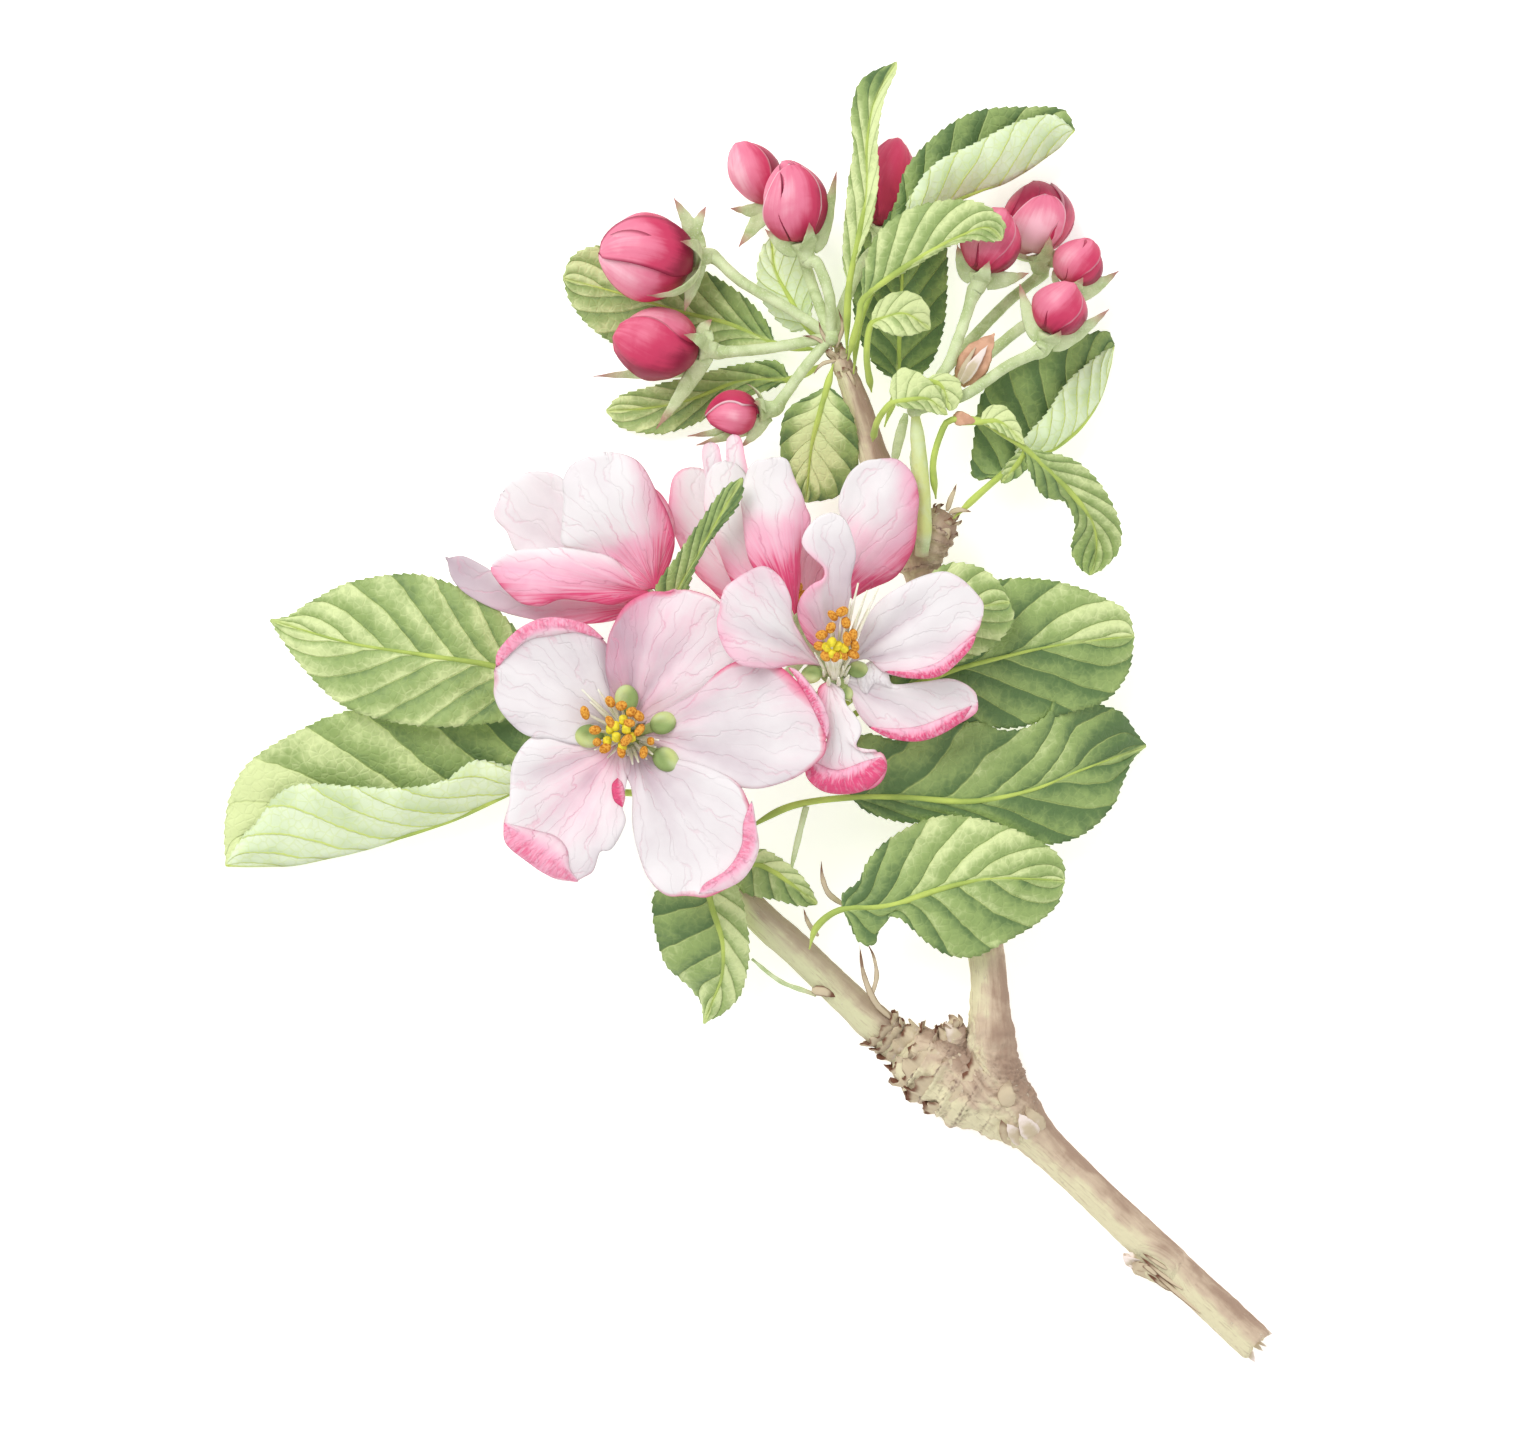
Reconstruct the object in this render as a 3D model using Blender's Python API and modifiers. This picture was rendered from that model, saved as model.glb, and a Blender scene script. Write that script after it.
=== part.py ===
"""Apple blossom branch: a cut, spurred shoot with open flowers, buds and leaves, lying on a table.

Units are metres, X to the right, Y along the branch, Z up from the table. The branch was drawn
out on a plan sheet with a grid of PLAN_GRID squares: u runs right and v runs towards the cut end.
Every point on it is (u, v, height in millimetres above the table), read by plan().
"""

import math
from dataclasses import dataclass

import bmesh
import bpy
from mathutils import Vector

MM = 0.001
PLAN_GRID = 0.15 * MM            # one square of the plan sheet
PLAN_CENTRE = (744.5, 713.5)     # plan square that lies over the part's origin

SEAT_GAP = 0.3 * MM              # clearance between a piece and the piece that carries it
LEAF_THICKNESS = 0.5 * MM
PETAL_THICKNESS = 0.4 * MM
PETIOLE_HALF_WIDTH = 0.55 * MM
CLAW_HALF_WIDTH = 0.8 * MM       # narrow foot of a petal
TIP_HALF_WIDTH = 0.25 * MM
CLAW_RING_RADIUS = 2.0 * MM      # circle on which a flower's five petals are set
CLAW_RISE = 0.5 * MM             # height of a claw's middle above its calyx
CALYX_DEPTH = 4.2 * MM
CALYX_FOOT_RADIUS = 0.9 * MM
CALYX_RIM_RADIUS = 2.3 * MM
PEDICEL_RADIUS = 0.75 * MM
PEDUNCLE_RADIUS = 0.95 * MM
FLOWER_KNOB_RADIUS = 1.8 * MM
LEFT_KNOB_RADIUS = 1.4 * MM
RIGHT_KNOB_RADIUS = 1.2 * MM
STAMEN_FOOT_RADIUS = 1.0 * MM

BUD_TAPER = 0.22                 # share of its width that a bud loses towards its tip
PETAL_LAP = 8.0                  # degrees that lift one edge of an open petal over the next
CUP_GROWTH = 3.0                 # how fast a petal's cup sets in along its middle line
BLADE_SPREAD = 0.12              # share of the midrib over which a leaf opens from its petiole
TANGENT_STEP = 0.02              # share of a line to each side over which its run is measured
POINTED = 0.75                   # power of the outline's sine: smaller is a fuller, rounder blade
ROUND = 0.5
PETAL_FULLNESS = 0.6
LEAF_SKEW = 0.85                 # below 1 moves the widest place towards the foot, above 1 away
PETAL_SKEW = 1.45

BARK = ((0.36, 0.26, 0.20, 1.0), 0.85)
LEAF_GREEN = ((0.21, 0.34, 0.10, 1.0), 0.55)
STALK_GREEN = ((0.42, 0.52, 0.25, 1.0), 0.6)
PETAL_WHITE = ((0.84, 0.66, 0.74, 1.0), 0.5)
BUD_CRIMSON = ((0.58, 0.04, 0.11, 1.0), 0.5)
STAMEN_YELLOW = ((0.80, 0.56, 0.12, 1.0), 0.6)


def plan(u, v, height_mm):
    """A plan sheet point and its height, as a world position."""
    return Vector((
        (u - PLAN_CENTRE[0]) * PLAN_GRID,
        (PLAN_CENTRE[1] - v) * PLAN_GRID,
        height_mm * MM,
    ))


# ---------------------------------------------------------------- the branch as it grew


@dataclass
class Leaf:
    """A leaf: its midrib on the plan from petiole foot to tip, and how its two halves lie."""
    name: str
    midrib: tuple
    left_mm: float               # widest half-blade on the left of the midrib, seen from above
    right_mm: float
    petiole: float               # share of the midrib that is bare petiole
    fold_left: float = 8.0       # degrees that each half rises from the midrib
    fold_right: float = 8.0
    cup_left: float = 0.0        # degrees that each half bends further by its margin
    cup_right: float = 0.0
    roll: tuple = (0.0, 0.0)     # degrees of twist about the midrib, at foot and tip
    fullness: float = POINTED


@dataclass
class Petal:
    """A petal: its middle line on the plan beyond the claw, and its half-widths."""
    azimuth: float               # degrees round the flower's axis at which its claw is set
    midline: tuple
    left_mm: float
    right_mm: float
    cup: float = 26.0
    claw: float = 0.0            # share of the middle line that stays as narrow as the claw
    lap: float = PETAL_LAP       # degrees of roll about its middle line


@dataclass
class Flower:
    """An open flower: where its petals meet, the way it faces, and its pedicel's route."""
    name: str
    centre: tuple
    axis: tuple
    zero: tuple                  # direction from which petal azimuths are counted
    petals: tuple
    pedicel: tuple
    stamen_top_mm: float
    stamen_height_mm: float
    sepal_reach_mm: float = 5.8
    sepal_lift_mm: float = -0.8
    openness: float = 1.0        # 1 where petals spread flat, 0 where they stand along the axis


@dataclass
class Bud:
    """A closed flower bud on its pedicel."""
    name: str
    foot: tuple                  # where the bud sits in its calyx
    axis: tuple
    length_mm: float
    width_mm: float
    pedicel: tuple
    sepal_reach_mm: float = 4.0
    sepal_lift_mm: float = -1.0


# Wood: (u, v, height, radius in mm) along each limb.
STEM_AND_UPPER_BRANCH = (
    (1262, 1349, 2.95, 2.85), (1150, 1245, 3.6, 2.85), (1052, 1152, 5.0, 2.95),
    (1015, 1115, 6.2, 4.4), (990, 1082, 6.7, 5.4), (989, 1045, 7.2, 4.2),
    (989, 1000, 7.5, 2.9), (985, 950, 7.6, 2.75), (968, 850, 7.8, 2.7),
    (945, 720, 8.0, 2.7), (928, 600, 8.8, 2.8), (914, 545, 9.4, 3.0),
    (892, 500, 10.3, 2.6), (874, 460, 11.3, 2.3), (855, 400, 12.8, 1.9), (837, 352, 14.2, 1.3),
)
KNUCKLE = (
    (1036, 1124, 6.0, 4.2), (1004, 1110, 6.4, 6.0), (965, 1084, 6.5, 6.2),
    (928, 1062, 6.6, 5.5), (900, 1046, 7.0, 4.0),
)
FLOWERING_SHOOT = (
    (905, 1050, 7.0, 3.0), (850, 1000, 8.6, 2.6), (800, 952, 10.0, 2.5), (743, 897, 11.4, 2.4),
    (722, 840, 12.4, 2.2), (718, 790, 13.1, 2.0), (718, 756, 13.8, 1.7),
)
RIGHT_SPUR = ((921, 560, 9.3, 2.9), (936, 530, 10.6, 2.9), (946, 512, 11.2, 2.1))
DEAD_STUB = ((958, 1050, 8.5, 1.8), (951, 1022, 10.0, 1.3))
STEM_BUD = (
    (1168, 1276, 3.4, 1.9), (1142, 1262, 3.2, 1.8), (1124, 1249, 3.0, 0.7),
)

LEAVES = (
    Leaf("leaf_west_upper", (
        (701, 764, 13.6), (620, 730, 13.2), (540, 690, 12.6), (433, 660, 12.0), (354, 643, 9.0),
        (271, 621, 5.0)), 10.0, 12.8, 0.38, cup_left=-8, cup_right=-12),
    Leaf("leaf_west_lower", (
        (701, 788, 13.0), (620, 792, 10.0), (545, 772, 8.0), (461, 815, 6.4), (390, 843, 4.8),
        (300, 862, 2.2), (223, 866, 0.35)), 12.5, 17.0, 0.32, 100.0, 6.0, 55.0, 0.0),
    Leaf("leaf_east_round", (
        (737, 772, 13.2), (800, 752, 12.8), (870, 705, 13.6), (940, 677, 14.0), (1038, 649, 11.4),
        (1131, 633, 6.4)), 10.0, 11.2, 0.38, 5.0, -2.0, -10, -14, fullness=ROUND),
    Leaf("leaf_east_pale", (
        (735, 757, 14.3), (800, 733, 13.9), (850, 700, 14.8), (900, 652, 16.2), (950, 616, 17.0),
        (1006, 606, 16.4)), 6.6, 6.6, 0.54, fullness=ROUND),
    Leaf("leaf_east_dark", (
        (741, 832, 13.0), (790, 806, 15.0), (850, 797, 14.4), (972, 801, 12.8), (1060, 776, 9.0),
        (1144, 746, 0.4)), 12.2, 9.5, 0.40, 20.0, -4.0, fullness=ROUND),
    Leaf("leaf_east_front", (
        (809, 948, 12.9), (817, 925, 15.2), (842, 908, 16.0), (922, 895, 16.0), (998, 877, 14.8),
        (1062, 878, 11.5)), 10.6, 10.2, 0.40, 4.0, 2.0, -8, -8, fullness=ROUND),
    Leaf("leaf_hanging", (
        (722, 864, 14.5), (705, 880, 16.4), (702, 930, 15.0), (706, 975, 10.4), (704, 1023, 4.0)),
        7.0, 7.4, 0.20, 10.0, 2.0),
    Leaf("leaf_small_south", (
        (738, 858, 14.4), (752, 864, 15.2), (785, 880, 14.8), (816, 904, 12.6)), 4.2, 3.8, 0.15),
    Leaf("leaf_between_flowers", (
        (717, 766, 16.6), (706, 728, 18.4), (686, 660, 19.6), (674, 597, 21.8), (704, 542, 24.6),
        (742, 482, 26.2)), 2.6, 2.6, 0.45, 30.0, 30.0),
    Leaf("leaf_round_centre", (
        (833, 366, 16.1), (829, 384, 16.6), (822, 405, 15.4), (814, 450, 12.0), (808, 498, 7.6)),
        6.2, 5.4, 0.25, fullness=ROUND),
    Leaf("leaf_under_large_bud", (
        (822, 352, 12.2), (772, 336, 7.2), (700, 316, 3.4), (630, 302, 1.7), (563, 286, 0.6)),
        7.0, 7.2, 0.25, 3.0, 3.0, fullness=ROUND),
    Leaf("leaf_under_second_bud", (
        (826, 364, 11.7), (785, 384, 5.8), (735, 389, 3.2), (670, 406, 2.0), (609, 412, 0.4)),
        3.8, 4.2, 0.25),
    Leaf("leaf_pale_north", (
        (834, 349, 12.0), (810, 318, 9.2), (787, 284, 7.0), (768, 240, 3.6)), 4.0, 3.8, 0.33),
    Leaf("leaf_twisted_north", (
        (846, 356, 16.2), (850, 318, 18.6), (853, 270, 19.4), (860, 210, 18.4), (862, 160, 16.6),
        (866, 112, 14.0), (894, 64, 9.0)), 2.6, 2.6, 0.34, 20, 20, 0, 0, (0, 60)),
    Leaf("leaf_folded_north", (
        (853, 376, 15.5), (860, 322, 16.9), (886, 262, 16.4), (935, 208, 14.6), (1003, 184, 10.6),
        (1073, 138, 4.6)), 11.5, 11.0, 0.46, 2.0, 105.0, 0.0, 55.0),
    Leaf("leaf_arched_north", (
        (847, 363, 16.8), (858, 322, 20.6), (884, 284, 22.8), (922, 258, 24.4), (962, 238, 24.6),
        (999, 232, 22.8)), 6.0, 2.0, 0.36, 10.0, 10.0, 30.0),
    Leaf("leaf_dark_north", (
        (884, 428, 11.0), (893, 388, 7.4), (900, 340, 5.2), (903, 275, 2.6), (906, 205, 0.35)),
        7.0, 7.0, 0.25, fullness=ROUND),
    Leaf("leaf_curled_small", (
        (871, 394, 14.0), (869, 352, 18.4), (881, 326, 20.2), (906, 312, 20.4), (929, 324, 18.2)),
        2.8, 2.6, 0.46, 15, 15),
    Leaf("leaf_bent_pair", (
        (872, 443, 14.9), (878, 420, 18.6), (897, 403, 20.4), (928, 396, 20.4), (958, 404, 18.6)),
        3.6, 2.2, 0.46, 5, 5),
    Leaf("leaf_folded_east", (
        (962, 516, 11.9), (985, 488, 11.6), (1024, 459, 9.4), (1060, 442, 7.0), (1095, 398, 4.2),
        (1113, 342, 1.2)), 14.0, 8.0, 0.27, 3.0, 105.0, 0.0, 70.0),
    Leaf("leaf_curly_east", (
        (947, 517, 13.8), (944, 456, 17.0), (960, 421, 17.4), (990, 424, 17.4), (1026, 450, 17.0),
        (1072, 480, 12.0), (1106, 524, 5.8), (1088, 573, 0.6)), 3.8, 3.8, 0.56, 10, 10),
)

FLOWERS = (
    Flower("front_flower", (630, 736, 24.0), (0.04, 0.0, 1.0), (1, 0, 0), (
        Petal(6, ((738, 724, 28.2), (821, 736, 28.6)), 9.8, 9.6),
        Petal(78, ((666, 660, 27.0), (675, 596, 27.8)), 9.2, 9.0),
        Petal(150, ((568, 688, 27.4), (503, 652, 27.6)), 9.2, 9.0),
        Petal(222, ((577, 802, 27.4), (540, 872, 26.6)), 9.4, 10.0),
        Petal(294, ((690, 822, 27.2), (697, 890, 27.6)), 8.8, 8.8),
    ), ((718, 741, 14.1), (680, 740, 15.2), (645, 737, 16.6), (631, 736, 20.0)), 4.0, 6.5, 6.6),
    Flower("right_flower", (833, 670, 24.4), (0.0, 0.28, 0.96), (1, 0, 0), (
        Petal(20, ((915, 632, 26.4), (978, 614, 25.0)), 7.2, 7.6),
        Petal(92, ((833, 590, 29.0), (830, 516, 31.0)), 4.2, 4.2),
        Petal(164, ((772, 626, 31.5), (727, 590, 33.0)), 7.4, 6.8),
        Petal(240, ((838, 736, 25.4), (846, 790, 23.6)), 6.8, 6.4, claw=0.4),
        Petal(308, ((905, 708, 22.8), (975, 702, 21.0)), 4.4, 4.6),
    ), ((718, 741, 14.1), (765, 722, 15.8), (812, 702, 17.4), (832, 682, 20.0)), 3.4, 7.5, 4.4,
        -1.8),
    Flower("west_flower", (657, 602, 17.0), (-0.7, 0.7, 0.0), (0, 0, 1), (
        Petal(12, ((624, 535, 23.0), (608, 460, 22.4)), 8.4, 8.4, lap=6.0),
        Petal(-60, ((580, 577, 21.0), (496, 568, 18.6)), 4.4, 4.4, lap=34.0),
        Petal(-132, ((560, 612, 13.6), (505, 596, 13.2), (446, 560, 12.6)), 2.8, 2.8, lap=-30.0),
        Petal(-204, ((572, 542, 9.6), (505, 496, 8.4)), 5.6, 5.6, lap=0.0),
        Petal(84, ((662, 545, 15.0), (640, 488, 14.4)), 5.0, 5.0, lap=-30.0),
    ), ((718, 741, 14.1), (712, 700, 15.4), (696, 650, 16.6), (675, 620, 17.0)), 2.2, 6.5, 3.8,
        openness=0.0),
    Flower("upper_flower", (797, 630, 17.0), (-0.1, 0.95, 0.2), (0, 0, 1), (
        Petal(10, ((782, 560, 23.4), (771, 461, 24.0)), 5.4, 5.4, lap=0.0),
        Petal(82, ((848, 588, 18.6), (876, 530, 20.0), (886, 463, 19.6)), 6.6, 6.6, lap=-52.0),
        Petal(154, ((806, 572, 11.2), (804, 524, 11.6)), 3.6, 3.6, lap=0.0),
        Petal(226, ((722, 572, 12.6), (690, 469, 11.6)), 3.9, 3.9, lap=-44.0),
        Petal(-62, ((744, 562, 19.3), (727, 461, 18.6)), 4.8, 4.8, lap=42.0),
    ), ((718, 741, 14.1), (745, 706, 15.0), (785, 676, 15.8), (800, 658, 16.4)), 2.2, 6.5, 3.8,
        openness=0.0),
)

LEFT_KNOB = (831, 339, 15.2)
RIGHT_KNOB = (914, 412, 16.2)
BUDS_LEFT = (
    Bud("bud_large", (694, 258, 10.6), (-1.0, 0.0, 0.25), 14.2, 14.2,
        (LEFT_KNOB, (790, 312, 14.2), (742, 284, 12.8), (712, 262, 10.4))),
    Bud("bud_second", (701, 350, 10.6), (-1.0, 0.12, 0.12), 12.8, 11.2,
        (LEFT_KNOB, (770, 350, 13.6), (722, 354, 11.2))),
    Bud("bud_small_south", (759, 412, 13.2), (-0.9, -0.1, 0.3), 8.0, 7.0,
        (LEFT_KNOB, (806, 368, 14.6), (784, 398, 13.4), (769, 409, 12.6)), 3.4),
    Bud("bud_north_back", (777, 204, 7.0), (-0.55, 0.8, 0.1), 10.4, 7.6,
        (LEFT_KNOB, (815, 296, 12.2), (800, 250, 8.8), (786, 218, 7.2)), 3.4),
    Bud("bud_north_front", (803, 246, 15.2), (-0.22, 0.95, 0.12), 12.4, 10.2,
        (LEFT_KNOB, (829, 300, 17.2), (818, 268, 16.4), (808, 256, 15.0)), 3.8),
    Bud("bud_north_east", (882, 230, 7.2), (0.16, 0.98, 0.03), 13.2, 8.6,
        (LEFT_KNOB, (846, 300, 13.0), (864, 262, 9.4), (878, 244, 7.6)), 3.2),
)
BUDS_RIGHT = (
    Bud("bud_east_first", (980, 277, 15.8), (0.3, 0.95, 0.05), 10.8, 9.4,
        (RIGHT_KNOB, (942, 376, 17.4), (959, 336, 16.6), (972, 290, 15.6)), 3.8),
    Bud("bud_east_top", (1042, 256, 6.0), (0.0, 0.98, 0.04), 11.2, 11.6,
        (RIGHT_KNOB, (952, 362, 12.0), (1004, 306, 7.6), (1040, 270, 5.4)), 3.4),
    Bud("bud_east_middle", (1069, 288, 10.2), (0.35, 0.9, 0.0), 8.0, 7.8,
        (RIGHT_KNOB, (968, 372, 13.4), (1022, 328, 10.6), (1059, 304, 9.8)), 3.0),
    Bud("bud_east_front", (1047, 337, 16.6), (0.4, 0.88, 0.16), 8.8, 8.8,
        (RIGHT_KNOB, (962, 398, 17.4), (1005, 369, 17.4), (1038, 346, 16.4)), 3.6),
)
PEDUNCLE = ((925, 536, 15.2), (919, 480, 16.2), RIGHT_KNOB)
FLOWER_KNOB = (718, 741, 14.1)


# ---------------------------------------------------------------- small tools


def new_collection(name, parent=None):
    collection = bpy.data.collections.new(name)
    (parent or bpy.context.scene.collection).children.link(collection)
    return collection


def finish(obj, colour_and_roughness):
    """Gives an object its own Principled material and smooth shading."""
    colour, roughness = colour_and_roughness
    material = bpy.data.materials.new(obj.name)
    material.use_nodes = True
    shader = material.node_tree.nodes["Principled BSDF"]
    shader.inputs["Base Color"].default_value = colour
    shader.inputs["Roughness"].default_value = roughness
    shader.inputs["Metallic"].default_value = 0.0
    obj.data.materials.append(material)
    obj.data.shade_smooth()
    obj.data.set_sharp_from_angle(angle=math.radians(50))


def mesh_object(name, mesh_builder, collection):
    mesh = bpy.data.meshes.new(name)
    mesh_builder.to_mesh(mesh)
    mesh_builder.free()
    obj = bpy.data.objects.new(name, mesh)
    collection.objects.link(obj)
    return obj


def along(points, t):
    """The position at t (0 to 1) on a smooth Catmull-Rom line through the points."""
    spans = len(points) - 1
    place = min(max(t, 0.0), 1.0) * spans
    i = min(int(place), spans - 1)
    s = place - i
    p1, p2 = points[i], points[i + 1]
    p0 = points[i - 1] if i else p1 * 2 - p2
    p3 = points[i + 2] if i + 2 <= spans else p2 * 2 - p1
    return 0.5 * (
        2 * p1 + (p2 - p0) * s + (2 * p0 - 5 * p1 + 4 * p2 - p3) * s * s
        + (3 * p1 - p0 - 3 * p2 + p3) * s ** 3
    )


def tube(name, limb, collection, steps_per_span=2):
    """A closed tapering tube through (position, radius) pairs, as a mesh object."""
    positions = [position for position, radius in limb]
    radii = [Vector((radius, 0, 0)) for position, radius in limb]
    count = (len(limb) - 1) * steps_per_span + 1
    curve = bpy.data.curves.new(name, "CURVE")
    curve.dimensions = "3D"
    curve.bevel_depth = 1.0
    curve.bevel_resolution = 2
    curve.use_fill_caps = True
    spline = curve.splines.new("POLY")
    spline.points.add(count - 1)
    for i, point in enumerate(spline.points):
        t = i / (count - 1)
        point.co = (*along(positions, t), 1.0)
        point.radius = along(radii, t).x
    guide = bpy.data.objects.new(name + "_line", curve)
    collection.objects.link(guide)
    depsgraph = bpy.context.evaluated_depsgraph_get()
    mesh = bpy.data.meshes.new_from_object(guide.evaluated_get(depsgraph))
    builder = bmesh.new()
    builder.from_mesh(mesh)
    bmesh.ops.remove_doubles(builder, verts=builder.verts, dist=1e-6)
    bmesh.ops.recalc_face_normals(builder, faces=builder.faces)
    builder.to_mesh(mesh)
    builder.free()
    obj = bpy.data.objects.new(name, mesh)
    obj.matrix_world = guide.matrix_world
    collection.objects.link(obj)
    bpy.data.objects.remove(guide)
    return obj


def union(base, others):
    """Joins a collection of closed meshes to the base object with one exact Boolean."""
    modifier = base.modifiers.new("joined", "BOOLEAN")
    modifier.operation = "UNION"
    modifier.operand_type = "COLLECTION"
    modifier.collection = others
    modifier.solver = "EXACT"
    for obj in others.objects:
        obj.hide_render = True
        obj.display_type = "WIRE"


# ---------------------------------------------------------------- leaves and petals


def leaf_outline(s, fullness):
    """Share of the full half-width at s (0 at the blade's foot, 1 at its tip)."""
    return max(math.sin(math.pi * s ** LEAF_SKEW), 0.0) ** fullness


def petal_outline(s):
    return max(math.sin(math.pi * s ** PETAL_SKEW), 0.0) ** PETAL_FULLNESS


def blade(name, line, facing, half_width, bend, roll, thickness, cells, collection,
          crowd_tip=False):
    """A thin closed blade swept along a line.

    facing is the way its upper face looks, half_width(t, side) and bend(side, t) = (fold, cup)
    give the shape across it, where side is +1 on the left and -1 on the right, and cells is
    the grid's count across and along. crowd_tip sets the rows closer towards the tip, for a
    rounder end.
    """
    across, lengthwise = cells
    builder = bmesh.new()
    bmesh.ops.create_grid(builder, x_segments=across, y_segments=lengthwise, size=1.0)
    for vertex in builder.verts:
        side = 1 if vertex.co.x > 0 else -1
        share = abs(vertex.co.x)
        t = (vertex.co.y + 1) / 2
        if crowd_tip:
            t = math.sin(t * math.pi / 2)
        ahead, behind = min(t + TANGENT_STEP, 1), max(t - TANGENT_STEP, 0)
        tangent = (along(line, ahead) - along(line, behind)).normalized()
        normal = (facing - tangent * facing.dot(tangent)).normalized()
        left = normal.cross(tangent)
        twist = math.radians(roll[0] + (roll[1] - roll[0]) * t)
        left, normal = (
            left * math.cos(twist) + normal * math.sin(twist),
            normal * math.cos(twist) - left * math.sin(twist),
        )
        fold, cup = (math.radians(angle) for angle in bend(side, t))
        mean = fold + cup * share / 2
        reach = half_width(t, side) * share
        vertex.co = (
            along(line, t) + left * side * reach * math.cos(mean) + normal * reach * math.sin(mean)
        )
    obj = mesh_object(name, builder, collection)
    shell = obj.modifiers.new("thickness", "SOLIDIFY")
    shell.thickness = thickness
    shell.offset = 0.0
    return obj


def build_leaf(leaf, collection):
    """A leaf and its petiole: a narrow strip to the end of the petiole, then the blade."""
    def half_width(t, side):
        if t <= leaf.petiole:
            return PETIOLE_HALF_WIDTH
        s = (t - leaf.petiole) / (1 - leaf.petiole)
        widest = (leaf.left_mm if side > 0 else leaf.right_mm) * MM
        floor = PETIOLE_HALF_WIDTH + (TIP_HALF_WIDTH - PETIOLE_HALF_WIDTH) * s
        return max(widest * leaf_outline(s, leaf.fullness), floor)

    def bend(side, t):
        spread = min(max((t - leaf.petiole) / BLADE_SPREAD, 0.0), 1.0)
        if side > 0:
            return leaf.fold_left * spread, leaf.cup_left * spread
        return leaf.fold_right * spread, leaf.cup_right * spread

    line = [plan(*point) for point in leaf.midrib]
    obj = blade(leaf.name, line, Vector((0, 0, 1)), half_width, bend, leaf.roll,
                LEAF_THICKNESS, (4, 12), collection)
    finish(obj, LEAF_GREEN)


def flower_frame(flower):
    """The flower's centre, its unit axis and the two directions its azimuths turn through."""
    axis = Vector(flower.axis).normalized()
    zero = Vector(flower.zero)
    zero = (zero - axis * zero.dot(axis)).normalized()
    return plan(*flower.centre), axis, zero, axis.cross(zero)


def build_petal(flower, number, petal, collection):
    """A petal from its claw on the calyx, looking up the axis where the flower is open."""
    centre, axis, zero, quarter = flower_frame(flower)
    turn = math.radians(petal.azimuth)
    radial = zero * math.cos(turn) + quarter * math.sin(turn)
    claw = centre + radial * CLAW_RING_RADIUS + axis * CLAW_RISE
    line = [claw] + [plan(*point) for point in petal.midline]

    def half_width(t, side):
        widest = (petal.left_mm if side > 0 else petal.right_mm) * MM
        floor = CLAW_HALF_WIDTH + (TIP_HALF_WIDTH - CLAW_HALF_WIDTH) * t
        s = max(t - petal.claw, 0.0) / (1 - petal.claw)
        return max(widest * petal_outline(s), floor)

    inward = axis * flower.openness - radial * (1.0 - 0.5 * flower.openness)
    obj = blade(f"{flower.name}_petal_{number}", line, inward, half_width,
                lambda side, t: (0.0, petal.cup * min(t * CUP_GROWTH, 1.0)), (petal.lap, petal.lap),
                PETAL_THICKNESS, (4, 8), collection, crowd_tip=True)
    finish(obj, PETAL_WHITE)


# ---------------------------------------------------------------- stalks, buds and stamens


def calyx(name, seat, axis, sepal_reach, sepal_lift, collection):
    """A green cup whose rim runs out into five sepals; its top meets the seat."""
    builder = bmesh.new()
    bmesh.ops.create_cone(
        builder, cap_ends=True, cap_tris=True, segments=10,
        radius1=CALYX_FOOT_RADIUS, radius2=CALYX_RIM_RADIUS, depth=CALYX_DEPTH,
    )
    rim = [v for v in builder.verts if v.co.z > 0 and v.co.xy.length > CALYX_RIM_RADIUS / 2]
    rim.sort(key=lambda v: math.atan2(v.co.y, v.co.x))
    for vertex in rim[::2]:
        outward = vertex.co.xy.normalized()
        vertex.co.xy = outward * sepal_reach
        vertex.co.z += sepal_lift
    obj = mesh_object(name, builder, collection)
    obj.location = seat - axis * (CALYX_DEPTH / 2 + SEAT_GAP)
    obj.rotation_mode = "QUATERNION"
    obj.rotation_quaternion = axis.to_track_quat("Z", "Y")
    return obj


def knob(name, centre, radius, collection):
    builder = bmesh.new()
    bmesh.ops.create_uvsphere(builder, u_segments=10, v_segments=6, radius=radius)
    obj = mesh_object(name, builder, collection)
    obj.location = centre
    return obj


def stalk_set(name, knob_centre, knob_radius, carried, extra_limbs, collection, guides):
    """One green stalk: a knob, a pedicel to each flower or bud, and the calyx at its end."""
    operands = new_collection(name + "_joined", guides)
    for seat, axis, item in carried:
        route = [plan(*point) for point in item.pedicel]
        limb = [(point, PEDICEL_RADIUS) for point in route]
        tube(item.name + "_pedicel", limb, operands, 3)
        calyx(item.name + "_calyx", seat, axis, item.sepal_reach_mm * MM,
              item.sepal_lift_mm * MM, operands)
    for number, limb in enumerate(extra_limbs):
        tube(f"{name}_limb_{number}", limb, operands, 3)
    base = knob(name, knob_centre, knob_radius, collection)
    union(base, operands)
    finish(base, STALK_GREEN)


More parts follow.
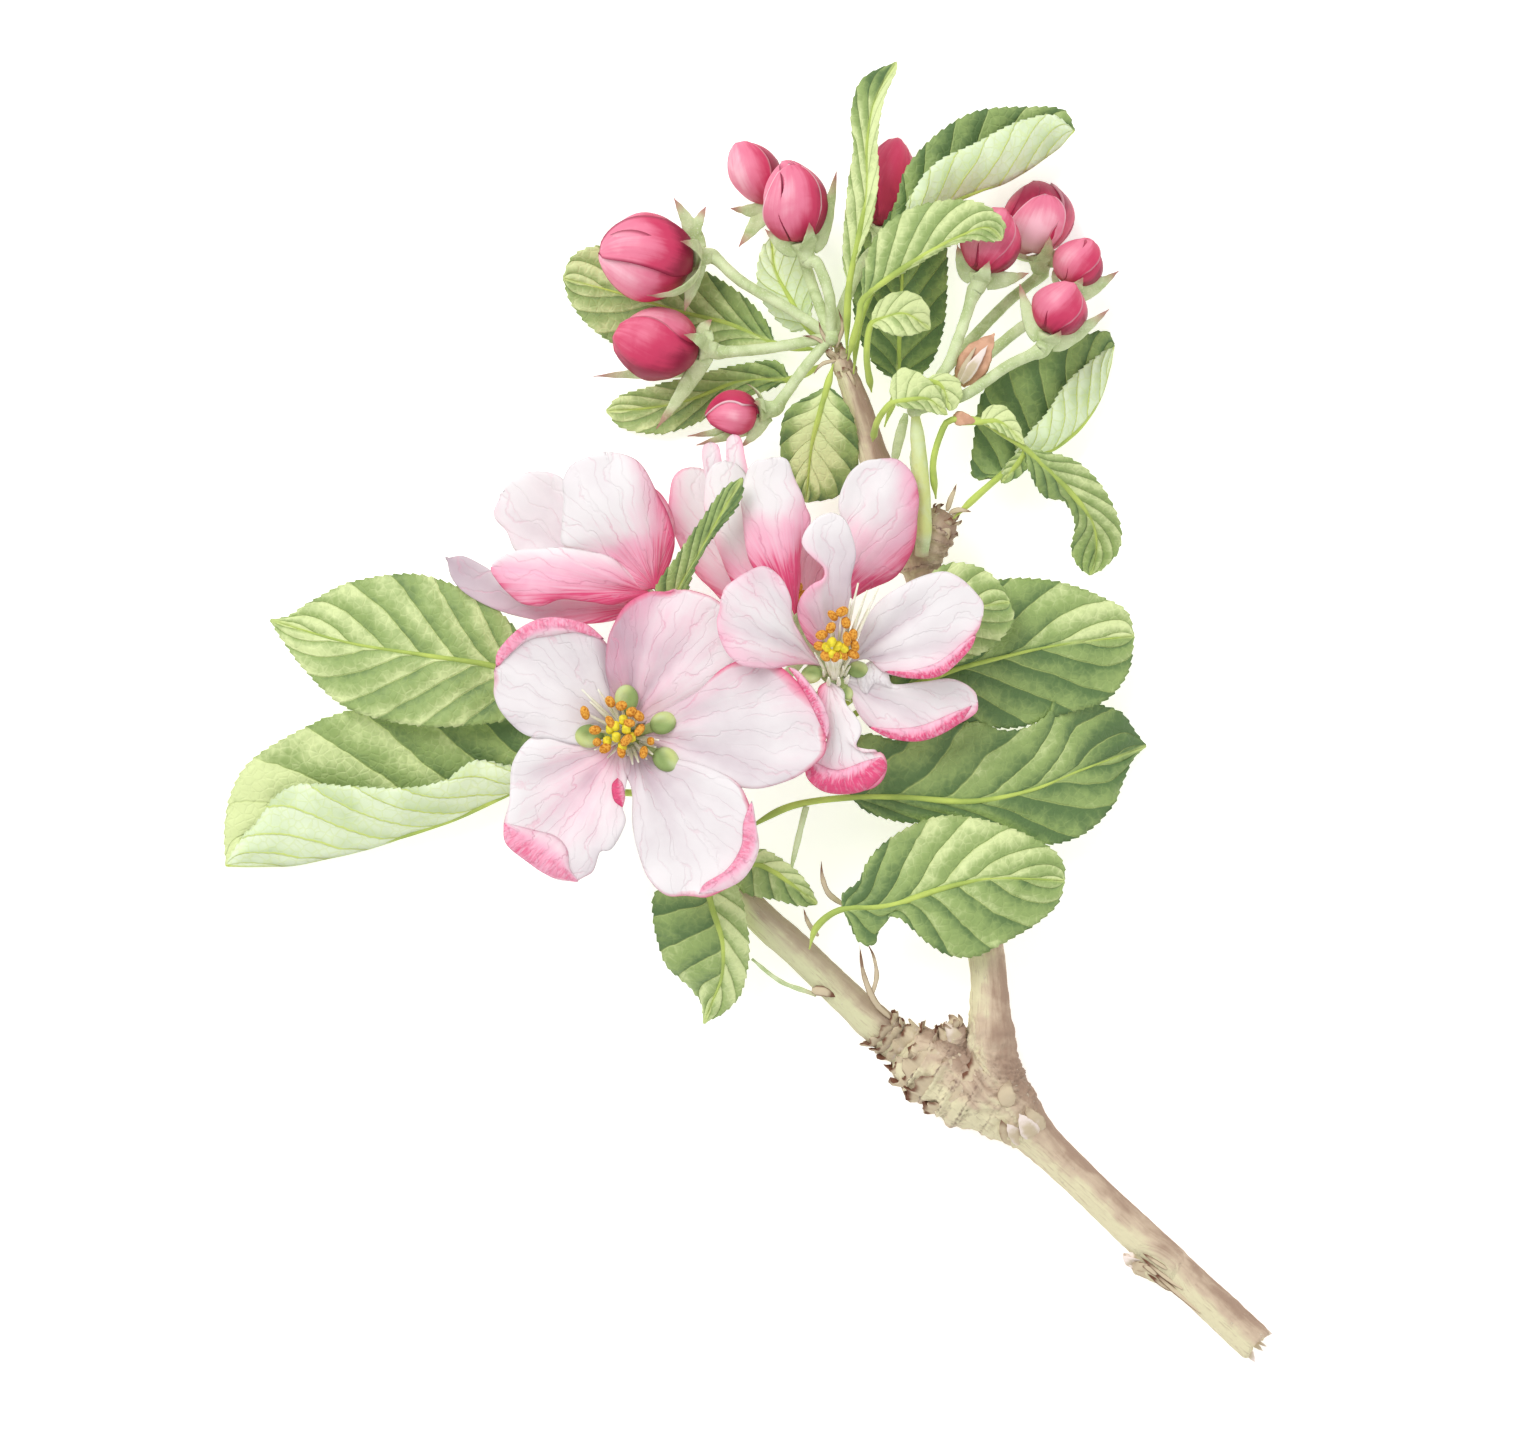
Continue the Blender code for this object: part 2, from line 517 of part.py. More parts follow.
def build_bud(bud, collection):
    """An egg of furled petals, blunt at its foot and narrower towards its tip."""
    axis = Vector(bud.axis).normalized()
    half_length, half_width = bud.length_mm * MM / 2, bud.width_mm * MM / 2
    builder = bmesh.new()
    bmesh.ops.create_uvsphere(builder, u_segments=10, v_segments=8, radius=1.0)
    for vertex in builder.verts:
        narrowing = 1 - BUD_TAPER * max(vertex.co.z, 0) ** 2
        vertex.co.x *= half_width * narrowing
        vertex.co.y *= half_width * narrowing
        vertex.co.z *= half_length
    obj = mesh_object(bud.name, builder, collection)
    obj.location = plan(*bud.foot) + axis * (half_length + SEAT_GAP)
    obj.rotation_mode = "QUATERNION"
    obj.rotation_quaternion = axis.to_track_quat("Z", "Y")
    finish(obj, BUD_CRIMSON)


def build_stamens(flower, collection):
    """The tuft of stamens round the pistil, as one brush that widens upwards."""
    centre, axis, zero, quarter = flower_frame(flower)
    height = flower.stamen_height_mm * MM
    builder = bmesh.new()
    bmesh.ops.create_cone(
        builder, cap_ends=True, segments=12, radius1=STAMEN_FOOT_RADIUS,
        radius2=flower.stamen_top_mm * MM, depth=height,
    )
    obj = mesh_object(flower.name + "_stamens", builder, collection)
    obj.location = centre + axis * (height / 2 + SEAT_GAP)
    obj.rotation_mode = "QUATERNION"
    obj.rotation_quaternion = axis.to_track_quat("Z", "Y")
    finish(obj, STAMEN_YELLOW)


# ---------------------------------------------------------------- the whole branch


def limb_of(points):
    return [(plan(u, v, height), radius * MM) for u, v, height, radius in points]


def build_wood(collection, guides):
    """The woody branch: stem, gnarled knuckle, the two shoots and their spurs, as one piece."""
    operands = new_collection("branch_wood_joined", guides)
    limbs = (KNUCKLE, FLOWERING_SHOOT, RIGHT_SPUR, DEAD_STUB, STEM_BUD)
    for number, points in enumerate(limbs):
        tube(f"limb_{number}", limb_of(points), operands)
    wood = tube("branch_wood", limb_of(STEM_AND_UPPER_BRANCH), collection)
    union(wood, operands)
    finish(wood, BARK)


def build_branch():
    for obj in list(bpy.data.objects):
        bpy.data.objects.remove(obj)
    parts = new_collection("apple_blossom_branch")
    guides = new_collection("guides")

    build_wood(parts, guides)
    for leaf in LEAVES:
        build_leaf(leaf, parts)
    for flower in FLOWERS:
        for number, petal in enumerate(flower.petals, 1):
            build_petal(flower, number, petal, parts)
        build_stamens(flower, parts)
    for bud in BUDS_LEFT + BUDS_RIGHT:
        build_bud(bud, parts)

    flowers = [(plan(*f.centre), Vector(f.axis).normalized(), f) for f in FLOWERS]
    left = [(plan(*b.foot), Vector(b.axis).normalized(), b) for b in BUDS_LEFT]
    right = [(plan(*b.foot), Vector(b.axis).normalized(), b) for b in BUDS_RIGHT]
    peduncle = [(plan(*point), PEDUNCLE_RADIUS) for point in PEDUNCLE]
    stalk_set("flower_stalks", plan(*FLOWER_KNOB), FLOWER_KNOB_RADIUS, flowers, (),
              parts, guides)
    stalk_set("left_bud_stalks", plan(*LEFT_KNOB), LEFT_KNOB_RADIUS, left, (), parts, guides)
    stalk_set("right_bud_stalks", plan(*RIGHT_KNOB), RIGHT_KNOB_RADIUS, right, (peduncle,),
              parts, guides)


build_branch()
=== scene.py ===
"""Finish model of an apple blossom branch: bark, leaves, petals, buds, stalks and stamens.

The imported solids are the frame. Every visible piece stands for one of them or is small trim that
sits on one. Places are (u, v, height in mm) on the plan sheet that the solids were drawn on: u runs
right, v runs towards the cut end, and one square of the sheet is PLAN_GRID wide.
"""

import logging
import math
import random
from dataclasses import dataclass, field
from enum import Enum
from typing import Callable, Iterable, Optional, Sequence

import bmesh
import bpy
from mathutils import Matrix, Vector, bvhtree, kdtree, noise


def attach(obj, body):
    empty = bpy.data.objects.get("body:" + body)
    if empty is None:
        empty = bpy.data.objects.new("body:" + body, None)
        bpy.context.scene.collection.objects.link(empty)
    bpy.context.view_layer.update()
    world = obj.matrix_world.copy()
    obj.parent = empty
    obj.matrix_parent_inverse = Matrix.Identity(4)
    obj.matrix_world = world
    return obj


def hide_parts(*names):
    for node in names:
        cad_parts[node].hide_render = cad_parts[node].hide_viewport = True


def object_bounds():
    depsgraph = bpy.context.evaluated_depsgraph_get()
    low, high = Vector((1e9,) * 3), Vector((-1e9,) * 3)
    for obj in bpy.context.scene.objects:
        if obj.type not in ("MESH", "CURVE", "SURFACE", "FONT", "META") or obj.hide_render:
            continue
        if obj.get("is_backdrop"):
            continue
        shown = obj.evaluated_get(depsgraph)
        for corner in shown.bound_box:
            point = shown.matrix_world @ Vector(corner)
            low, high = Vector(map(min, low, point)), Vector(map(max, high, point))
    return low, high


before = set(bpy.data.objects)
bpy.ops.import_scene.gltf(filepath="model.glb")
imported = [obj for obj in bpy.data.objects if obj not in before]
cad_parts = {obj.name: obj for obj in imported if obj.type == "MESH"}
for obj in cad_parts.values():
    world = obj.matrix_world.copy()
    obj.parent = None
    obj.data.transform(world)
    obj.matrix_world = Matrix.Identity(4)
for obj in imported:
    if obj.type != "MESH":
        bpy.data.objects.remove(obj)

log = logging.getLogger("apple_blossom")

MM = 0.001
PLAN_GRID = 0.15 * MM            # one square of the plan sheet
PLAN_CENTRE = (744.5, 713.5)     # plan square over the part's origin
PLAN_SHEET = (1536, 1451)        # squares of the sheet across and down, which the camera frames
BODY = "root"
ON_BORDER = 0.999                # a place on a sheet past this lies on its border
AT_END = 1e-4                    # a place nearer to 0 or 1 than this is at the foot or the tip
WELD = 2e-6                      # metres under which two points become one
SEAM_WELD = 3e-6                 # the same along the seam of a strand

Place = tuple[float, float, float]
Spot = tuple[float, float]
Colour = tuple[float, float, float, float]
Socket = bpy.types.NodeSocket
Material = bpy.types.Material
Mesh = bmesh.types.BMesh
Point = bmesh.types.BMVert
Face = bmesh.types.BMFace


def plan(u: float, v: float, height: float = 0.0) -> Vector:
    """Turns a plan sheet point and a height in mm into a world position."""
    return Vector(((u - PLAN_CENTRE[0]) * PLAN_GRID, (PLAN_CENTRE[1] - v) * PLAN_GRID,
                   height * MM))


def paint(code: str) -> Colour:
    """Turns a hexadecimal display colour into the linear colour that a shader takes."""
    parts = [int(code[i:i + 2], 16) / 255 for i in (1, 3, 5)]
    linear = [c / 12.92 if c <= 0.04045 else ((c + 0.055) / 1.055) ** 2.4 for c in parts]
    return (linear[0], linear[1], linear[2], 1.0)


def between(low: float, high: float, value: float) -> float:
    """Rises smoothly from 0 at low to 1 at high."""
    share = min(max((value - low) / (high - low), 0.0), 1.0)
    return share * share * (3 - 2 * share)


def faces_of(vertices: Iterable[Point]) -> list[Face]:
    """Lists the faces round some vertices once each, in the same order in every run."""
    return list(dict.fromkeys(face for vertex in vertices for face in vertex.link_faces))


def profile(values: Sequence[float], t: float) -> float:
    """Reads evenly spaced values at t (0 to 1), with smooth steps between them."""
    if len(values) == 1:
        return values[0]
    place = min(max(t, 0.0), 1.0) * (len(values) - 1)
    i = min(int(place), len(values) - 2)
    return values[i] + (values[i + 1] - values[i]) * between(0.0, 1.0, place - i)


class Route:
    """A smooth line through a few points, read by its share of length."""

    STEPS = 14                   # straight steps between two given points

    def __init__(self, points: Sequence[Vector]) -> None:
        """Draws the line.

        Args:
            points: the points that the line passes, in order.
        """
        spans = len(points) - 1
        dense = [self.curve(points, i / (spans * self.STEPS)) for i in
                 range(spans * self.STEPS + 1)]
        lengths = [0.0]
        for a, b in zip(dense, dense[1:]):
            lengths.append(lengths[-1] + (b - a).length)
        self.dense, self.lengths = dense, lengths
        self.length = lengths[-1]

    @staticmethod
    def curve(points: Sequence[Vector], t: float) -> Vector:
        """Reads a Catmull-Rom line through the points at t (0 to 1)."""
        spans = len(points) - 1
        place = min(max(t, 0.0), 1.0) * spans
        i = min(int(place), spans - 1)
        s = place - i
        p1, p2 = points[i], points[i + 1]
        p0 = points[i - 1] if i else p1 * 2 - p2
        p3 = points[i + 2] if i + 2 <= spans else p2 * 2 - p1
        return 0.5 * (2 * p1 + (p2 - p0) * s + (2 * p0 - 5 * p1 + 4 * p2 - p3) * s * s
                      + (3 * p1 - p0 - 3 * p2 + p3) * s ** 3)

    def at(self, share: float) -> Vector:
        """Gives the point at a share of the line's length."""
        target = min(max(share, 0.0), 1.0) * self.length
        low, high = 0, len(self.lengths) - 1
        while high - low > 1:
            middle = (low + high) // 2
            low, high = (middle, high) if self.lengths[middle] <= target else (low, middle)
        gap = self.lengths[high] - self.lengths[low]
        part = (target - self.lengths[low]) / gap if gap > 0 else 0.0
        return self.dense[low].lerp(self.dense[high], part)

    def heading(self, share: float) -> Vector:
        """Gives the line's unit direction at a share of its length."""
        return (self.at(share + 0.01) - self.at(share - 0.01)).normalized()


# ------------------------------------------------------------------ finishes


class Value:
    """A number within a material, which adds, subtracts and multiplies like a plain one."""

    def __init__(self, shade: "Shade", socket: Socket) -> None:
        """Wraps the socket that gives the number."""
        self.shade, self.socket = shade, socket

    def __add__(self, other: object) -> "Value":
        """Adds something."""
        return self.shade.math("ADD", self, other)

    def __radd__(self, other: object) -> "Value":
        """Is added to something."""
        return self.shade.math("ADD", other, self)

    def __sub__(self, other: object) -> "Value":
        """Subtracts something."""
        return self.shade.math("SUBTRACT", self, other)

    def __rsub__(self, other: object) -> "Value":
        """Is subtracted from something."""
        return self.shade.math("SUBTRACT", other, self)

    def __mul__(self, other: object) -> "Value":
        """Multiplies by something."""
        return self.shade.math("MULTIPLY", self, other)

    def __truediv__(self, other: object) -> "Value":
        """Divides by something."""
        return self.shade.math("DIVIDE", self, other)


class Shade:
    """A material under construction: short names for the nodes that the finishes use."""

    def __init__(self, name: str, roughness: float, specular: float = 0.3) -> None:
        """Starts a Principled material.

        Args:
            name: the material's name.
            roughness: the surface's roughness.
            specular: the strength of its plain reflection.
        """
        self.material = bpy.data.materials.new(name)
        self.material.use_nodes = True
        self.tree = self.material.node_tree
        self.shader = self.tree.nodes["Principled BSDF"]
        self.shader.inputs["Roughness"].default_value = roughness
        self.shader.inputs["Specular IOR Level"].default_value = specular
        self.coordinates = self.tree.nodes.new("ShaderNodeTexCoord").outputs["Object"]

    def put(self, socket: Socket, source: object) -> None:
        """Links a socket, or sets its value."""
        source = source.socket if isinstance(source, Value) else source
        if isinstance(source, Socket):
            self.tree.links.new(source, socket)
        else:
            socket.default_value = source

    def math(self, operation: str, a: object, b: object = 0.0, clamp: bool = False) -> Value:
        """Adds a Math node and returns its result."""
        node = self.tree.nodes.new("ShaderNodeMath")
        node.operation, node.use_clamp = operation, clamp
        self.put(node.inputs[0], a)
        self.put(node.inputs[1], b)
        return Value(self, node.outputs[0])

    def mix(self, factor: object, a: object, b: object) -> Socket:
        """Adds a colour Mix node and returns its result."""
        node = self.tree.nodes.new("ShaderNodeMix")
        node.data_type = "RGBA"
        self.put(node.inputs[0], factor)
        self.put(node.inputs[6], a)
        self.put(node.inputs[7], b)
        return node.outputs[2]

    def step(self, value: object, low: float, high: float) -> Value:
        """Maps low to high smoothly onto 0 to 1."""
        node = self.tree.nodes.new("ShaderNodeMapRange")
        node.interpolation_type = "SMOOTHSTEP"
        self.put(node.inputs["Value"], value)
        self.put(node.inputs["From Min"], low)
        self.put(node.inputs["From Max"], high)
        return Value(self, node.outputs["Result"])

    def noise(self, scale: float, detail: float = 2.0, vector: object = None,
              distortion: float = 0.0) -> Value:
        """Adds a noise pattern, on Object coordinates unless a vector is given."""
        node = self.tree.nodes.new("ShaderNodeTexNoise")
        node.inputs["Scale"].default_value = scale
        node.inputs["Detail"].default_value = detail
        node.inputs["Distortion"].default_value = distortion
        self.put(node.inputs["Vector"], self.coordinates if vector is None else vector)
        return Value(self, node.outputs["Fac"])

    def net(self, scale: float) -> Value:
        """Adds a net of cells and returns the distance to the nearest cell edge."""
        node = self.tree.nodes.new("ShaderNodeTexVoronoi")
        node.feature = "DISTANCE_TO_EDGE"
        node.inputs["Scale"].default_value = scale
        self.put(node.inputs["Vector"], self.coordinates)
        return Value(self, node.outputs["Distance"])

    def lay(self, name: str) -> tuple[Value, Value]:
        """Reads a UV map's two lanes."""
        node = self.tree.nodes.new("ShaderNodeUVMap")
        node.uv_map = name
        split = self.tree.nodes.new("ShaderNodeSeparateXYZ")
        self.tree.links.new(node.outputs[0], split.inputs[0])
        return Value(self, split.outputs[0]), Value(self, split.outputs[1])

    def lane(self, name: str) -> Value:
        """Reads a number stored on the piece's points."""
        node = self.tree.nodes.new("ShaderNodeAttribute")
        node.attribute_name = name
        return Value(self, node.outputs["Fac"])

    def vector(self, x: object, y: object, z: object = 0.0) -> Socket:
        """Joins three numbers into a vector."""
        node = self.tree.nodes.new("ShaderNodeCombineXYZ")
        for socket, source in zip(node.inputs, (x, y, z)):
            self.put(socket, source)
        return node.outputs[0]

    def bump(self, height: object, depth_mm: float, strength: float = 1.0) -> None:
        """Sets the surface's fine relief."""
        node = self.tree.nodes.new("ShaderNodeBump")
        node.inputs["Distance"].default_value = depth_mm * MM
        node.inputs["Strength"].default_value = strength
        self.put(node.inputs["Height"], height)
        self.tree.links.new(node.outputs[0], self.shader.inputs["Normal"])

    def colour(self, source: object) -> Material:
        """Sets the base colour and returns the material."""
        self.put(self.shader.inputs["Base Color"], source)
        return self.material


@dataclass(frozen=True)
class LeafFinish:
    """The two faces of a leaf and its stalk."""

    dark: Colour = paint("#5B7746")
    middle: Colour = paint("#97AE68")
    light: Colour = paint("#DCE8A8")
    vein: Colour = paint("#CCDC86")
    under: Colour = paint("#E4F1CE")
    under_shade: Colour = paint("#B7CB95")
    under_vein: Colour = paint("#CFE05C")

    def veins(self, shade: Shade, low: float, high: float) -> tuple[Value, Value, Value]:
        """Draws the vein pattern of one face.

        Args:
            shade: the material under construction.
            low: where a side vein starts to show, 1 being its middle line.
            high: where it has its full colour.

        Returns:
            The side veins, the midrib and the place within a panel between two side veins.
        """
        phase, share = shade.lay("panel")
        wander = (shade.noise(260, 2) - 0.5) * 0.22
        phase = phase + wander
        part = shade.math("FRACT", phase)
        off = shade.math("ABSOLUTE", part - 0.5) * 2
        narrow = share * 0.05
        side = shade.step(off - narrow, low, high)
        across, _ = shade.lay("size")
        rib = shade.step(across, 0.55, 0.12)
        return side, rib, part

    def upper(self) -> Material:
        """Makes the upper face: green with painted shade across each panel between the veins,
        standing for the quilting, and pale impressed veins.
        """
        shade = Shade("leaf_upper", 0.52, 0.32)
        side, rib, part = self.veins(shade, 0.86, 0.99)
        wash = shade.noise(150, 3, distortion=0.6) - 0.5
        grain = shade.noise(900, 4) - 0.5
        net = shade.step(shade.net(820), 0.0, 0.16)
        # painted shade: each panel darkens towards its next side vein, drawn in for the quilted
        # relief, and less so on pale young leaves
        panel = shade.math("POWER", part, 1.4) * 0.55
        quilt_shade_strength = shade.math("ADD", 0.35, shade.lane("tone") * 1.4, clamp=True)
        # the tone lane is the leaf's own green, with painted shade where the leaf lies under others
        tone = shade.lane("tone") + (panel - 0.24) * quilt_shade_strength
        tone = tone + wash * 0.75
        tone = tone + grain * 0.38
        tone = tone - (1.0 - net) * 0.07
        base = shade.mix(shade.step(tone, 0.0, 0.5), self.light, self.middle)
        base = shade.mix(shade.step(tone, 0.42, 1.0), base, self.dark)
        base = shade.mix(side * 0.42, base, self.vein)
        base = shade.mix(rib * 0.7, base, self.vein)
        height = net * 0.35 + grain * 0.5
        height = height - side * 0.9
        shade.bump(height, 0.16, 0.8)
        return shade.colour(base)

    def lower(self) -> Material:
        """Makes the underside: pale and downy with raised yellow-green veins."""
        shade = Shade("leaf_under", 0.7, 0.2)
        shade.shader.inputs["Sheen Weight"].default_value = 0.15
        side, rib, part = self.veins(shade, 0.84, 0.97)
        wash = shade.noise(140, 3, distortion=0.5)
        net = shade.step(shade.net(700), 0.0, 0.12)
        # painted shade: each panel darkens towards its next side vein, mixed towards under_shade
        tone = part * 0.45 + (wash - 0.35) * 1.0
        base = shade.mix(shade.step(tone, 0.15, 0.95), self.under, self.under_shade)
        base = shade.mix((1.0 - net) * 0.22, base, self.under_vein)
        base = shade.mix(side * 0.75, base, self.under_vein)
        base = shade.mix(rib * 0.85, base, self.under_vein)
        height = side * 1.0 + (1.0 - net) * 0.25
        shade.bump(height, 0.14, 0.8)
        return shade.colour(base)

    def stalk(self) -> Material:
        """Makes the petiole and midrib: yellow-green with a paler, downy side."""
        shade = Shade("leaf_stalk", 0.6, 0.25)
        shade.shader.inputs["Sheen Weight"].default_value = 0.2
        wash = shade.noise(220, 3)
        base = shade.mix(shade.step(wash, 0.3, 0.7), paint("#C4D66A"), paint("#A3B95A"))
        shade.bump(shade.noise(2600, 3), 0.05, 0.7)
        return shade.colour(base)


@dataclass(frozen=True)
class PetalFinish:
    """The two faces of an open petal."""

    pale: Colour = paint("#EDE8E9")
    wash: Colour = paint("#F3B2C9")
    deep: Colour = paint("#E2527F")
    vein: Colour = paint("#E392AD")
    painted_shade_mauve: Colour = paint("#B9A2AE")
    rim: Colour = paint("#E35C86")

    def lines(self, shade: Shade, x: Value, t: Value, count: float, offset: float) -> Value:
        """Draws one set of veins that fan out from the claw.

        Args:
            shade: the material under construction.
            x: the place across the petal, from -1 to 1.
            t: the place along it, from 0 to 1.
            count: veins to each unit of x.
            offset: how far the set is shifted sideways.

        Returns:
            The strength of the veins.
        """
        spot = shade.vector(x * 2.6, t * 4.5, offset * 7)
        sway = (shade.noise(1.0, 4, spot) - 0.5) * 1.7
        place = x * count + (offset + 20.0) + sway
        off = shade.math("ABSOLUTE", shade.math("FRACT", place) - 0.5)
        return shade.step(off, 0.07, 0.0)

    def face(self, name: str, vein_strength: float, warmth: float) -> Material:
        """Makes one face of the petals.

        Args:
            name: the material's name.
            vein_strength: how strongly the pink veins show.
            warmth: how far the pink wash is pushed on from what the piece's points say.
        """
        shade = Shade(name, 0.55, 0.2)
        x, t = shade.lay("vein")
        main = self.lines(shade, x, t, 2.6, 0.5)
        twigs = self.lines(shade, x, t, 6.0, 0.3) * shade.step(t, .4, .7)
        lines = shade.math("MAXIMUM", main, twigs * 0.75)
        streaks = shade.noise(1.0, 5, shade.vector(x * 9.0, t * 2.0, 3.0), 0.4)
        patches = shade.noise(230, 3, distortion=0.8) * 0.45 + streaks * 0.55
        tint_and_painted_light = shade.lane("tint_and_painted_light") + (patches - 0.55) * 0.45
        fine = shade.noise(1.0, 5, shade.vector(x * 26.0, t * 4.0, 9.0), 0.5)
        mottle = (fine - 0.5) * 1.0
        tint_and_painted_light = tint_and_painted_light + mottle * shade.step(tint_and_painted_light, 0.35, 0.9)
        tint_and_painted_light = shade.math("ADD", tint_and_painted_light, warmth, clamp=True)
        base = shade.mix(shade.step(tint_and_painted_light, 0.08, 0.62), self.pale, self.wash)
        base = shade.mix(shade.step(tint_and_painted_light, 0.5, 1.0), base, self.deep)
        # painted shade: mauve-grey laid in the pleats' valleys, near the claw and on the shaded
        # parts of each petal
        painted_shade = shade.lane("painted_shade") + (shade.noise(170, 3) - 0.5) * 0.5
        base = shade.mix(shade.step(painted_shade, 0.1, 1.1), base, self.painted_shade_mauve)
        seen = lines * shade.step(shade.noise(330, 2), 0.38, 0.66)
        seen = seen * (0.4 + shade.step(tint_and_painted_light, 0.0, 0.5) * 0.8)
        base = shade.mix(seen * vein_strength, base, self.vein)
        edge, _ = shade.lay("size")
        ragged = edge + (shade.noise(420, 3) - 0.5) * 0.8
        width = shade.lane("rim")
        border = shade.math("SUBTRACT", 1.0, ragged / shade.math("MAXIMUM", width, 0.05),
                            clamp=True)
        border = shade.math("POWER", border, 0.75)
        border = border * shade.step(width, 0.25, 0.85)
        base = shade.mix(border * 0.95, base, self.rim)
        height = lines * -0.8 + shade.noise(1500, 3) * 0.4
        shade.bump(height, 0.09, 0.8)
        return shade.colour(base)

    def inner(self) -> Material:
        """Makes the face that an open flower shows."""
        return self.face("petal_inner", 0.42, 0.0)

    def outer(self) -> Material:
        """Makes the pinker back of the petal."""
        return self.face("petal_back", 0.6, 0.0)


@dataclass(frozen=True)
class BudFinish:
    """The furled petals of a bud."""

    depth: Colour = paint("#941C40")
    crimson: Colour = paint("#CC3B62")
    rose: Colour = paint("#E57B97")
    light: Colour = paint("#F7BECC")
    edge: Colour = paint("#FBDDE4")

    def face(self) -> Material:
        """Makes the silky crimson surface with a painted highlight on its lit side, thin pale edges
        and painted shade along the seams.
        """
        shade = Shade("bud_crimson", 0.45, 0.3)
        x, t = shade.lay("vein")
        streak = shade.noise(1.0, 3, shade.vector(x * 7.0, t * 1.6), 0.3)
        patches = shade.noise(300, 3, distortion=0.6)
        # painted highlight: paler where the lane says the bud is lit
        glow = shade.lane("tint_and_painted_light") + (patches - 0.5) * 0.45
        glow = glow + (streak - 0.5) * 0.4
        base = shade.mix(shade.step(glow, -0.15, 0.25), self.depth, self.crimson)
        base = shade.mix(shade.step(glow, 0.3, 0.75), base, self.rose)
        base = shade.mix(shade.step(glow, 0.75, 1.25), base, self.light)
        margin, _ = shade.lay("size")
        border = shade.step(margin, 0.32, 0.1)
        base = shade.mix(shade.math("MULTIPLY", border, shade.lane("rim"), clamp=True), base,
                         self.edge)
        # painted shade: the seams between the furled petals darken to the deep crimson
        seam = shade.math("MULTIPLY", shade.step(margin, 0.75, 0.1), shade.lane("rim") * -1.0,
                          clamp=True)
        base = shade.mix(seam, base, self.depth)
        shade.bump(streak + shade.noise(1400, 3) * 0.4, 0.06, 0.6)
        return shade.colour(base)


@dataclass(frozen=True)
class GreenFinish:
    """Flower stalks, calyx cups and sepals."""

    green: Colour = paint("#D6E2B3")
    shadow: Colour = paint("#B0C287")
    pale: Colour = paint("#E7EED2")
    red: Colour = paint("#B0606A")
    fresh: Colour = paint("#D2DB8E")
    olive: Colour = paint("#8FA566")

    def face(self) -> Material:
        """Makes the downy grey-green skin, reddened where the points say so."""
        shade = Shade("stalk_green", 0.75, 0.15)
        shade.shader.inputs["Sheen Weight"].default_value = 0.08
        wash = shade.noise(300, 3, distortion=0.5)
        down = shade.noise(3800, 3)
        base = shade.mix(shade.step(wash, 0.35, 0.75), self.green, self.shadow)
        base = shade.mix(shade.step(down, 0.5, 0.8) * 0.7, base, self.pale)
        sort = shade.lane("tint_and_painted_light")
        base = shade.mix(shade.step(sort, -0.2, -0.8), base, shade.mix(
            shade.step(wash, 0.4, 0.75), self.fresh, self.green))
        # olive: the lobes' own darker green, deepened on one side of each lobe as painted shade
        base = shade.mix(shade.step(sort, -1.2, -2.2), base, self.olive)
        red = shade.lane("tint_and_painted_light") + (shade.noise(600, 2) - 0.5) * 0.3
        base = shade.mix(shade.step(red, 0.25, 0.95), base, self.red)
        shade.bump(down, 0.09, 0.8)
        return shade.colour(base)


@dataclass(frozen=True)
class BarkFinish:
    """Wood: old bark, young green bark and the torn end."""

    cream: Colour = paint("#E0D8B4")
    beige: Colour = paint("#CDB8A0")
    brown: Colour = paint("#A68C79")
    plum: Colour = paint("#5E4340")
    young: Colour = paint("#CCD0A4")
    inside: Colour = paint("#EADFB4")

    def face(self) -> Material:
        """Makes bark whose youth, browning, scars and torn end its points give, with painted shade
        on one side and in the knot's creases.
        """
        shade = Shade("bark", 0.8, 0.2)
        run, a, b = shade.lane("run"), shade.lane("round_a"), shade.lane("round_b")
        strands = shade.noise(1.0, 5, shade.vector(run * 0.16, a, b), 0.3)
        fibres = shade.noise(3.2, 3, shade.vector(run * 0.12, a, b))
        blotch = shade.noise(210, 4, distortion=0.5)
        grit = shade.noise(1700, 4)
        # the lane holds painted shade on one side of each limb together with the bark's own
        # browning
        side = shade.lane("bark_shade_and_browning") + (strands - 0.5) * 0.9
        side = side + (blotch - 0.5) * 1.1
        base = shade.mix(shade.step(side, 0.1, 0.6), self.cream, self.beige)
        base = shade.mix(shade.step(side, 0.5, 1.05), base, self.brown)
        fresh = shade.mix(shade.step(side, 0.2, 0.9), self.young, paint("#B3A78F"))
        base = shade.mix(shade.lane("young") * 0.85, base, fresh)
        base = shade.mix(shade.step(fibres, 0.56, 0.68) * 0.35, base, self.brown)
        pores = shade.tree.nodes.new("ShaderNodeTexVoronoi")
        pores.inputs["Scale"].default_value = 1.0
        shade.put(pores.inputs["Vector"], shade.vector(run * 0.55, a * 0.8, b * 0.8))
        pore = shade.step(pores.outputs["Distance"], 0.17, 0.09)
        pore = pore * shade.step(shade.noise(120, 1), 0.45, 0.6)
        base = shade.mix(pore * 0.5, base, paint("#E5DCC4"))
        # plum: the limbs' scars, and painted shade in the knot's creases
        scar_and_crease_shade = shade.lane("scar_and_crease_shade") + (grit - 0.5) * 0.9
        base = shade.mix(shade.step(scar_and_crease_shade, 0.32, 0.95) * 0.9, base, self.plum)
        grain = shade.mix(shade.step(fibres, 0.4, 0.65), self.inside, paint("#CDBB8E"))
        base = shade.mix(shade.lane("torn"), base, grain)
        height = strands * 0.6 + grit * 0.6
        height = height + pore * 0.6
        height = height + fibres * 0.5
        shade.bump(height, 0.22, 0.9)
        return shade.colour(base)


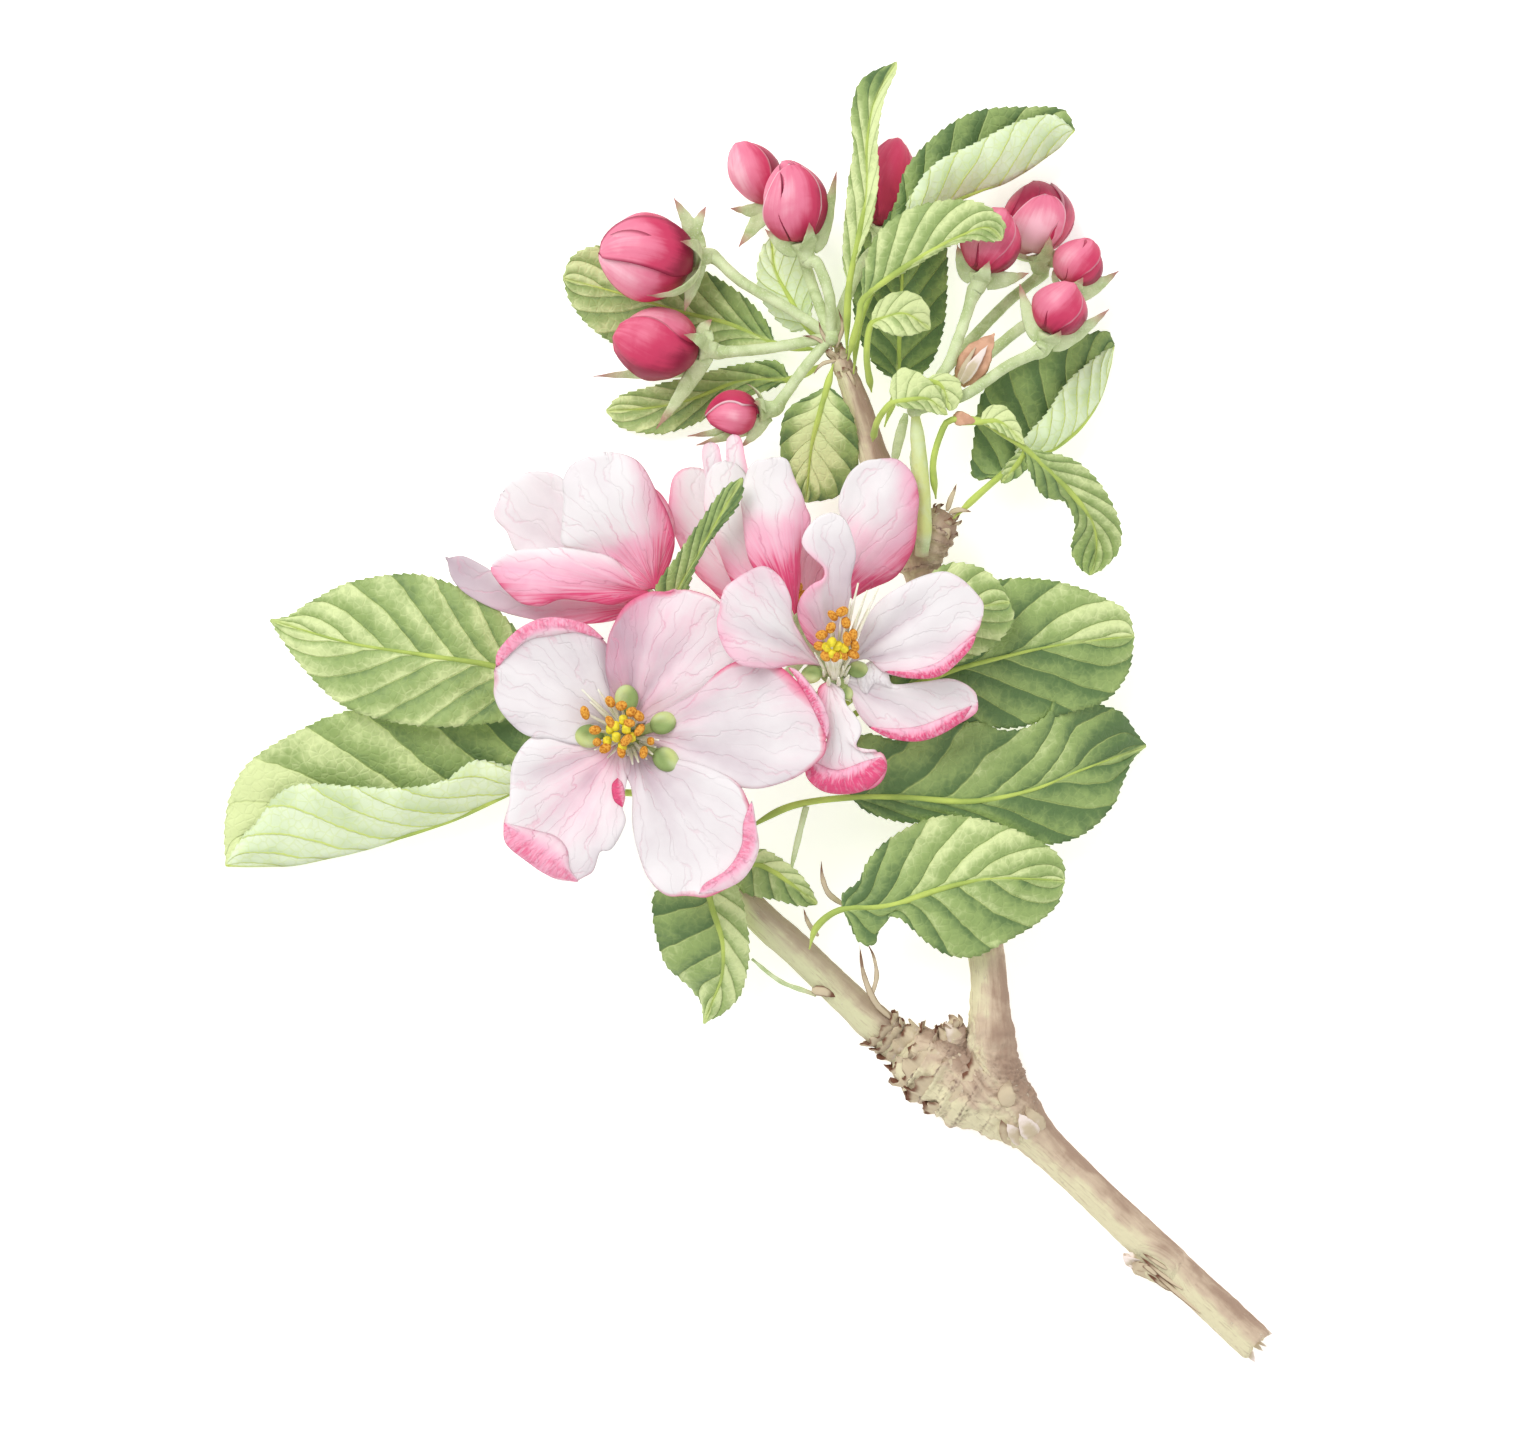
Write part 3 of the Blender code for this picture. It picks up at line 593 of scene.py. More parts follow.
@dataclass(frozen=True)
class ScaleFinish:
    """Papery brown bud scales, stipules and hairs on the wood."""

    tan: Colour = paint("#CFBFA2")
    umber: Colour = paint("#76503F")
    blanched: Colour = paint("#F0E2DA")
    russet: Colour = paint("#DEAF92")

    def face(self) -> Material:
        """Makes dry, streaked brown tissue, darker where the points say so."""
        shade = Shade("dry_scale", 0.8, 0.15)
        streak = shade.noise(700, 4, distortion=0.3)
        tone = shade.lane("tint_and_painted_light") + (streak - 0.5) * 0.8
        base = shade.mix(shade.step(tone, 0.15, 0.85), self.tan, self.umber)
        base = shade.mix(shade.step(tone, 0.0, -0.5), base, self.blanched)
        base = shade.mix(shade.step(tone, -0.9, -1.5), base, shade.mix(
            shade.step(streak, 0.4, 0.62), self.russet, paint("#CB9C80")))
        shade.bump(streak, 0.08, 0.7)
        return shade.colour(base)


@dataclass(frozen=True)
class StamenFinish:
    """Filaments, anthers and stigmas."""

    def filament(self) -> Material:
        """Makes the cream filament."""
        shade = Shade("filament", 0.5, 0.3)
        base = shade.mix(shade.step(shade.noise(500, 2), 0.3, 0.7), paint("#FBF8EC"),
                         paint("#E9E8CC"))
        return shade.colour(base)

    def anther(self) -> Material:
        """Makes the mealy orange anther."""
        shade = Shade("anther", 0.75, 0.15)
        meal = shade.noise(3200, 3)
        base = shade.mix(shade.step(meal, 0.35, 0.7), paint("#E9AC48"), paint("#B8691F"))
        shade.bump(meal, 0.08, 0.9)
        return shade.colour(base)

    def stigma(self) -> Material:
        """Makes the bright yellow style and stigma."""
        shade = Shade("stigma", 0.5, 0.3)
        base = shade.mix(shade.step(shade.noise(1800, 3), 0.35, 0.7), paint("#F2E03A"),
                         paint("#CFC02C"))
        shade.bump(shade.noise(2600, 2), 0.06, 0.8)
        return shade.colour(base)


class Palette:
    """Every finish of the branch, made once."""

    def __init__(self) -> None:
        """Builds the materials."""
        leaf, petal, stamen = LeafFinish(), PetalFinish(), StamenFinish()
        self.leaf_upper, self.leaf_under, self.leaf_stalk = leaf.upper(), leaf.lower(), leaf.stalk()
        self.petal_inner, self.petal_back = petal.inner(), petal.outer()
        self.bud = BudFinish().face()
        self.green = GreenFinish().face()
        self.bark = BarkFinish().face()
        self.scale = ScaleFinish().face()
        self.filament, self.anther = stamen.filament(), stamen.anther()
        self.stigma = stamen.stigma()


# ------------------------------------------------------------------ shaping tools


class Facing(Enum):
    """Which face of a petal or bract looks up from the table."""

    INNER = "inner"
    BACK = "back"


@dataclass(frozen=True)
class Lanes:
    """The numbers and maps that a kind of piece carries for its finish."""

    numbers: tuple[str, ...]
    maps: tuple[str, ...]

    def start(self) -> Mesh:
        """Starts an empty mesh with every lane in place."""
        builder = bmesh.new()
        for name in self.numbers:
            builder.verts.layers.float.new(name)
        for name in self.maps:
            builder.loops.layers.uv.new(name)
        return builder


LEAF_LANES = Lanes(("tone",), ("panel", "size"))
# the first number of these two is each piece's own tint, and also painted highlight and shade on
# buds and painted shade on lobes and scale ledges
PETAL_LANES = Lanes(("tint_and_painted_light", "painted_shade", "rim"), ("vein", "size"))
GREEN_LANES = Lanes(("tint_and_painted_light",), ())
WOOD_LANES = Lanes(("run", "round_a", "round_b", "young", "bark_shade_and_browning", "scar_and_crease_shade", "torn"), ())


class Workbench:
    """Turns finished meshes into named pieces that ride on the branch."""

    def __init__(self, palette: Palette) -> None:
        """Keeps the finishes at hand."""
        self.palette = palette
        self.made = 0
        self.low, self.high = (Vector(corner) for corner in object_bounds())

    def keep_inside(self, builder: Mesh, spare: float) -> None:
        """Presses the points that stand past the solids' box back to it, less a spare."""
        for vertex in builder.verts:
            for axis in range(3):
                vertex.co[axis] = min(max(vertex.co[axis], self.low[axis] + spare),
                                      self.high[axis] - spare)

    def piece(self, name: str, builder: Mesh, materials: Sequence[
            Material], nodes: Sequence[str] = (),
            thickness: float = 0.0) -> bpy.types.Object:
        """Makes a piece from a finished mesh.

        Args:
            name: the piece's name.
            builder: its mesh, which is freed.
            materials: its finishes in order of index.
            nodes: the solids that it stands for.
            thickness: the wall in mm that a sheet is given.

        Returns:
            The new object.
        """
        self.keep_inside(builder, thickness / 2 * MM)
        mesh = bpy.data.meshes.new(name)
        builder.to_mesh(mesh)
        builder.free()
        for material in materials:
            mesh.materials.append(material)
        mesh.shade_smooth()
        obj = bpy.data.objects.new(name, mesh)
        bpy.context.scene.collection.objects.link(obj)
        if thickness:
            shell = obj.modifiers.new("thickness", "SOLIDIFY")
            shell.thickness = thickness * MM
            shell.offset = 0.0
            shell.material_offset = len(materials) - 1
        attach(obj, BODY)
        if nodes:
            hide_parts(*nodes)
        self.made += 1
        log.info("%s: %d faces", name, len(mesh.polygons))
        return obj


@dataclass
class Sheet:
    """A thin sheet between two margins that meet at its foot and its tip.

    The margins are seen from above, walking from the foot to the tip. Each side rises from the
    middle line by the heights in its rise, spread evenly from foot to tip.
    """

    middle: Sequence[Place]
    left: Sequence[Spot]
    right: Sequence[Spot]
    rise_left: Sequence[float] = (0.0,)
    rise_right: Sequence[float] = (0.0,)
    bow_left: float = 0.0            # mm that a half stands proud between middle and margin
    bow_right: float = 0.0
    cup: float = 1.0                 # 1 for straight halves, 2 for halves that curve up late
    curl: float = 0.0                # mm that the margin itself turns down
    teeth: float = 0.0               # spacing of the margin's teeth in mm
    tooth_depth: float = 0.0

    def rows(self, base: int) -> tuple[int, int]:
        """Gives the number of rows and of teeth.

        Args:
            base: rows of a sheet that has no teeth.

        Returns:
            The rows from foot to tip and the teeth on each margin.
        """
        if not self.teeth:
            return base, 0
        mean = (self.margin(self.left).length + self.margin(self.right).length) / 2
        teeth = max(4, round(mean / (self.teeth * MM)))
        return teeth * 4, teeth

    def margin(self, points: Sequence[Spot]) -> Route:
        """Draws a margin on the plan from the foot round to the tip."""
        ends = [plan(u, v) for u, v, _ in (self.middle[0], self.middle[-1])]
        return Route([ends[0], *(plan(u, v) for u, v in points), ends[1]])

    def build(self, builder: Mesh, across: int, base_rows: int = 40) -> "Laid":
        """Adds the sheet to a mesh.

        Args:
            builder: the mesh to add to.
            across: cells from margin to margin, an even number.
            base_rows: cells from foot to tip where there are no teeth.

        Returns:
            The sheet's vertices with their places on it.
        """
        rows, teeth = self.rows(base_rows)
        middle = Route([plan(*point) for point in self.middle])
        rails = (self.margin(self.left), self.margin(self.right))
        made = bmesh.ops.create_grid(builder, x_segments=across, y_segments=rows, size=1.0)
        laid = Laid(builder, {v: (v.co.x, (v.co.y + 1) / 2) for v in made["verts"]})
        line = [self.row(middle, rails, i / rows, teeth) for i in range(rows + 1)]
        for vertex, (x, t) in laid.places.items():
            spine, sides = line[round(t * rows)]
            share = abs(x)
            rail, outward, rise, bow, tooth = sides[1 if x > 0 else 0]
            place = spine.lerp(rail, share)
            height = (rise * share ** self.cup + bow * 4 * share * (1 - share)
                      - self.curl * share ** 9)
            place.z = spine.z + height * MM
            vertex.co = place + outward * (tooth * share ** 8)
        return laid

    def row(self, middle: Route, rails: tuple[Route, Route], t: float, teeth: int) -> tuple[
            Vector, list[tuple[Vector, Vector, float, float, float]]]:
        """Works out one row of the sheet.

        Args:
            middle: the line down its middle.
            rails: its left and right margins.
            t: the place of the row, from foot (0) to tip (1).
            teeth: how many teeth each margin has.

        Returns:
            The middle point, and each side's margin, way out, rise, bow and tooth.
        """
        spine = middle.at(t)
        sides = []
        for rail, rise, bow, turn in ((rails[0], self.rise_left, self.bow_left, 1),
                                      (rails[1], self.rise_right, self.bow_right, -1)):
            heading = rail.heading(t)
            outward = Vector((-heading.y * turn, heading.x * turn, 0.0))
            tooth = 0.0
            if teeth:
                step = (t * teeth) % 1.0
                tooth = self.tooth_depth * MM * (step - 0.35) * between(0, .06, t)
                outward = (outward + heading * 0.5).normalized()
            ends = between(0.0, 0.08, t) * between(1.0, 0.93, t)
            sides.append((rail.at(t), outward, profile(rise, t), bow * ends, tooth))
        return spine, sides


class Laid:
    """A sheet that has been laid in a mesh: its vertices and their places on it."""

    def __init__(self, builder: Mesh, places: dict[Point, Spot]) -> None:
        """Keeps the vertices with their place across (-1 to 1) and along (0 to 1)."""
        self.builder, self.places = builder, places

    def relief(self, height: Callable[[float, float, Vector], float]) -> None:
        """Moves every vertex along its normal by a height in mm."""
        self.builder.normal_update()
        moved = {v: v.normal * (height(x, t, v.co) * MM) for v, (x, t) in self.places.items()}
        for vertex, step in moved.items():
            vertex.co += step

    def number(self, name: str, value: Callable[[float, float], float]) -> None:
        """Stores a number on every vertex."""
        lane = self.builder.verts.layers.float[name]
        for vertex, (x, t) in self.places.items():
            vertex[lane] = value(x, t)

    def map(self, name: str, value: Callable[[float, float], Spot]) -> None:
        """Stores a pair of numbers on every corner."""
        lane = self.builder.loops.layers.uv[name]
        pairs = {vertex: value(x, t) for vertex, (x, t) in self.places.items()}
        for face in self.faces():
            for loop in face.loops:
                loop[lane].uv = pairs[loop.vert]

    def faces(self) -> list[Face]:
        """Gives the sheet's faces."""
        return faces_of(self.places)

    def edge_places(self) -> "Margin":
        """Measures from the sheet's margins."""
        return Margin([(v.co.copy(), t / 2 if x < 0 else 1 - t / 2)
                       for v, (x, t) in self.places.items() if abs(x) > ON_BORDER])

    def close(self) -> None:
        """Merges the points that meet at the foot and the tip."""
        ends = [v for v, (_, t) in self.places.items() if t < AT_END or t > 1 - AT_END]
        bmesh.ops.remove_doubles(self.builder, verts=ends, dist=WELD)
        self.places = {v: place for v, place in self.places.items() if v.is_valid}


class Margin:
    """Distances from a sheet's margin, and places round it from foot (0) by tip (0.5)."""

    def __init__(self, samples: list[tuple[Vector, float]]) -> None:
        """Sorts the samples for looking up."""
        self.tree = kdtree.KDTree(len(samples))
        self.rounds = [place for _, place in samples]
        for i, (point, _) in enumerate(samples):
            self.tree.insert(point, i)
        self.tree.balance()

    def nearest(self, point: Vector) -> Spot:
        """Gives the distance in mm to the margin and the place round it."""
        _, i, distance = self.tree.find(point)
        return distance / MM, self.rounds[i]


@dataclass
class Strand:
    """A closed tapering strand along a line, round or flat."""

    places: Sequence[Vector]
    radii: object                    # mm from foot to tip: evenly spread values or a function
    flatness: float = 1.0            # depth as a share of its width
    facing: Vector = field(default_factory=lambda: Vector((0, 0, 1)))
    sides: int = 10
    rings: int = 24

    def frames(self) -> list[tuple[Vector, Vector, Vector]]:
        """Works out each ring's centre and its two directions."""
        route = Route(self.places)
        rings = []
        for i in range(self.rings + 1):
            t = 0.5 - 0.5 * math.cos(math.pi * i / self.rings)
            t = 0.35 * t + 0.65 * i / self.rings
            heading = route.heading(t)
            if self.flatness < 1.0 or not rings:
                guide = self.facing
            else:
                guide = rings[-1][2]
            normal = guide - heading * guide.dot(heading)
            if normal.length < 1e-4:
                normal = heading.orthogonal()
            normal.normalize()
            rings.append((route.at(t), normal.cross(heading), normal, t))
        return rings

    def build(self, builder: Mesh, material: int = 0, **numbers: object) -> list[Point]:
        """Adds the strand to a mesh.

        Args:
            builder: the mesh to add to.
            material: the index of its finish.
            numbers: values for the mesh's number lanes, plain or as functions of t and of the
                place round the strand.

        Returns:
            The strand's vertices.
        """
        frames = self.frames()
        made = bmesh.ops.create_grid(builder, x_segments=self.sides, y_segments=self.rings,
                                     size=1.0)
        lanes = {builder.verts.layers.float[name]: value for name, value in numbers.items()}
        for vertex in made["verts"]:
            angle = math.pi * (vertex.co.x + 1)
            centre, side, normal, t = frames[round((vertex.co.y + 1) / 2 * self.rings)]
            radius = (self.radii(t) if callable(self.radii) else profile(self.radii, t)) * MM
            vertex.co = (centre + side * radius * math.cos(angle)
                         + normal * radius * self.flatness * math.sin(angle))
            for lane, value in lanes.items():
                vertex[lane] = value(t, angle) if callable(value) else value
        bmesh.ops.remove_doubles(builder, verts=made["verts"], dist=SEAM_WELD)
        kept = [v for v in made["verts"] if v.is_valid]
        open_edges = dict.fromkeys(e for v in kept for e in v.link_edges if e.is_boundary)
        bmesh.ops.holes_fill(builder, edges=list(open_edges), sides=0)
        faces = faces_of(kept)
        for face in faces:
            face.material_index = material
            face.smooth = True
        bmesh.ops.recalc_face_normals(builder, faces=faces)
        return kept


@dataclass
class Grain:
    """A small rounded body, such as an anther, with a groove along it."""

    centre: Vector
    axis: Vector
    half_length: float
    half_width: float
    groove: float = 0.0
    fineness: int = 2
    flatness: float = 1.0            # height as a share of its width
    dish: float = 0.0                # share of its height by which its top is hollowed

    def build(self, builder: Mesh, material: int = 0, **numbers: Callable[
            [Vector], float]) -> None:
        """Adds the body to a mesh with the given finish and numbers read from the unit ball."""
        made = bmesh.ops.create_icosphere(builder, subdivisions=self.fineness, radius=1.0)
        turn = self.axis.normalized().to_track_quat("Z", "Y")
        for vertex in made["verts"]:
            place = vertex.co.copy()
            for lane, value in numbers.items():
                vertex[builder.verts.layers.float[lane]] = value(place)
            if self.dish and place.y > 0:
                place.y *= 1.0 - self.dish * math.exp(-(place.x ** 2 + place.z ** 2) / 0.3)
            cut = 1.0 - self.groove * math.exp(-(place.x / 0.32) ** 2)
            place = Vector((place.x * self.half_width,
                            place.y * self.half_width * cut * self.flatness,
                            place.z * self.half_length))
            vertex.co = self.centre + (turn @ place) * MM
        for face in faces_of(made["verts"]):
            face.material_index = material
            face.smooth = True


# ------------------------------------------------------------------ leaves


@dataclass
class Leaf:
    """A toothed leaf on its petiole.

    A tone runs from 0, pale, to 1, dark, from foot to tip of each half: the leaf's own green, with
    painted shade where it lies under others.
    """

    node: str
    petiole: Sequence[Place]         # ends where the blade starts
    sheet: Sheet
    tone_left: Sequence[float]
    tone_right: Sequence[float]
    panels: float = 7.0              # side veins to each half
    quilt: float = 0.4               # mm that a panel stands between its veins
    slant: float = 0.30              # share of the length by which a side vein runs forward
    petiole_radius: float = 0.5
    wave: float = 0.35               # mm of slow unevenness
    name: str = ""                   # given where the leaf stands for no solid
    under_up: bool = False           # True where the pale underside faces up
    border: float = 0.0              # tone that its border has besides

    def build(self, bench: Workbench) -> None:
        """Makes the blade, and the petiole with the midrib that it runs into."""
        palette = bench.palette
        nodes = (self.node,) if self.node else ()
        title = self.node or self.name
        builder = LEAF_LANES.start()
        if not self.sheet.teeth:
            young = self.panels <= 6 and self.quilt <= 0.2
            self.sheet.teeth, self.sheet.tooth_depth = (1.7, 0.24) if young else (1.4, 0.4)
        laid = self.sheet.build(builder, 26)
        seed = float(sum(map(ord, title)) % 97)
        laid.relief(lambda x, t, co: self.surface(x, t, co, seed))
        laid.number("tone", self.tone)
        laid.map("panel", lambda x, t: (self.phase(x, t) + 20.0, abs(x)))
        spine = Route([plan(*p) for p in self.sheet.middle])
        laid_at = {place: v.co.copy() for v, place in laid.places.items()}
        laid.map("size", lambda x, t: ((laid_at[(x, t)] - spine.at(t)).length / MM, t))
        laid.close()
        faces = (palette.leaf_upper, palette.leaf_under)
        bench.piece(f"{title}_blade", builder, faces[::-1] if self.under_up else faces,
                    nodes, 0.3)
        self.stalk(bench, title, nodes)

    def phase(self, x: float, t: float) -> float:
        """Numbers the panels between the side veins: a vein lies at each whole number."""
        share = abs(x)
        offset = 0.0 if x < 0 else 0.42
        return self.panels * (t - self.slant * share * (1.25 - 0.25 * share)) + offset

    def surface(self, x: float, t: float, co: Vector, seed: float) -> float:
        """Gives the relief in mm: panels puffed between the veins, over slow waves."""
        share = abs(x)
        puff = abs(math.sin(math.pi * self.phase(x, t))) ** 0.75
        ends = between(0.0, 0.12, t) * between(1.0, 0.9, t)
        body = between(0.02, 0.22, share) * between(1.02, 0.72, share)
        wave = noise.noise(co * 170 + Vector((seed, 0, 0))) * self.wave * ends
        ruffle = noise.noise(co * 420 + Vector((0, seed, 0))) * 0.35 * share ** 3 * ends
        groove = 0.28 * between(0.07, 0.0, share) * ends
        return self.quilt * (puff - 0.5) * body * ends + wave + ruffle - groove

    def tone(self, x: float, t: float) -> float:
        """Gives the tone at a place on the blade."""
        shade = profile(self.tone_left if x < 0 else self.tone_right, t)
        return shade + self.border * between(0.35, 0.9, max(abs(x), 1.9 * t - 0.95))

    def stalk(self, bench: Workbench, title: str, nodes: Sequence[str]) -> None:
        """Makes the petiole, which runs on below the blade as its midrib."""
        builder = LEAF_LANES.start()
        sheet = self.sheet
        under = [(u, v, z - 0.12) for u, v, z in sheet.middle]
        route = [plan(*p) for p in (*self.petiole[:-1], *under)]
        r = self.petiole_radius
        spread = len(self.petiole) - 1
        radii = ([r * 0.25, r * 1.15, *([r] * (spread * 2)), r * 0.8, r * 0.55, r * 0.4, r * 0.3,
                  0.05])
        strand = Strand(route, radii, sides=8, rings=60)
        strand.build(builder, 0)
        bench.piece(f"{title}_petiole", builder, (bench.palette.leaf_stalk,), nodes)


# ------------------------------------------------------------------ petals


Wash = tuple[Sequence[float], Sequence[float], Sequence[float]]


@dataclass
class Fold:
    """A lobe of a petal's margin that is rolled over onto its face."""

    sheet: Sheet                     # its heights are measured from the petal
    tint_and_painted_light: float = 0.85
    puff: float = 0.8                # mm that it stands off the petal


@dataclass
class Petal:
    """A petal and the colour that lies on it.

    A wash gives its strength along the left margin, the middle and the right margin, each from
    foot to tip. The rim gives the width in mm of the coloured border from the foot, up the left
    margin, round the tip and down the right margin.
    """

    node: str
    sheet: Sheet
    tint_and_painted_light: Wash = ((0.2, 0.3, 0.4), (0.1, 0.0, 0.1), (0.2, 0.3, 0.4))
    # painted shade: a mauve-grey wash, its strength given like the pink one
    painted_shade: Wash = ((0.0,), (0.0,), (0.0,))
    rim: Sequence[float] = (0.0, 0.5, 0.8, 0.5, 0.0)
    facing: Facing = Facing.INNER
    ruffle: float = 0.55             # mm of waves near the margin
    fold: float = 0.55               # mm of folds along it
    folds: Sequence[Fold] = ()
    name: str = ""                   # given where the petal stands for no solid

    def build(self, bench: Workbench) -> None:
        """Makes the petal with its rolled lobes."""
        builder = PETAL_LANES.start()
        title = self.node or self.name
        seed = float(sum(map(ord, title)) % 89)
        laid = self.sheet.build(builder, 28, 48)
        laid.relief(lambda x, t, co: self.surface(x, t, co, seed))
        self.dress(laid, seed)
        faces = kdtree.KDTree(len(laid.places))
        for i, vertex in enumerate(laid.places):
            faces.insert((vertex.co.x, vertex.co.y, 0.0), i)
        faces.balance()
        heights = [vertex.co.z for vertex in laid.places]
        laid.close()
        for fold in self.folds:
            self.roll(builder, fold, faces, heights, seed)
        palette = bench.palette
        finishes = (palette.petal_inner, palette.petal_back)
        if self.facing is Facing.BACK:
            finishes = (palette.petal_back, palette.petal_inner)
        bench.piece(f"{title}_blade", builder, finishes,
                    (self.node,) if self.node else (), 0.22)

    def surface(self, x: float, t: float, co: Vector, seed: float) -> float:
        """Gives the relief in mm: folds that fan out from the claw and a waved margin."""
        share = abs(x)
        body = between(0.03, 0.3, t)
        folds = self.pleats(co, seed) * self.fold
        fan, reach = self.fan(co)
        fine = noise.noise(Vector((fan * 11.0, reach * 2.2, seed))) * 0.07
        edge = max(share, between(0.6, 1.0, t)) ** 3
        waves = noise.noise(co * 260 + Vector((seed, seed, 0))) * self.ruffle * edge
        slow = noise.noise(co * 90 + Vector((0, seed, 0))) * 0.5
        return (folds + fine + waves + slow) * body

    def fan(self, co: Vector) -> Spot:
        """Gives a place as its turn from the petal's middle and its reach from the claw."""
        foot, tip = plan(*self.sheet.middle[0]), plan(*self.sheet.middle[-1])
        out, way = (co - foot).xy, (tip - foot).xy
        if out.length < 1e-5:
            return 0.0, 0.0
        return out.angle_signed(way) / 0.75, out.length / way.length

    def pleats(self, co: Vector, seed: float) -> float:
        """Gives the lengthwise pleats, from -1 in a valley to 1 on a crest."""
        turn, reach = self.fan(co)
        return noise.noise(Vector((turn * 2.7 + seed, reach * 1.3, seed))) * 1.5

    def dress(self, laid: Laid, seed: float) -> None:
        """Stores the washes, the border and the vein map."""
        margin = laid.edge_places()
        near = {place: margin.nearest(v.co) for v, place in laid.places.items()}
        laid.number("tint_and_painted_light", lambda x, t: self.wash(self.tint_and_painted_light, x, t))
        at = {place: v.co.copy() for v, place in laid.places.items()}
        # painted shade, deeper in the pleats' valleys near the claw
        laid.number("painted_shade", lambda x, t: self.wash(self.painted_shade, x, t) + 0.3 * max(
            -self.pleats(at[(x, t)], seed), 0.0) * between(0.0, 0.3, t))
        laid.number("rim", lambda x, t: profile(self.rim, near[(x, t)][1]))
        laid.map("size", lambda x, t: (near[(x, t)][0], t))
        laid.map("vein", lambda x, t: self.fan(at[(x, t)]))

    def roll(self, builder: Mesh, fold: Fold, faces: kdtree.KDTree,
             heights: Sequence[float], seed: float) -> None:
        """Adds a rolled lobe that follows the petal's face.

        Args:
            builder: the petal's mesh.
            fold: the lobe.
            faces: the petal's points by their places on the plan.
            heights: the world heights of those points.
            seed: where in the noise its ripples start.
        """
        laid = fold.sheet.build(builder, 12, 26)
        for vertex, (x, t) in laid.places.items():
            found = faces.find_n((vertex.co.x, vertex.co.y, 0.0), 3)
            ground = sum(heights[i] for _, i, _ in found) / len(found)
            swell = (1 - x * x) ** 0.5 * math.sin(math.pi * min(max(t, 0.0), 1.0)) ** 0.6
            ripple = noise.noise(Vector((x * 2 + seed, t * 6, seed))) * 0.18
            vertex.co.z = ground + (0.12 + fold.puff * swell + ripple * swell) * MM
        margin = laid.edge_places()
        near = {place: margin.nearest(v.co) for v, place in laid.places.items()}
        laid.number("tint_and_painted_light", lambda x, t: fold.tint_and_painted_light - 0.35 * between(0.2, -0.7, x))
        laid.number("rim", lambda x, t: 0.25)
        laid.map("size", lambda x, t: (near[(x, t)][0], t))
        laid.map("vein", lambda x, t: (t * 2 - 1, x * 0.4 + 0.6))
        for face in laid.faces():
            face.material_index = 1 if self.facing is Facing.INNER else 0
        laid.close()

    @staticmethod
    def wash(values: Wash, x: float, t: float) -> float:
        """Reads a wash at a place on the petal."""
        middle = profile(values[1], t)
        side = profile(values[0] if x < 0 else values[2], t)
        return middle + (side - middle) * abs(x) ** 1.6


# ------------------------------------------------------------------ stalks, sepals and stamens


FURL_WALL = 0.45                 # mm of a furled petal
CALYX_DEPTH = 4.2                # mm from a pedicel's end to the rim of its cup
PEDICEL_RADIUS = 0.84


@dataclass
class Cup:
    """A pedicel that swells into a calyx cup."""

    route: Sequence[Place]           # from the knob to the foot of the cup
    seat: Vector                     # middle of the cup's rim
    axis: Vector
    rim: float = 2.1                 # mm
    waist: float = 1.35

    def build(self, builder: Mesh) -> None:
        """Adds the pedicel and the cup as one strand."""
        depth = CALYX_DEPTH * MM
        points = [plan(*p) for p in self.route[:-1]]
        foot = self.seat - self.axis * depth
        points += [foot.lerp(plan(*self.route[-1]), 0.5), self.seat - self.axis * depth * 0.5,
                   self.seat]
        total = Route(points).length

        def radius(t: float) -> float:
            """Gives the radius in mm at a share of the strand's length."""
            left = (1 - t) * total / depth
            if left > 1:
                return PEDICEL_RADIUS * (1 + 0.12 * between(1.5, 1.0, left))
            urn = PEDICEL_RADIUS + (self.waist - PEDICEL_RADIUS) * between(1.3, 0.5, left)
            cup = urn + (self.rim - self.waist) * between(0.5, 0.05, left)
            return cup * between(0.0, 0.02, left) if left < 0.02 else cup

        strand = Strand(points, radius, sides=14, rings=70)
        placed = strand.build(builder, 0, tint_and_painted_light=lambda t, a: 0.1 + 0.12 * math.sin(9 * t))
        builder.normal_update()
        for vertex in placed:
            vertex.co += vertex.normal * noise.noise(vertex.co * 900) * 0.07 * MM


@dataclass
class Bract:
    """A flat pointed body, such as a sepal, a stipule or a bud scale."""

    places: Sequence[Vector]
    half_width: float                # mm at its widest
    facing: Vector
    thickness: float = 0.35          # mm
    outline: Sequence[float] = (0.55, 0.95, 1.0, 0.8, 0.5, 0.06)
    redness: float = 0.6             # colour that its tip reaches
    edged: bool = False              # True where its sides have that colour too

    def build(self, builder: Mesh, material: int = 0) -> None:
        """Adds the bract to a mesh with the given finish."""
        strand = Strand(self.places, [v * self.half_width for v in self.outline],
                        self.thickness / 2 / self.half_width, self.facing, 12, 18)
        even = self.redness < -1.0
        side = 0.9 if self.edged else 0.0
        made = strand.build(builder, material, tint_and_painted_light=lambda t, a: self.redness * (
            1.0 if even else max(between(0.4, 1.0, t), side * abs(math.cos(a)) ** 3)))
        builder.normal_update()
        for vertex in made:
            vertex.co += vertex.normal * noise.noise(vertex.co * 700) * 0.09 * MM


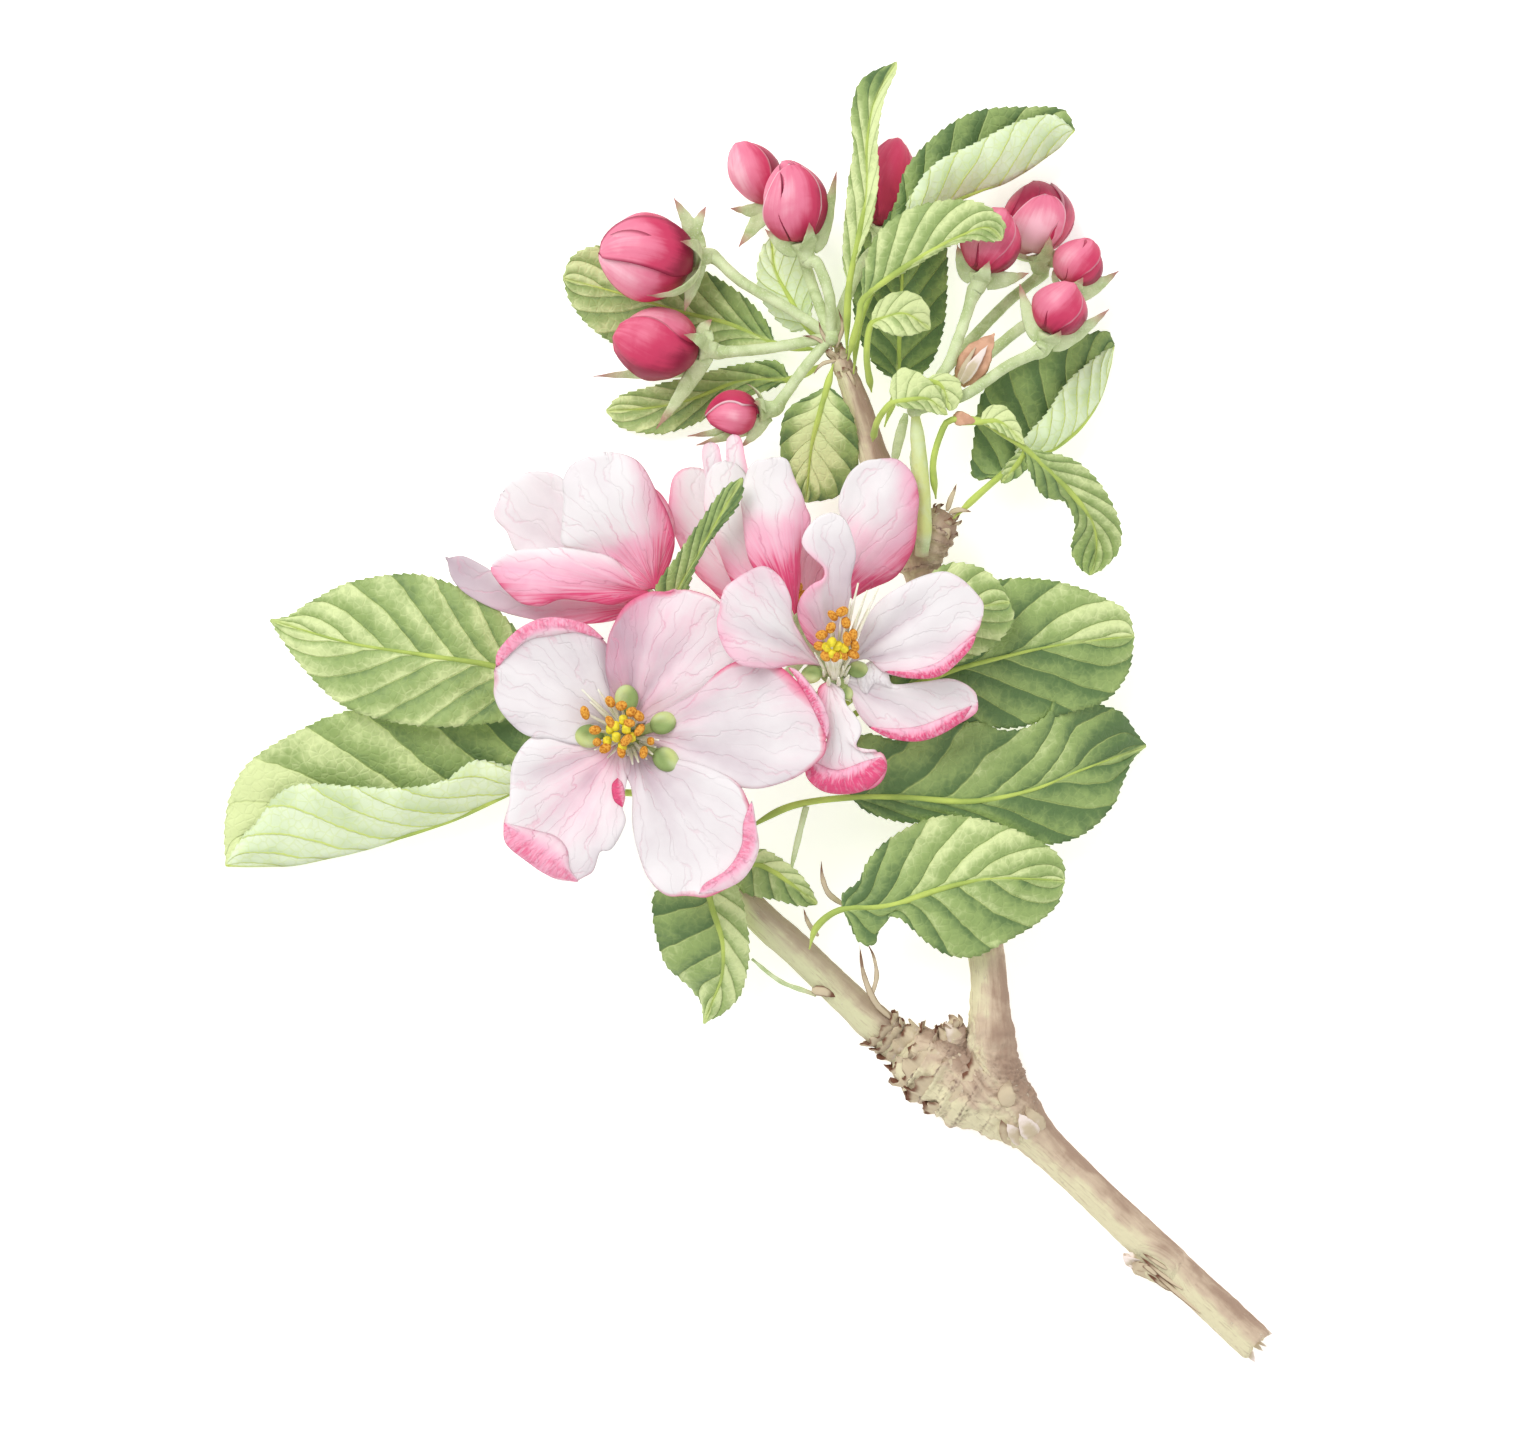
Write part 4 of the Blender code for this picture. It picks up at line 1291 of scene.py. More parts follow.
@dataclass
class Tuft:
    """The pistil and the ring of stamens of an open flower."""

    node: str
    seat: Vector
    axis: Vector
    anthers: Sequence[Place]
    stigmas: Sequence[Place]
    filament: float = 0.24           # mm
    bare: bool = False               # True for a brush of further filaments
    threads: Sequence[Place] = ()    # tips of filaments that have lost their anthers

    def build(self, bench: Workbench) -> None:
        """Makes the filaments, anthers and styles."""
        builder = Lanes((), ()).start()
        chance = random.Random(len(self.node) * 31 + len(self.anthers))
        for place in self.anthers:
            self.stamen(builder, plan(*place), chance)
            if self.bare:
                self.thread(builder, plan(*place), chance)
        for place in self.threads:
            self.bristle(builder, plan(*place))
        for place in self.stigmas:
            self.style(builder, plan(*place), chance)
        if not self.bare:
            Grain(self.seat + self.axis * 0.35 * MM, self.axis, 0.9, 1.3, 0.0, 2
                  ).build(builder, 3)
        palette = bench.palette
        bench.piece(f"{self.node}_tuft", builder,
                    (palette.filament, palette.anther, palette.stigma, palette.leaf_stalk),
                    (self.node,))

    def foot(self, top: Vector, spread: float) -> Vector:
        """Gives the place on the cup's rim from which a filament rises."""
        way = top - self.seat
        way -= self.axis * way.dot(self.axis)
        reach = min(way.length, spread * MM)
        return self.seat + (way.normalized() * reach if way.length > 1e-6 else way)

    def stamen(self, builder: Mesh, top: Vector, chance: random.Random) -> None:
        """Adds a filament and its anther."""
        foot = self.foot(top, 1.2)
        rise = self.axis * (top - foot).dot(self.axis)
        middle = foot.lerp(top, 0.45) + rise * 0.12
        r = self.filament
        Strand([foot, middle, top], [r * 1.15, r, r * 0.9, r * 0.7], sides=6, rings=9
               ).build(builder, 0)
        tilt = Vector((chance.uniform(-1, 1), chance.uniform(-1, 1), chance.uniform(-0.3, 0.3)))
        Grain(top, tilt, chance.uniform(0.9, 1.15), chance.uniform(0.62, 0.78), 0.3
              ).build(builder, 1)

    def thread(self, builder: Mesh, top: Vector, chance: random.Random) -> None:
        """Adds a filament that has lost its anther, beside another one."""
        stray = Vector((chance.uniform(-1.3, 1.3), chance.uniform(-2.2, 0.2), -0.4)) * MM
        foot = self.foot(top + stray, 1.8)
        end = foot.lerp(top + stray, chance.uniform(0.55, 0.85))
        Strand([foot, foot.lerp(end, 0.5) + self.axis * 0.4 * MM, end],
               [self.filament * 1.2, self.filament, self.filament * 0.5], sides=6, rings=9
               ).build(builder, 0)

    def bristle(self, builder: Mesh, tip: Vector) -> None:
        """Adds a stout filament without an anther."""
        foot = self.foot(tip, 1.7)
        Strand([foot, foot.lerp(tip, 0.5) + self.axis * 0.5 * MM, tip],
               [self.filament * 1.5, self.filament * 1.3, self.filament * 0.6], sides=6,
               rings=9).build(builder, 0)

    def style(self, builder: Mesh, top: Vector, chance: random.Random) -> None:
        """Adds a style with its stigma."""
        foot = self.foot(top, 0.5)
        bent = foot.lerp(top, 0.6) + self.axis * 0.2 * MM
        Strand([foot, bent, top], [0.36, 0.33, 0.3, 0.34], sides=8, rings=9).build(builder, 0)
        Grain(top, self.axis + Vector((chance.uniform(-0.4, 0.4), 0, 0)), 0.55, 0.82, 0.2
              ).build(builder, 2)


def ring_of(axis: Vector, count: int, turn: float) -> list[Vector]:
    """Gives unit directions spread evenly round an axis."""
    axis = axis.normalized()
    first = axis.orthogonal().normalized()
    second = axis.cross(first)
    angles = [math.radians(turn) + 2 * math.pi * i / count for i in range(count)]
    return [first * math.cos(a) + second * math.sin(a) for a in angles]


@dataclass
class Flower:
    """An open flower apart from its petals: pedicel, calyx, sepals, stamens and pistil."""

    name: str
    centre: Place
    axis: tuple[float, float, float]
    pedicel: Sequence[Place]
    anthers: Sequence[Place]
    stigmas: Sequence[Place]
    sepals: Sequence[tuple[Place, ...]]   # each from the cup's rim out to its tip
    sepal_half_width: float = 1.5
    lobes: Sequence[tuple[Place, float]] = ()  # rounded green lobes and half their length
    threads: Sequence[Place] = ()    # tips of bare filaments
    hearth: Optional[Place] = None   # where the stamens rise, if not from the centre

    def heading(self) -> Vector:
        """Gives the way the flower faces."""
        return Vector(self.axis).normalized()

    def green(self, builder: Mesh) -> None:
        """Adds the flower's stalk, cup and sepals to the stalks' mesh."""
        axis, seat = self.heading(), plan(*self.centre)
        Cup(self.pedicel, seat - axis * 0.3 * MM, axis, 2.2, 1.3).build(builder)
        for places in self.sepals:
            points = [plan(*p) for p in places]
            rim = points[0] - seat
            rim -= axis * rim.dot(axis)
            start = seat + rim.normalized() * 1.5 * MM - axis * 0.6 * MM
            Bract([start, *points], self.sepal_half_width, axis, 0.4,
                  (0.7, 1.0, 1.0, 0.85, 0.5, 0.08), 0.35).build(builder)
        for place, size in self.lobes:
            top = plan(*place)
            out = top - seat
            out.z = 0
            # painted shade: each lobe deepens to olive on one side
            Grain(top, out, size, size * 0.84, 0.12, 4, 0.75, 0.5).build(
                builder, 0, tint_and_painted_light=lambda p: -1.5 - 0.8 * between(0.7, -0.7, p.x + p.z * 0.6))
            Strand([seat + out.normalized() * 0.9 * MM, seat.lerp(top, 0.6), top],
                   (0.6, 0.7, 0.8, 0.5), 0.6, sides=10, rings=12).build(builder, 0, tint_and_painted_light=-1.8)

    def tuft(self, bench: Workbench) -> None:
        """Makes the stamens and the pistil."""
        Tuft(f"{self.name}_stamens", plan(*(self.hearth or self.centre)), self.heading(),
             self.anthers, self.stigmas, bare=self.hearth is not None,
             threads=self.threads).build(bench)


# ------------------------------------------------------------------ buds


@dataclass(frozen=True)
class Furl:
    """One furled petal of a bud: where its middle lies and how far it reaches."""

    middle: float                    # degrees round the bud's axis from its top
    reach: float = 1.0               # share of the way over the bud; past 1 it laps the tip
    half_width: float = 72.0         # degrees
    edge: float = 0.0                # how pale its margin is
    glow: float = 0.0                # painted highlight that it has above its neighbours


FURLS = (Furl(180, 1.0, 82), Furl(105, 1.03, 72), Furl(-105, 1.0, 72), Furl(42, 1.04, 64, 0.15),
         Furl(-32, 1.0, 62, 0.3, 0.1))


@dataclass
class Bud:
    """A closed bud: furled petals over an egg-shaped core, held by five sepals."""

    node: str
    foot: Place
    axis: tuple[float, float, float]
    length: float                    # mm
    width: float
    pedicel: Sequence[Place]
    tips: Sequence[Spot]             # sepal tips on the plan
    furls: Sequence[Furl] = FURLS    # from the inmost to the outmost
    # painted highlight: the way that the lit side faces, how strong it is and its base level
    glow: tuple[float, float, float] = (-0.6, 0.5, 0.6)
    highlight_strength: float = 0.7
    base_highlight: float = 0.24
    sepal_half_width: float = 1.35
    redness: float = 0.75
    twist: float = 45.0              # degrees that the furled petals wind round the bud

    TAPER = 0.22

    def heading(self) -> Vector:
        """Gives the bud's axis."""
        return Vector(self.axis).normalized()

    def surface(self, s: float, round_at: float, proud: float = 0.0) -> Vector:
        """Gives a point on the bud.

        Args:
            s: the share of the way over the bud from its foot (0) to its tip (1).
            round_at: the angle round the axis in radians, from straight up.
            proud: mm that the point stands off the furled petals.

        Returns:
            The point.
        """
        axis = self.heading()
        up, side = self.cross_frame()
        swing = math.pi * s
        high = (1 - math.cos(swing)) / 2
        narrowing = 1 - self.TAPER * max(2 * high - 1, 0) ** 2
        reach = self.width / 2 * max(math.sin(swing), 0.0) ** 0.94 * narrowing
        out = up * math.cos(round_at) + side * math.sin(round_at)
        lift = axis * (-math.cos(swing) * proud) + out * (math.sin(swing) * proud)
        return (plan(*self.foot) + axis * (0.3 + self.length * high) * MM + out * reach * MM
                + lift * MM)

    def cross_frame(self) -> tuple[Vector, Vector]:
        """Gives the direction across the axis that looks up most, and the one beside it."""
        axis = self.heading()
        up = Vector((0, 0, 1)) - axis * axis.z
        if up.length < 0.1:
            up = Vector((0, 1, 0)) - axis * axis.y
        up.normalize()
        return up, axis.cross(up)

    def build(self, bench: Workbench) -> None:
        """Makes the core and the furled petals round it."""
        builder = PETAL_LANES.start()
        self.core(builder)
        for k, furl in enumerate(self.furls):
            self.shell(builder, furl, k)
        builder.verts.index_update()
        builder.faces.sort(key=self.face_order)
        bench.piece(f"{self.node}_furled", builder, (bench.palette.bud,),
                    (self.node,))

    @staticmethod
    def face_order(face: Face) -> float:
        """Numbers a face by its vertices, because extruding lists faces in no fixed order."""
        low, middle, high = sorted(vertex.index for vertex in face.verts)[:3]
        return low * 1e10 + middle * 1e5 + high

    def light(self, normal: Vector) -> float:
        """Gives how much painted highlight lies on a side of the bud, by the way that side faces.
        """
        side = normal.dot(Vector(self.glow).normalized())
        return self.base_highlight + self.highlight_strength * (max(side, -0.4) - 0.25)

    def core(self, builder: Mesh) -> None:
        """Adds the egg that closes the gaps between the furled petals."""
        made = bmesh.ops.create_uvsphere(builder, u_segments=28, v_segments=18, radius=1.0)
        tint_and_painted_light = builder.verts.layers.float["tint_and_painted_light"]
        for vertex in made["verts"]:
            s = math.acos(max(-1.0, min(1.0, -vertex.co.z))) / math.pi
            round_at = math.atan2(vertex.co.y, vertex.co.x)
            vertex.co = self.surface(min(max(s, 0.0), 1.0), round_at, -1.15)
            vertex[tint_and_painted_light] = -0.1
        faces = faces_of(made["verts"])
        bmesh.ops.recalc_face_normals(builder, faces=faces)
        size = builder.loops.layers.uv["size"]
        for face in faces:
            for loop in face.loops:
                loop[size].uv = (2.0, 0.5)

    def shell(self, builder: Mesh, furl: Furl, k: int) -> None:
        """Adds one furled petal.

        Args:
            builder: the bud's mesh.
            furl: the petal.
            k: its place among the bud's petals, the inmost being 0.
        """
        made = bmesh.ops.create_grid(builder, x_segments=24, y_segments=26, size=1.0)
        places = {v: (v.co.x, (v.co.y + 1) / 2) for v in made["verts"]}
        seed = float(k * 7 + len(self.node) + furl.middle)
        for vertex, (x, t) in places.items():
            base = math.radians(furl.middle + self.twist * (t - 0.4))
            swing = math.pi * (0.02 + (furl.reach - 0.02) * t)
            crown = max((t - 0.45) / 0.55, 0.0)
            width = math.radians(furl.half_width) * (0.4 + 0.6 * between(0.0, 0.4, t)) * max(
                1 - crown ** 2.4, 0.0) ** 0.5
            across = x * width
            mid = Vector((math.sin(swing) * math.cos(base), math.sin(swing) * math.sin(base),
                          -math.cos(swing)))
            side = Vector((-math.sin(base), math.cos(base), 0.0))
            way = mid * math.cos(across) + side * math.sin(across)
            s = math.acos(max(-1.0, min(1.0, -way.z))) / math.pi
            wave = noise.noise(Vector((x * 1.6 + seed, t * 1.8, seed))) * 0.3
            lift = 0.2 * max(abs(x), between(0.6, 1.0, t)) ** 4
            vertex.co = self.surface(s, math.atan2(way.y, way.x),
                                     0.24 * (k - len(self.furls) + 1) + wave + lift)
        laid = Laid(builder, places)
        builder.normal_update()
        margin = Margin([(v.co.copy(), 0.0) for v, (x, t) in places.items()
                         if abs(x) > ON_BORDER or t > ON_BORDER])
        near = {place: margin.nearest(v.co)[0] for v, place in places.items()}
        lit = {place: self.light(v.normal) for v, place in places.items()}
        # painted highlight on the lit side, and painted shade that keeps each furled petal paler in
        # its middle than at its margins
        laid.number("tint_and_painted_light", lambda x, t: lit[(x, t)] + furl.glow
                    + 0.42 * (1 - abs(x)) * math.sin(math.pi * t) - 0.14)
        # a pale margin where the petal's edge is given; otherwise painted shade along its margin,
        # at the seam with the next petal
        laid.number("rim", lambda x, t: (furl.edge * between(0.15, 0.4, t)
                                         if furl.edge > 0.2 else -0.75))
        laid.map("size", lambda x, t: (near[(x, t)], t))
        laid.map("vein", lambda x, t: (x, t))
        tips = [v for v, (_, t) in places.items() if t > ON_BORDER]
        bmesh.ops.remove_doubles(builder, verts=tips, dist=WELD)
        laid.places = {v: place for v, place in places.items() if v.is_valid}
        self.thicken(builder, laid)

    def thicken(self, builder: Mesh, laid: Laid) -> None:
        """Gives a furled petal an inner wall, drawn in to the bud's middle, and its edges."""
        faces = faces_of(laid.places)
        middle = plan(*self.foot) + self.heading() * (0.3 + self.length / 2) * MM
        made = bmesh.ops.extrude_face_region(builder, geom=faces, use_keep_orig=True)
        fresh = [item for item in made["geom"] if isinstance(item, Point)]
        for vertex in fresh:
            vertex.co += (middle - vertex.co).normalized() * FURL_WALL * MM
        bmesh.ops.recalc_face_normals(builder, faces=faces_of((*laid.places, *fresh)))

    def green(self, builder: Mesh) -> None:
        """Adds the bud's stalk, cup and sepals to the stalks' mesh."""
        axis, seat = self.heading(), plan(*self.foot)
        Cup(self.pedicel, seat + axis * 0.35 * MM, axis, 1.9, 1.3).build(builder)
        angles = [self.sepal_angle(tip) for tip in self.tips]
        for tip, (angle, s, outside) in zip(self.tips, angles):
            self.sepal(builder, angle, s, plan(tip[0], tip[1], outside) if outside else None)
        taken = [angle for angle, _, _ in angles]
        for step in range(12):
            angle = math.radians(step * 30 + 15)
            if len(taken) >= 5:
                break
            gaps = [abs((angle - a + math.pi) % (2 * math.pi) - math.pi) for a in taken]
            if not gaps or min(gaps) > math.radians(52):
                taken.append(angle)
                self.sepal(builder, angle, 0.36, None)

    def sepal_angle(self, tip: Spot) -> tuple[float, float, float]:
        """Works out where a sepal's tip lies.

        Args:
            tip: the tip on the plan.

        Returns:
            The angle round the axis, the share of the way over the bud, and the height in mm
            of a tip that stands clear of the bud (0 where it lies on the bud).
        """
        axis, seat = self.heading(), plan(*self.foot)
        _, side = self.cross_frame()
        flat = Vector((axis.x, axis.y, 0)).normalized()
        way = plan(tip[0], tip[1], seat.z / MM) - seat
        ahead = max(way.dot(flat), 0.3 * MM)
        off = (way - flat * way.dot(flat)).dot(side)
        high = min(max(ahead / (self.length * MM), 0.04), 0.9)
        s = math.acos(1 - 2 * high) / math.pi
        reach = (self.surface(s, math.pi / 2) - self.surface(s, -math.pi / 2)).length / 2
        if abs(off) < reach * 0.97 and way.dot(flat) > 0:
            return math.asin(off / reach), s, 0.0
        height = (seat + axis * max(way.dot(flat), 0.0)).z / MM
        return math.copysign(math.pi / 2, off), s, height

    def sepal(self, builder: Mesh, angle: float, s: float,
              tip: Optional[Vector]) -> None:
        """Adds a sepal that hugs the bud up to its tip.

        Args:
            builder: the stalks' mesh.
            angle: its place round the axis in radians.
            s: the share of the way over the bud that it reaches.
            tip: where its tip stands clear of the bud, if it does.
        """
        up, side = self.cross_frame()
        out = up * math.cos(angle) + side * math.sin(angle)
        seat, axis = plan(*self.foot), self.heading()
        start = seat + out * 1.0 * MM - axis * 0.9 * MM
        facing = out
        if tip is None:
            places = [start, *(self.surface(max(s * share, 0.03), angle, 1.0 + 0.3 * share)
                               for share in (0.3, 0.6, 0.85, 1.0))]
        else:
            hug = self.surface(0.13, angle, 0.95)
            places = [start, hug, hug.lerp(tip, 0.5) + out * 0.2 * MM, tip]
            facing = out * 0.6 + Vector((0, 0, 1.0))
        Bract(places, self.sepal_half_width, facing, 0.4, (0.85, 1.0, 0.95, 0.7, 0.4, 0.05),
              self.redness).build(builder)


# ------------------------------------------------------------------ wood


@dataclass
class Limb:
    """A limb of the branch: places with radii in mm, and how old its bark is."""

    places: Sequence[tuple[float, float, float, float]]
    young: Sequence[float] = (0.0,)
    scars: Sequence[tuple[float, float, float]] = ()   # (share of length, width mm, height mm)


@dataclass
class Wood:
    """The woody branch with its rings, scars and torn end."""

    limbs: Sequence[Limb]
    torn_end: Place
    torn_way: tuple[float, float, float]
    knot_middle: Place = (968, 1082, 6.6)
    knot_radius: float = 9.0         # mm
    voxel: float = 0.32              # mm

    def build(self, bench: Workbench) -> bvhtree.BVHTree:
        """Joins the limbs and carves the bark.

        Args:
            bench: the workbench.

        Returns:
            The finished bark's surface, for the trim to sit on.
        """
        builder = bmesh.new()
        for limb in self.limbs:
            route = [plan(u, v, z) for u, v, z, _ in limb.places]
            radii = Route([Vector((r, 0, i * 4.0)) for i, (_, _, _, r) in
                           enumerate(limb.places)])
            steps = self.even_radii(route, radii.dense)
            Strand(route, steps, sides=22, rings=90).build(builder)
        mesh = bpy.data.meshes.new("wood_draft")
        builder.to_mesh(mesh)
        builder.free()
        draft = bpy.data.objects.new("wood_draft", mesh)
        bpy.context.scene.collection.objects.link(draft)
        melt = draft.modifiers.new("melt", "REMESH")
        melt.mode, melt.voxel_size = "VOXEL", self.voxel * MM
        melted = bpy.data.meshes.new_from_object(
            draft.evaluated_get(bpy.context.evaluated_depsgraph_get()))
        bpy.data.objects.remove(draft)
        builder = WOOD_LANES.start()
        builder.from_mesh(melted)
        for _ in range(2):
            bmesh.ops.smooth_vert(builder, verts=builder.verts, factor=0.5, use_axis_x=True,
                                  use_axis_y=True, use_axis_z=True)
        self.carve(builder)
        surface = bvhtree.BVHTree.FromBMesh(builder)
        bench.piece("branch_wood_bark", builder, (bench.palette.bark,),
                    ("branch_wood",))
        return surface

    @staticmethod
    def even_radii(route: Sequence[Vector], dense: Sequence[Vector]) -> Callable[[float], float]:
        """Gives the radius as a function of the share of a limb's length."""
        line = Route(route)
        shares = [length / line.length for length in line.lengths]
        values = [point.x for point in dense]

        def radius(t: float) -> float:
            """Reads the radius, rounded off at the two ends."""
            i = min(range(len(shares)), key=lambda n: abs(shares[n] - t))
            ends = min(t, 1 - t) * line.length / MM
            return values[i] * math.sqrt(max(1 - (1 - min(ends / 1.2, 1)) ** 2, 0.0))

        return radius

    def carve(self, builder: Mesh) -> None:
        """Moves the bark's points out and in, and stores the finish's numbers on them."""
        lines = [LimbLine(limb, number) for number, limb in enumerate(self.limbs)]
        end, way = plan(*self.torn_end), Vector(self.torn_way).normalized()
        beside = Vector((-way.y, way.x, 0.0))
        shaded_side = Vector((0.66, 0.6, 0.3)).normalized()
        lanes = {name: builder.verts.layers.float[name] for name in WOOD_LANES.numbers}
        builder.normal_update()
        moves = []
        for vertex in builder.verts:
            co, normal = vertex.co, vertex.normal
            run, a, b, young, ridge, scar_and_crease_shade = self.blend(lines, co)
            knot = math.exp(-((co - self.knot()).length / (self.knot_radius * MM)) ** 2)
            strands = noise.noise(Vector((a * 0.8, b * 0.8, run * 0.10)))
            lumps = noise.noise(co * 240)
            grit = noise.noise(co * 900)
            warts = abs(noise.noise(co * 420 + Vector((5, 0, 0))))
            rough = 0.10 + 0.4 * scar_and_crease_shade
            wrinkle = math.sin(run * 2.6 + noise.noise(co * 260) * 3.4)
            ridge += knot * wrinkle * 0.32
            step = (ridge + strands * 0.16 * (1 - 0.5 * young) + lumps * rough + grit * 0.06
                    + knot * (lumps * 1.5 + warts * 1.3 - 0.5))
            beyond = (co - end).dot(way) / MM
            torn = between(-1.6, -0.2, beyond + noise.noise(co * 700) * 0.5)
            across = (co - end).dot(beside) / MM / 2.6
            shove = -2.6 + 3.5 * abs(across) ** 1.2 + noise.noise(co * 900) * 1.8
            moves.append((vertex, normal * step * MM + way * shove * torn * MM))
            # painted shade: bark facing shaded_side turns brown and a thin dark edge lies on the
            # other side; the knot's lumps and the bark away from the cut end are browner of
            # themselves
            facing = normal.dot(shaded_side)
            bark_shade_and_browning = (between(-0.45, 1.15, facing) + 0.4 * between(0.55, 1.0, -facing)
                       + knot * (0.9 * abs(lumps) - 0.05)
                       + 0.22 * between(-30.0, 16.0, co.y / MM) * (1 - 0.5 * young))
            for name, value in (("run", run), ("round_a", a), ("round_b", b),
                                ("young", young), ("bark_shade_and_browning", bark_shade_and_browning),
                                # painted shade: the knot darkens in the hollows between its lumps
                                # and in the troughs of its wrinkles
                                ("scar_and_crease_shade", max(scar_and_crease_shade, knot * between(0.25, -0.35, lumps) * 0.7,
                                             knot * between(-0.1, -0.95, wrinkle) * 0.85)),
                                ("torn", between(-0.9, 0.1, beyond))):
                vertex[lanes[name]] = value
        for vertex, move in moves:
            vertex.co += move

    def knot(self) -> Vector:
        """Gives the middle of the swollen knot."""
        return plan(*self.knot_middle)

    @staticmethod
    def blend(lines: Sequence["LimbLine"], co: Vector) -> tuple[float, ...]:
        """Reads the limbs near a point, the nearest having most of the say."""
        reads = [line.read(co) for line in lines]
        near = min(read[0] for read in reads)
        weights = [math.exp(-(read[0] - near) / 0.7) for read in reads]
        total = sum(weights)
        return tuple(sum(w * read[i] for w, read in zip(weights, reads)) / total
                     for i in range(1, 7))


class LimbLine:
    """A limb's centre line, sampled so that the bark can look up where it is."""

    def __init__(self, limb: Limb, number: int) -> None:
        """Samples the limb every third of a millimetre."""
        self.limb, self.number = limb, number
        self.route = Route([plan(u, v, z) for u, v, z, _ in limb.places])
        radii = Wood.even_radii([plan(u, v, z) for u, v, z, _ in limb.places], Route(
            [Vector((r, 0, i * 4.0)) for i, (_, _, _, r) in enumerate(limb.places)]).dense)
        count = max(8, int(self.route.length / (0.33 * MM)))
        self.samples = []
        self.tree = kdtree.KDTree(count + 1)
        for i in range(count + 1):
            t = i / count
            self.samples.append((t, self.route.at(t), self.route.heading(t), radii(t)))
            self.tree.insert(self.samples[-1][1], i)
        self.tree.balance()

    def read(self, co: Vector) -> tuple[float, ...]:
        """Reads the bark at a point.

        Args:
            co: the point.

        Returns:
            The distance in mm from the limb's skin, then the run along it, the two places
            round it, its youth, its ring relief in mm and how scarred it is.
        """
        _, i, distance = self.tree.find(co)
        t, centre, heading, radius = self.samples[i]
        out = co - centre
        side = Vector((0, 0, 1)).cross(heading).normalized()
        up = heading.cross(side)
        length = max(out.length, 1e-6)
        a, b = out.dot(side) / length * 3, out.dot(up) / length * 3
        run = t * self.route.length / MM
        ridge, scar_and_crease_shade = 0.0, 0.0
        for place, width, height in self.limb.scars:
            off = (t - place) * self.route.length / MM
            off += noise.noise(Vector((a, b, place * 9))) * width * 0.7
            hump = math.exp(-(off / width) ** 2)
            ridge += height * hump
            scar_and_crease_shade = max(scar_and_crease_shade, 0.75 * math.exp(-((off - width * 0.9) / (width * 0.8)) ** 2))
        young = profile(self.limb.young, t)
        return (distance / MM - radius, run + self.number * 31, a + self.number * 7, b, young,
                ridge, scar_and_crease_shade)


@dataclass
class Collar:
    """A ring of dry scale stumps round a limb, left where a bud once opened."""

    centre: Place
    way: tuple[float, float, float]  # along the limb, the way the stumps point
    radius: float                    # mm
    count: int = 9
    length: float = 1.6
    half_width: float = 1.1
    lift: float = 0.5
    colour: float = 0.8              # 0 pale to 1 dark at the stumps' edges
    outline: Sequence[float] = (0.7, 1.0, 1.0, 0.9, 0.6, 0.15)
    edged: bool = True

    def build(self, builder: Mesh, chance: random.Random) -> None:
        """Adds the stumps to a mesh."""
        way = Vector(self.way).normalized()
        for out in ring_of(way, self.count, chance.uniform(0, 40)):
            out = (out + way.cross(out) * chance.uniform(-0.3, 0.3)).normalized()
            length = self.length * chance.uniform(0.5, 1.35)
            foot = plan(*self.centre) + out * (self.radius - 0.25) * MM
            foot += way * chance.uniform(-0.5, 0.5) * MM
            if foot.z < 2.4 * MM:
                continue
            tip = foot + way * length * MM + out * self.lift * chance.uniform(0.1, 1.5) * MM
            side = way.cross(out) * chance.uniform(-0.5, 0.5) * MM
            middle = foot.lerp(tip, 0.55) + out * 0.3 * MM
            Bract([foot - way * 0.5 * MM, foot, middle, tip + side],
                  self.half_width * chance.uniform(0.75, 1.2), out, 0.42,
                  self.outline, self.colour, self.edged).build(builder)


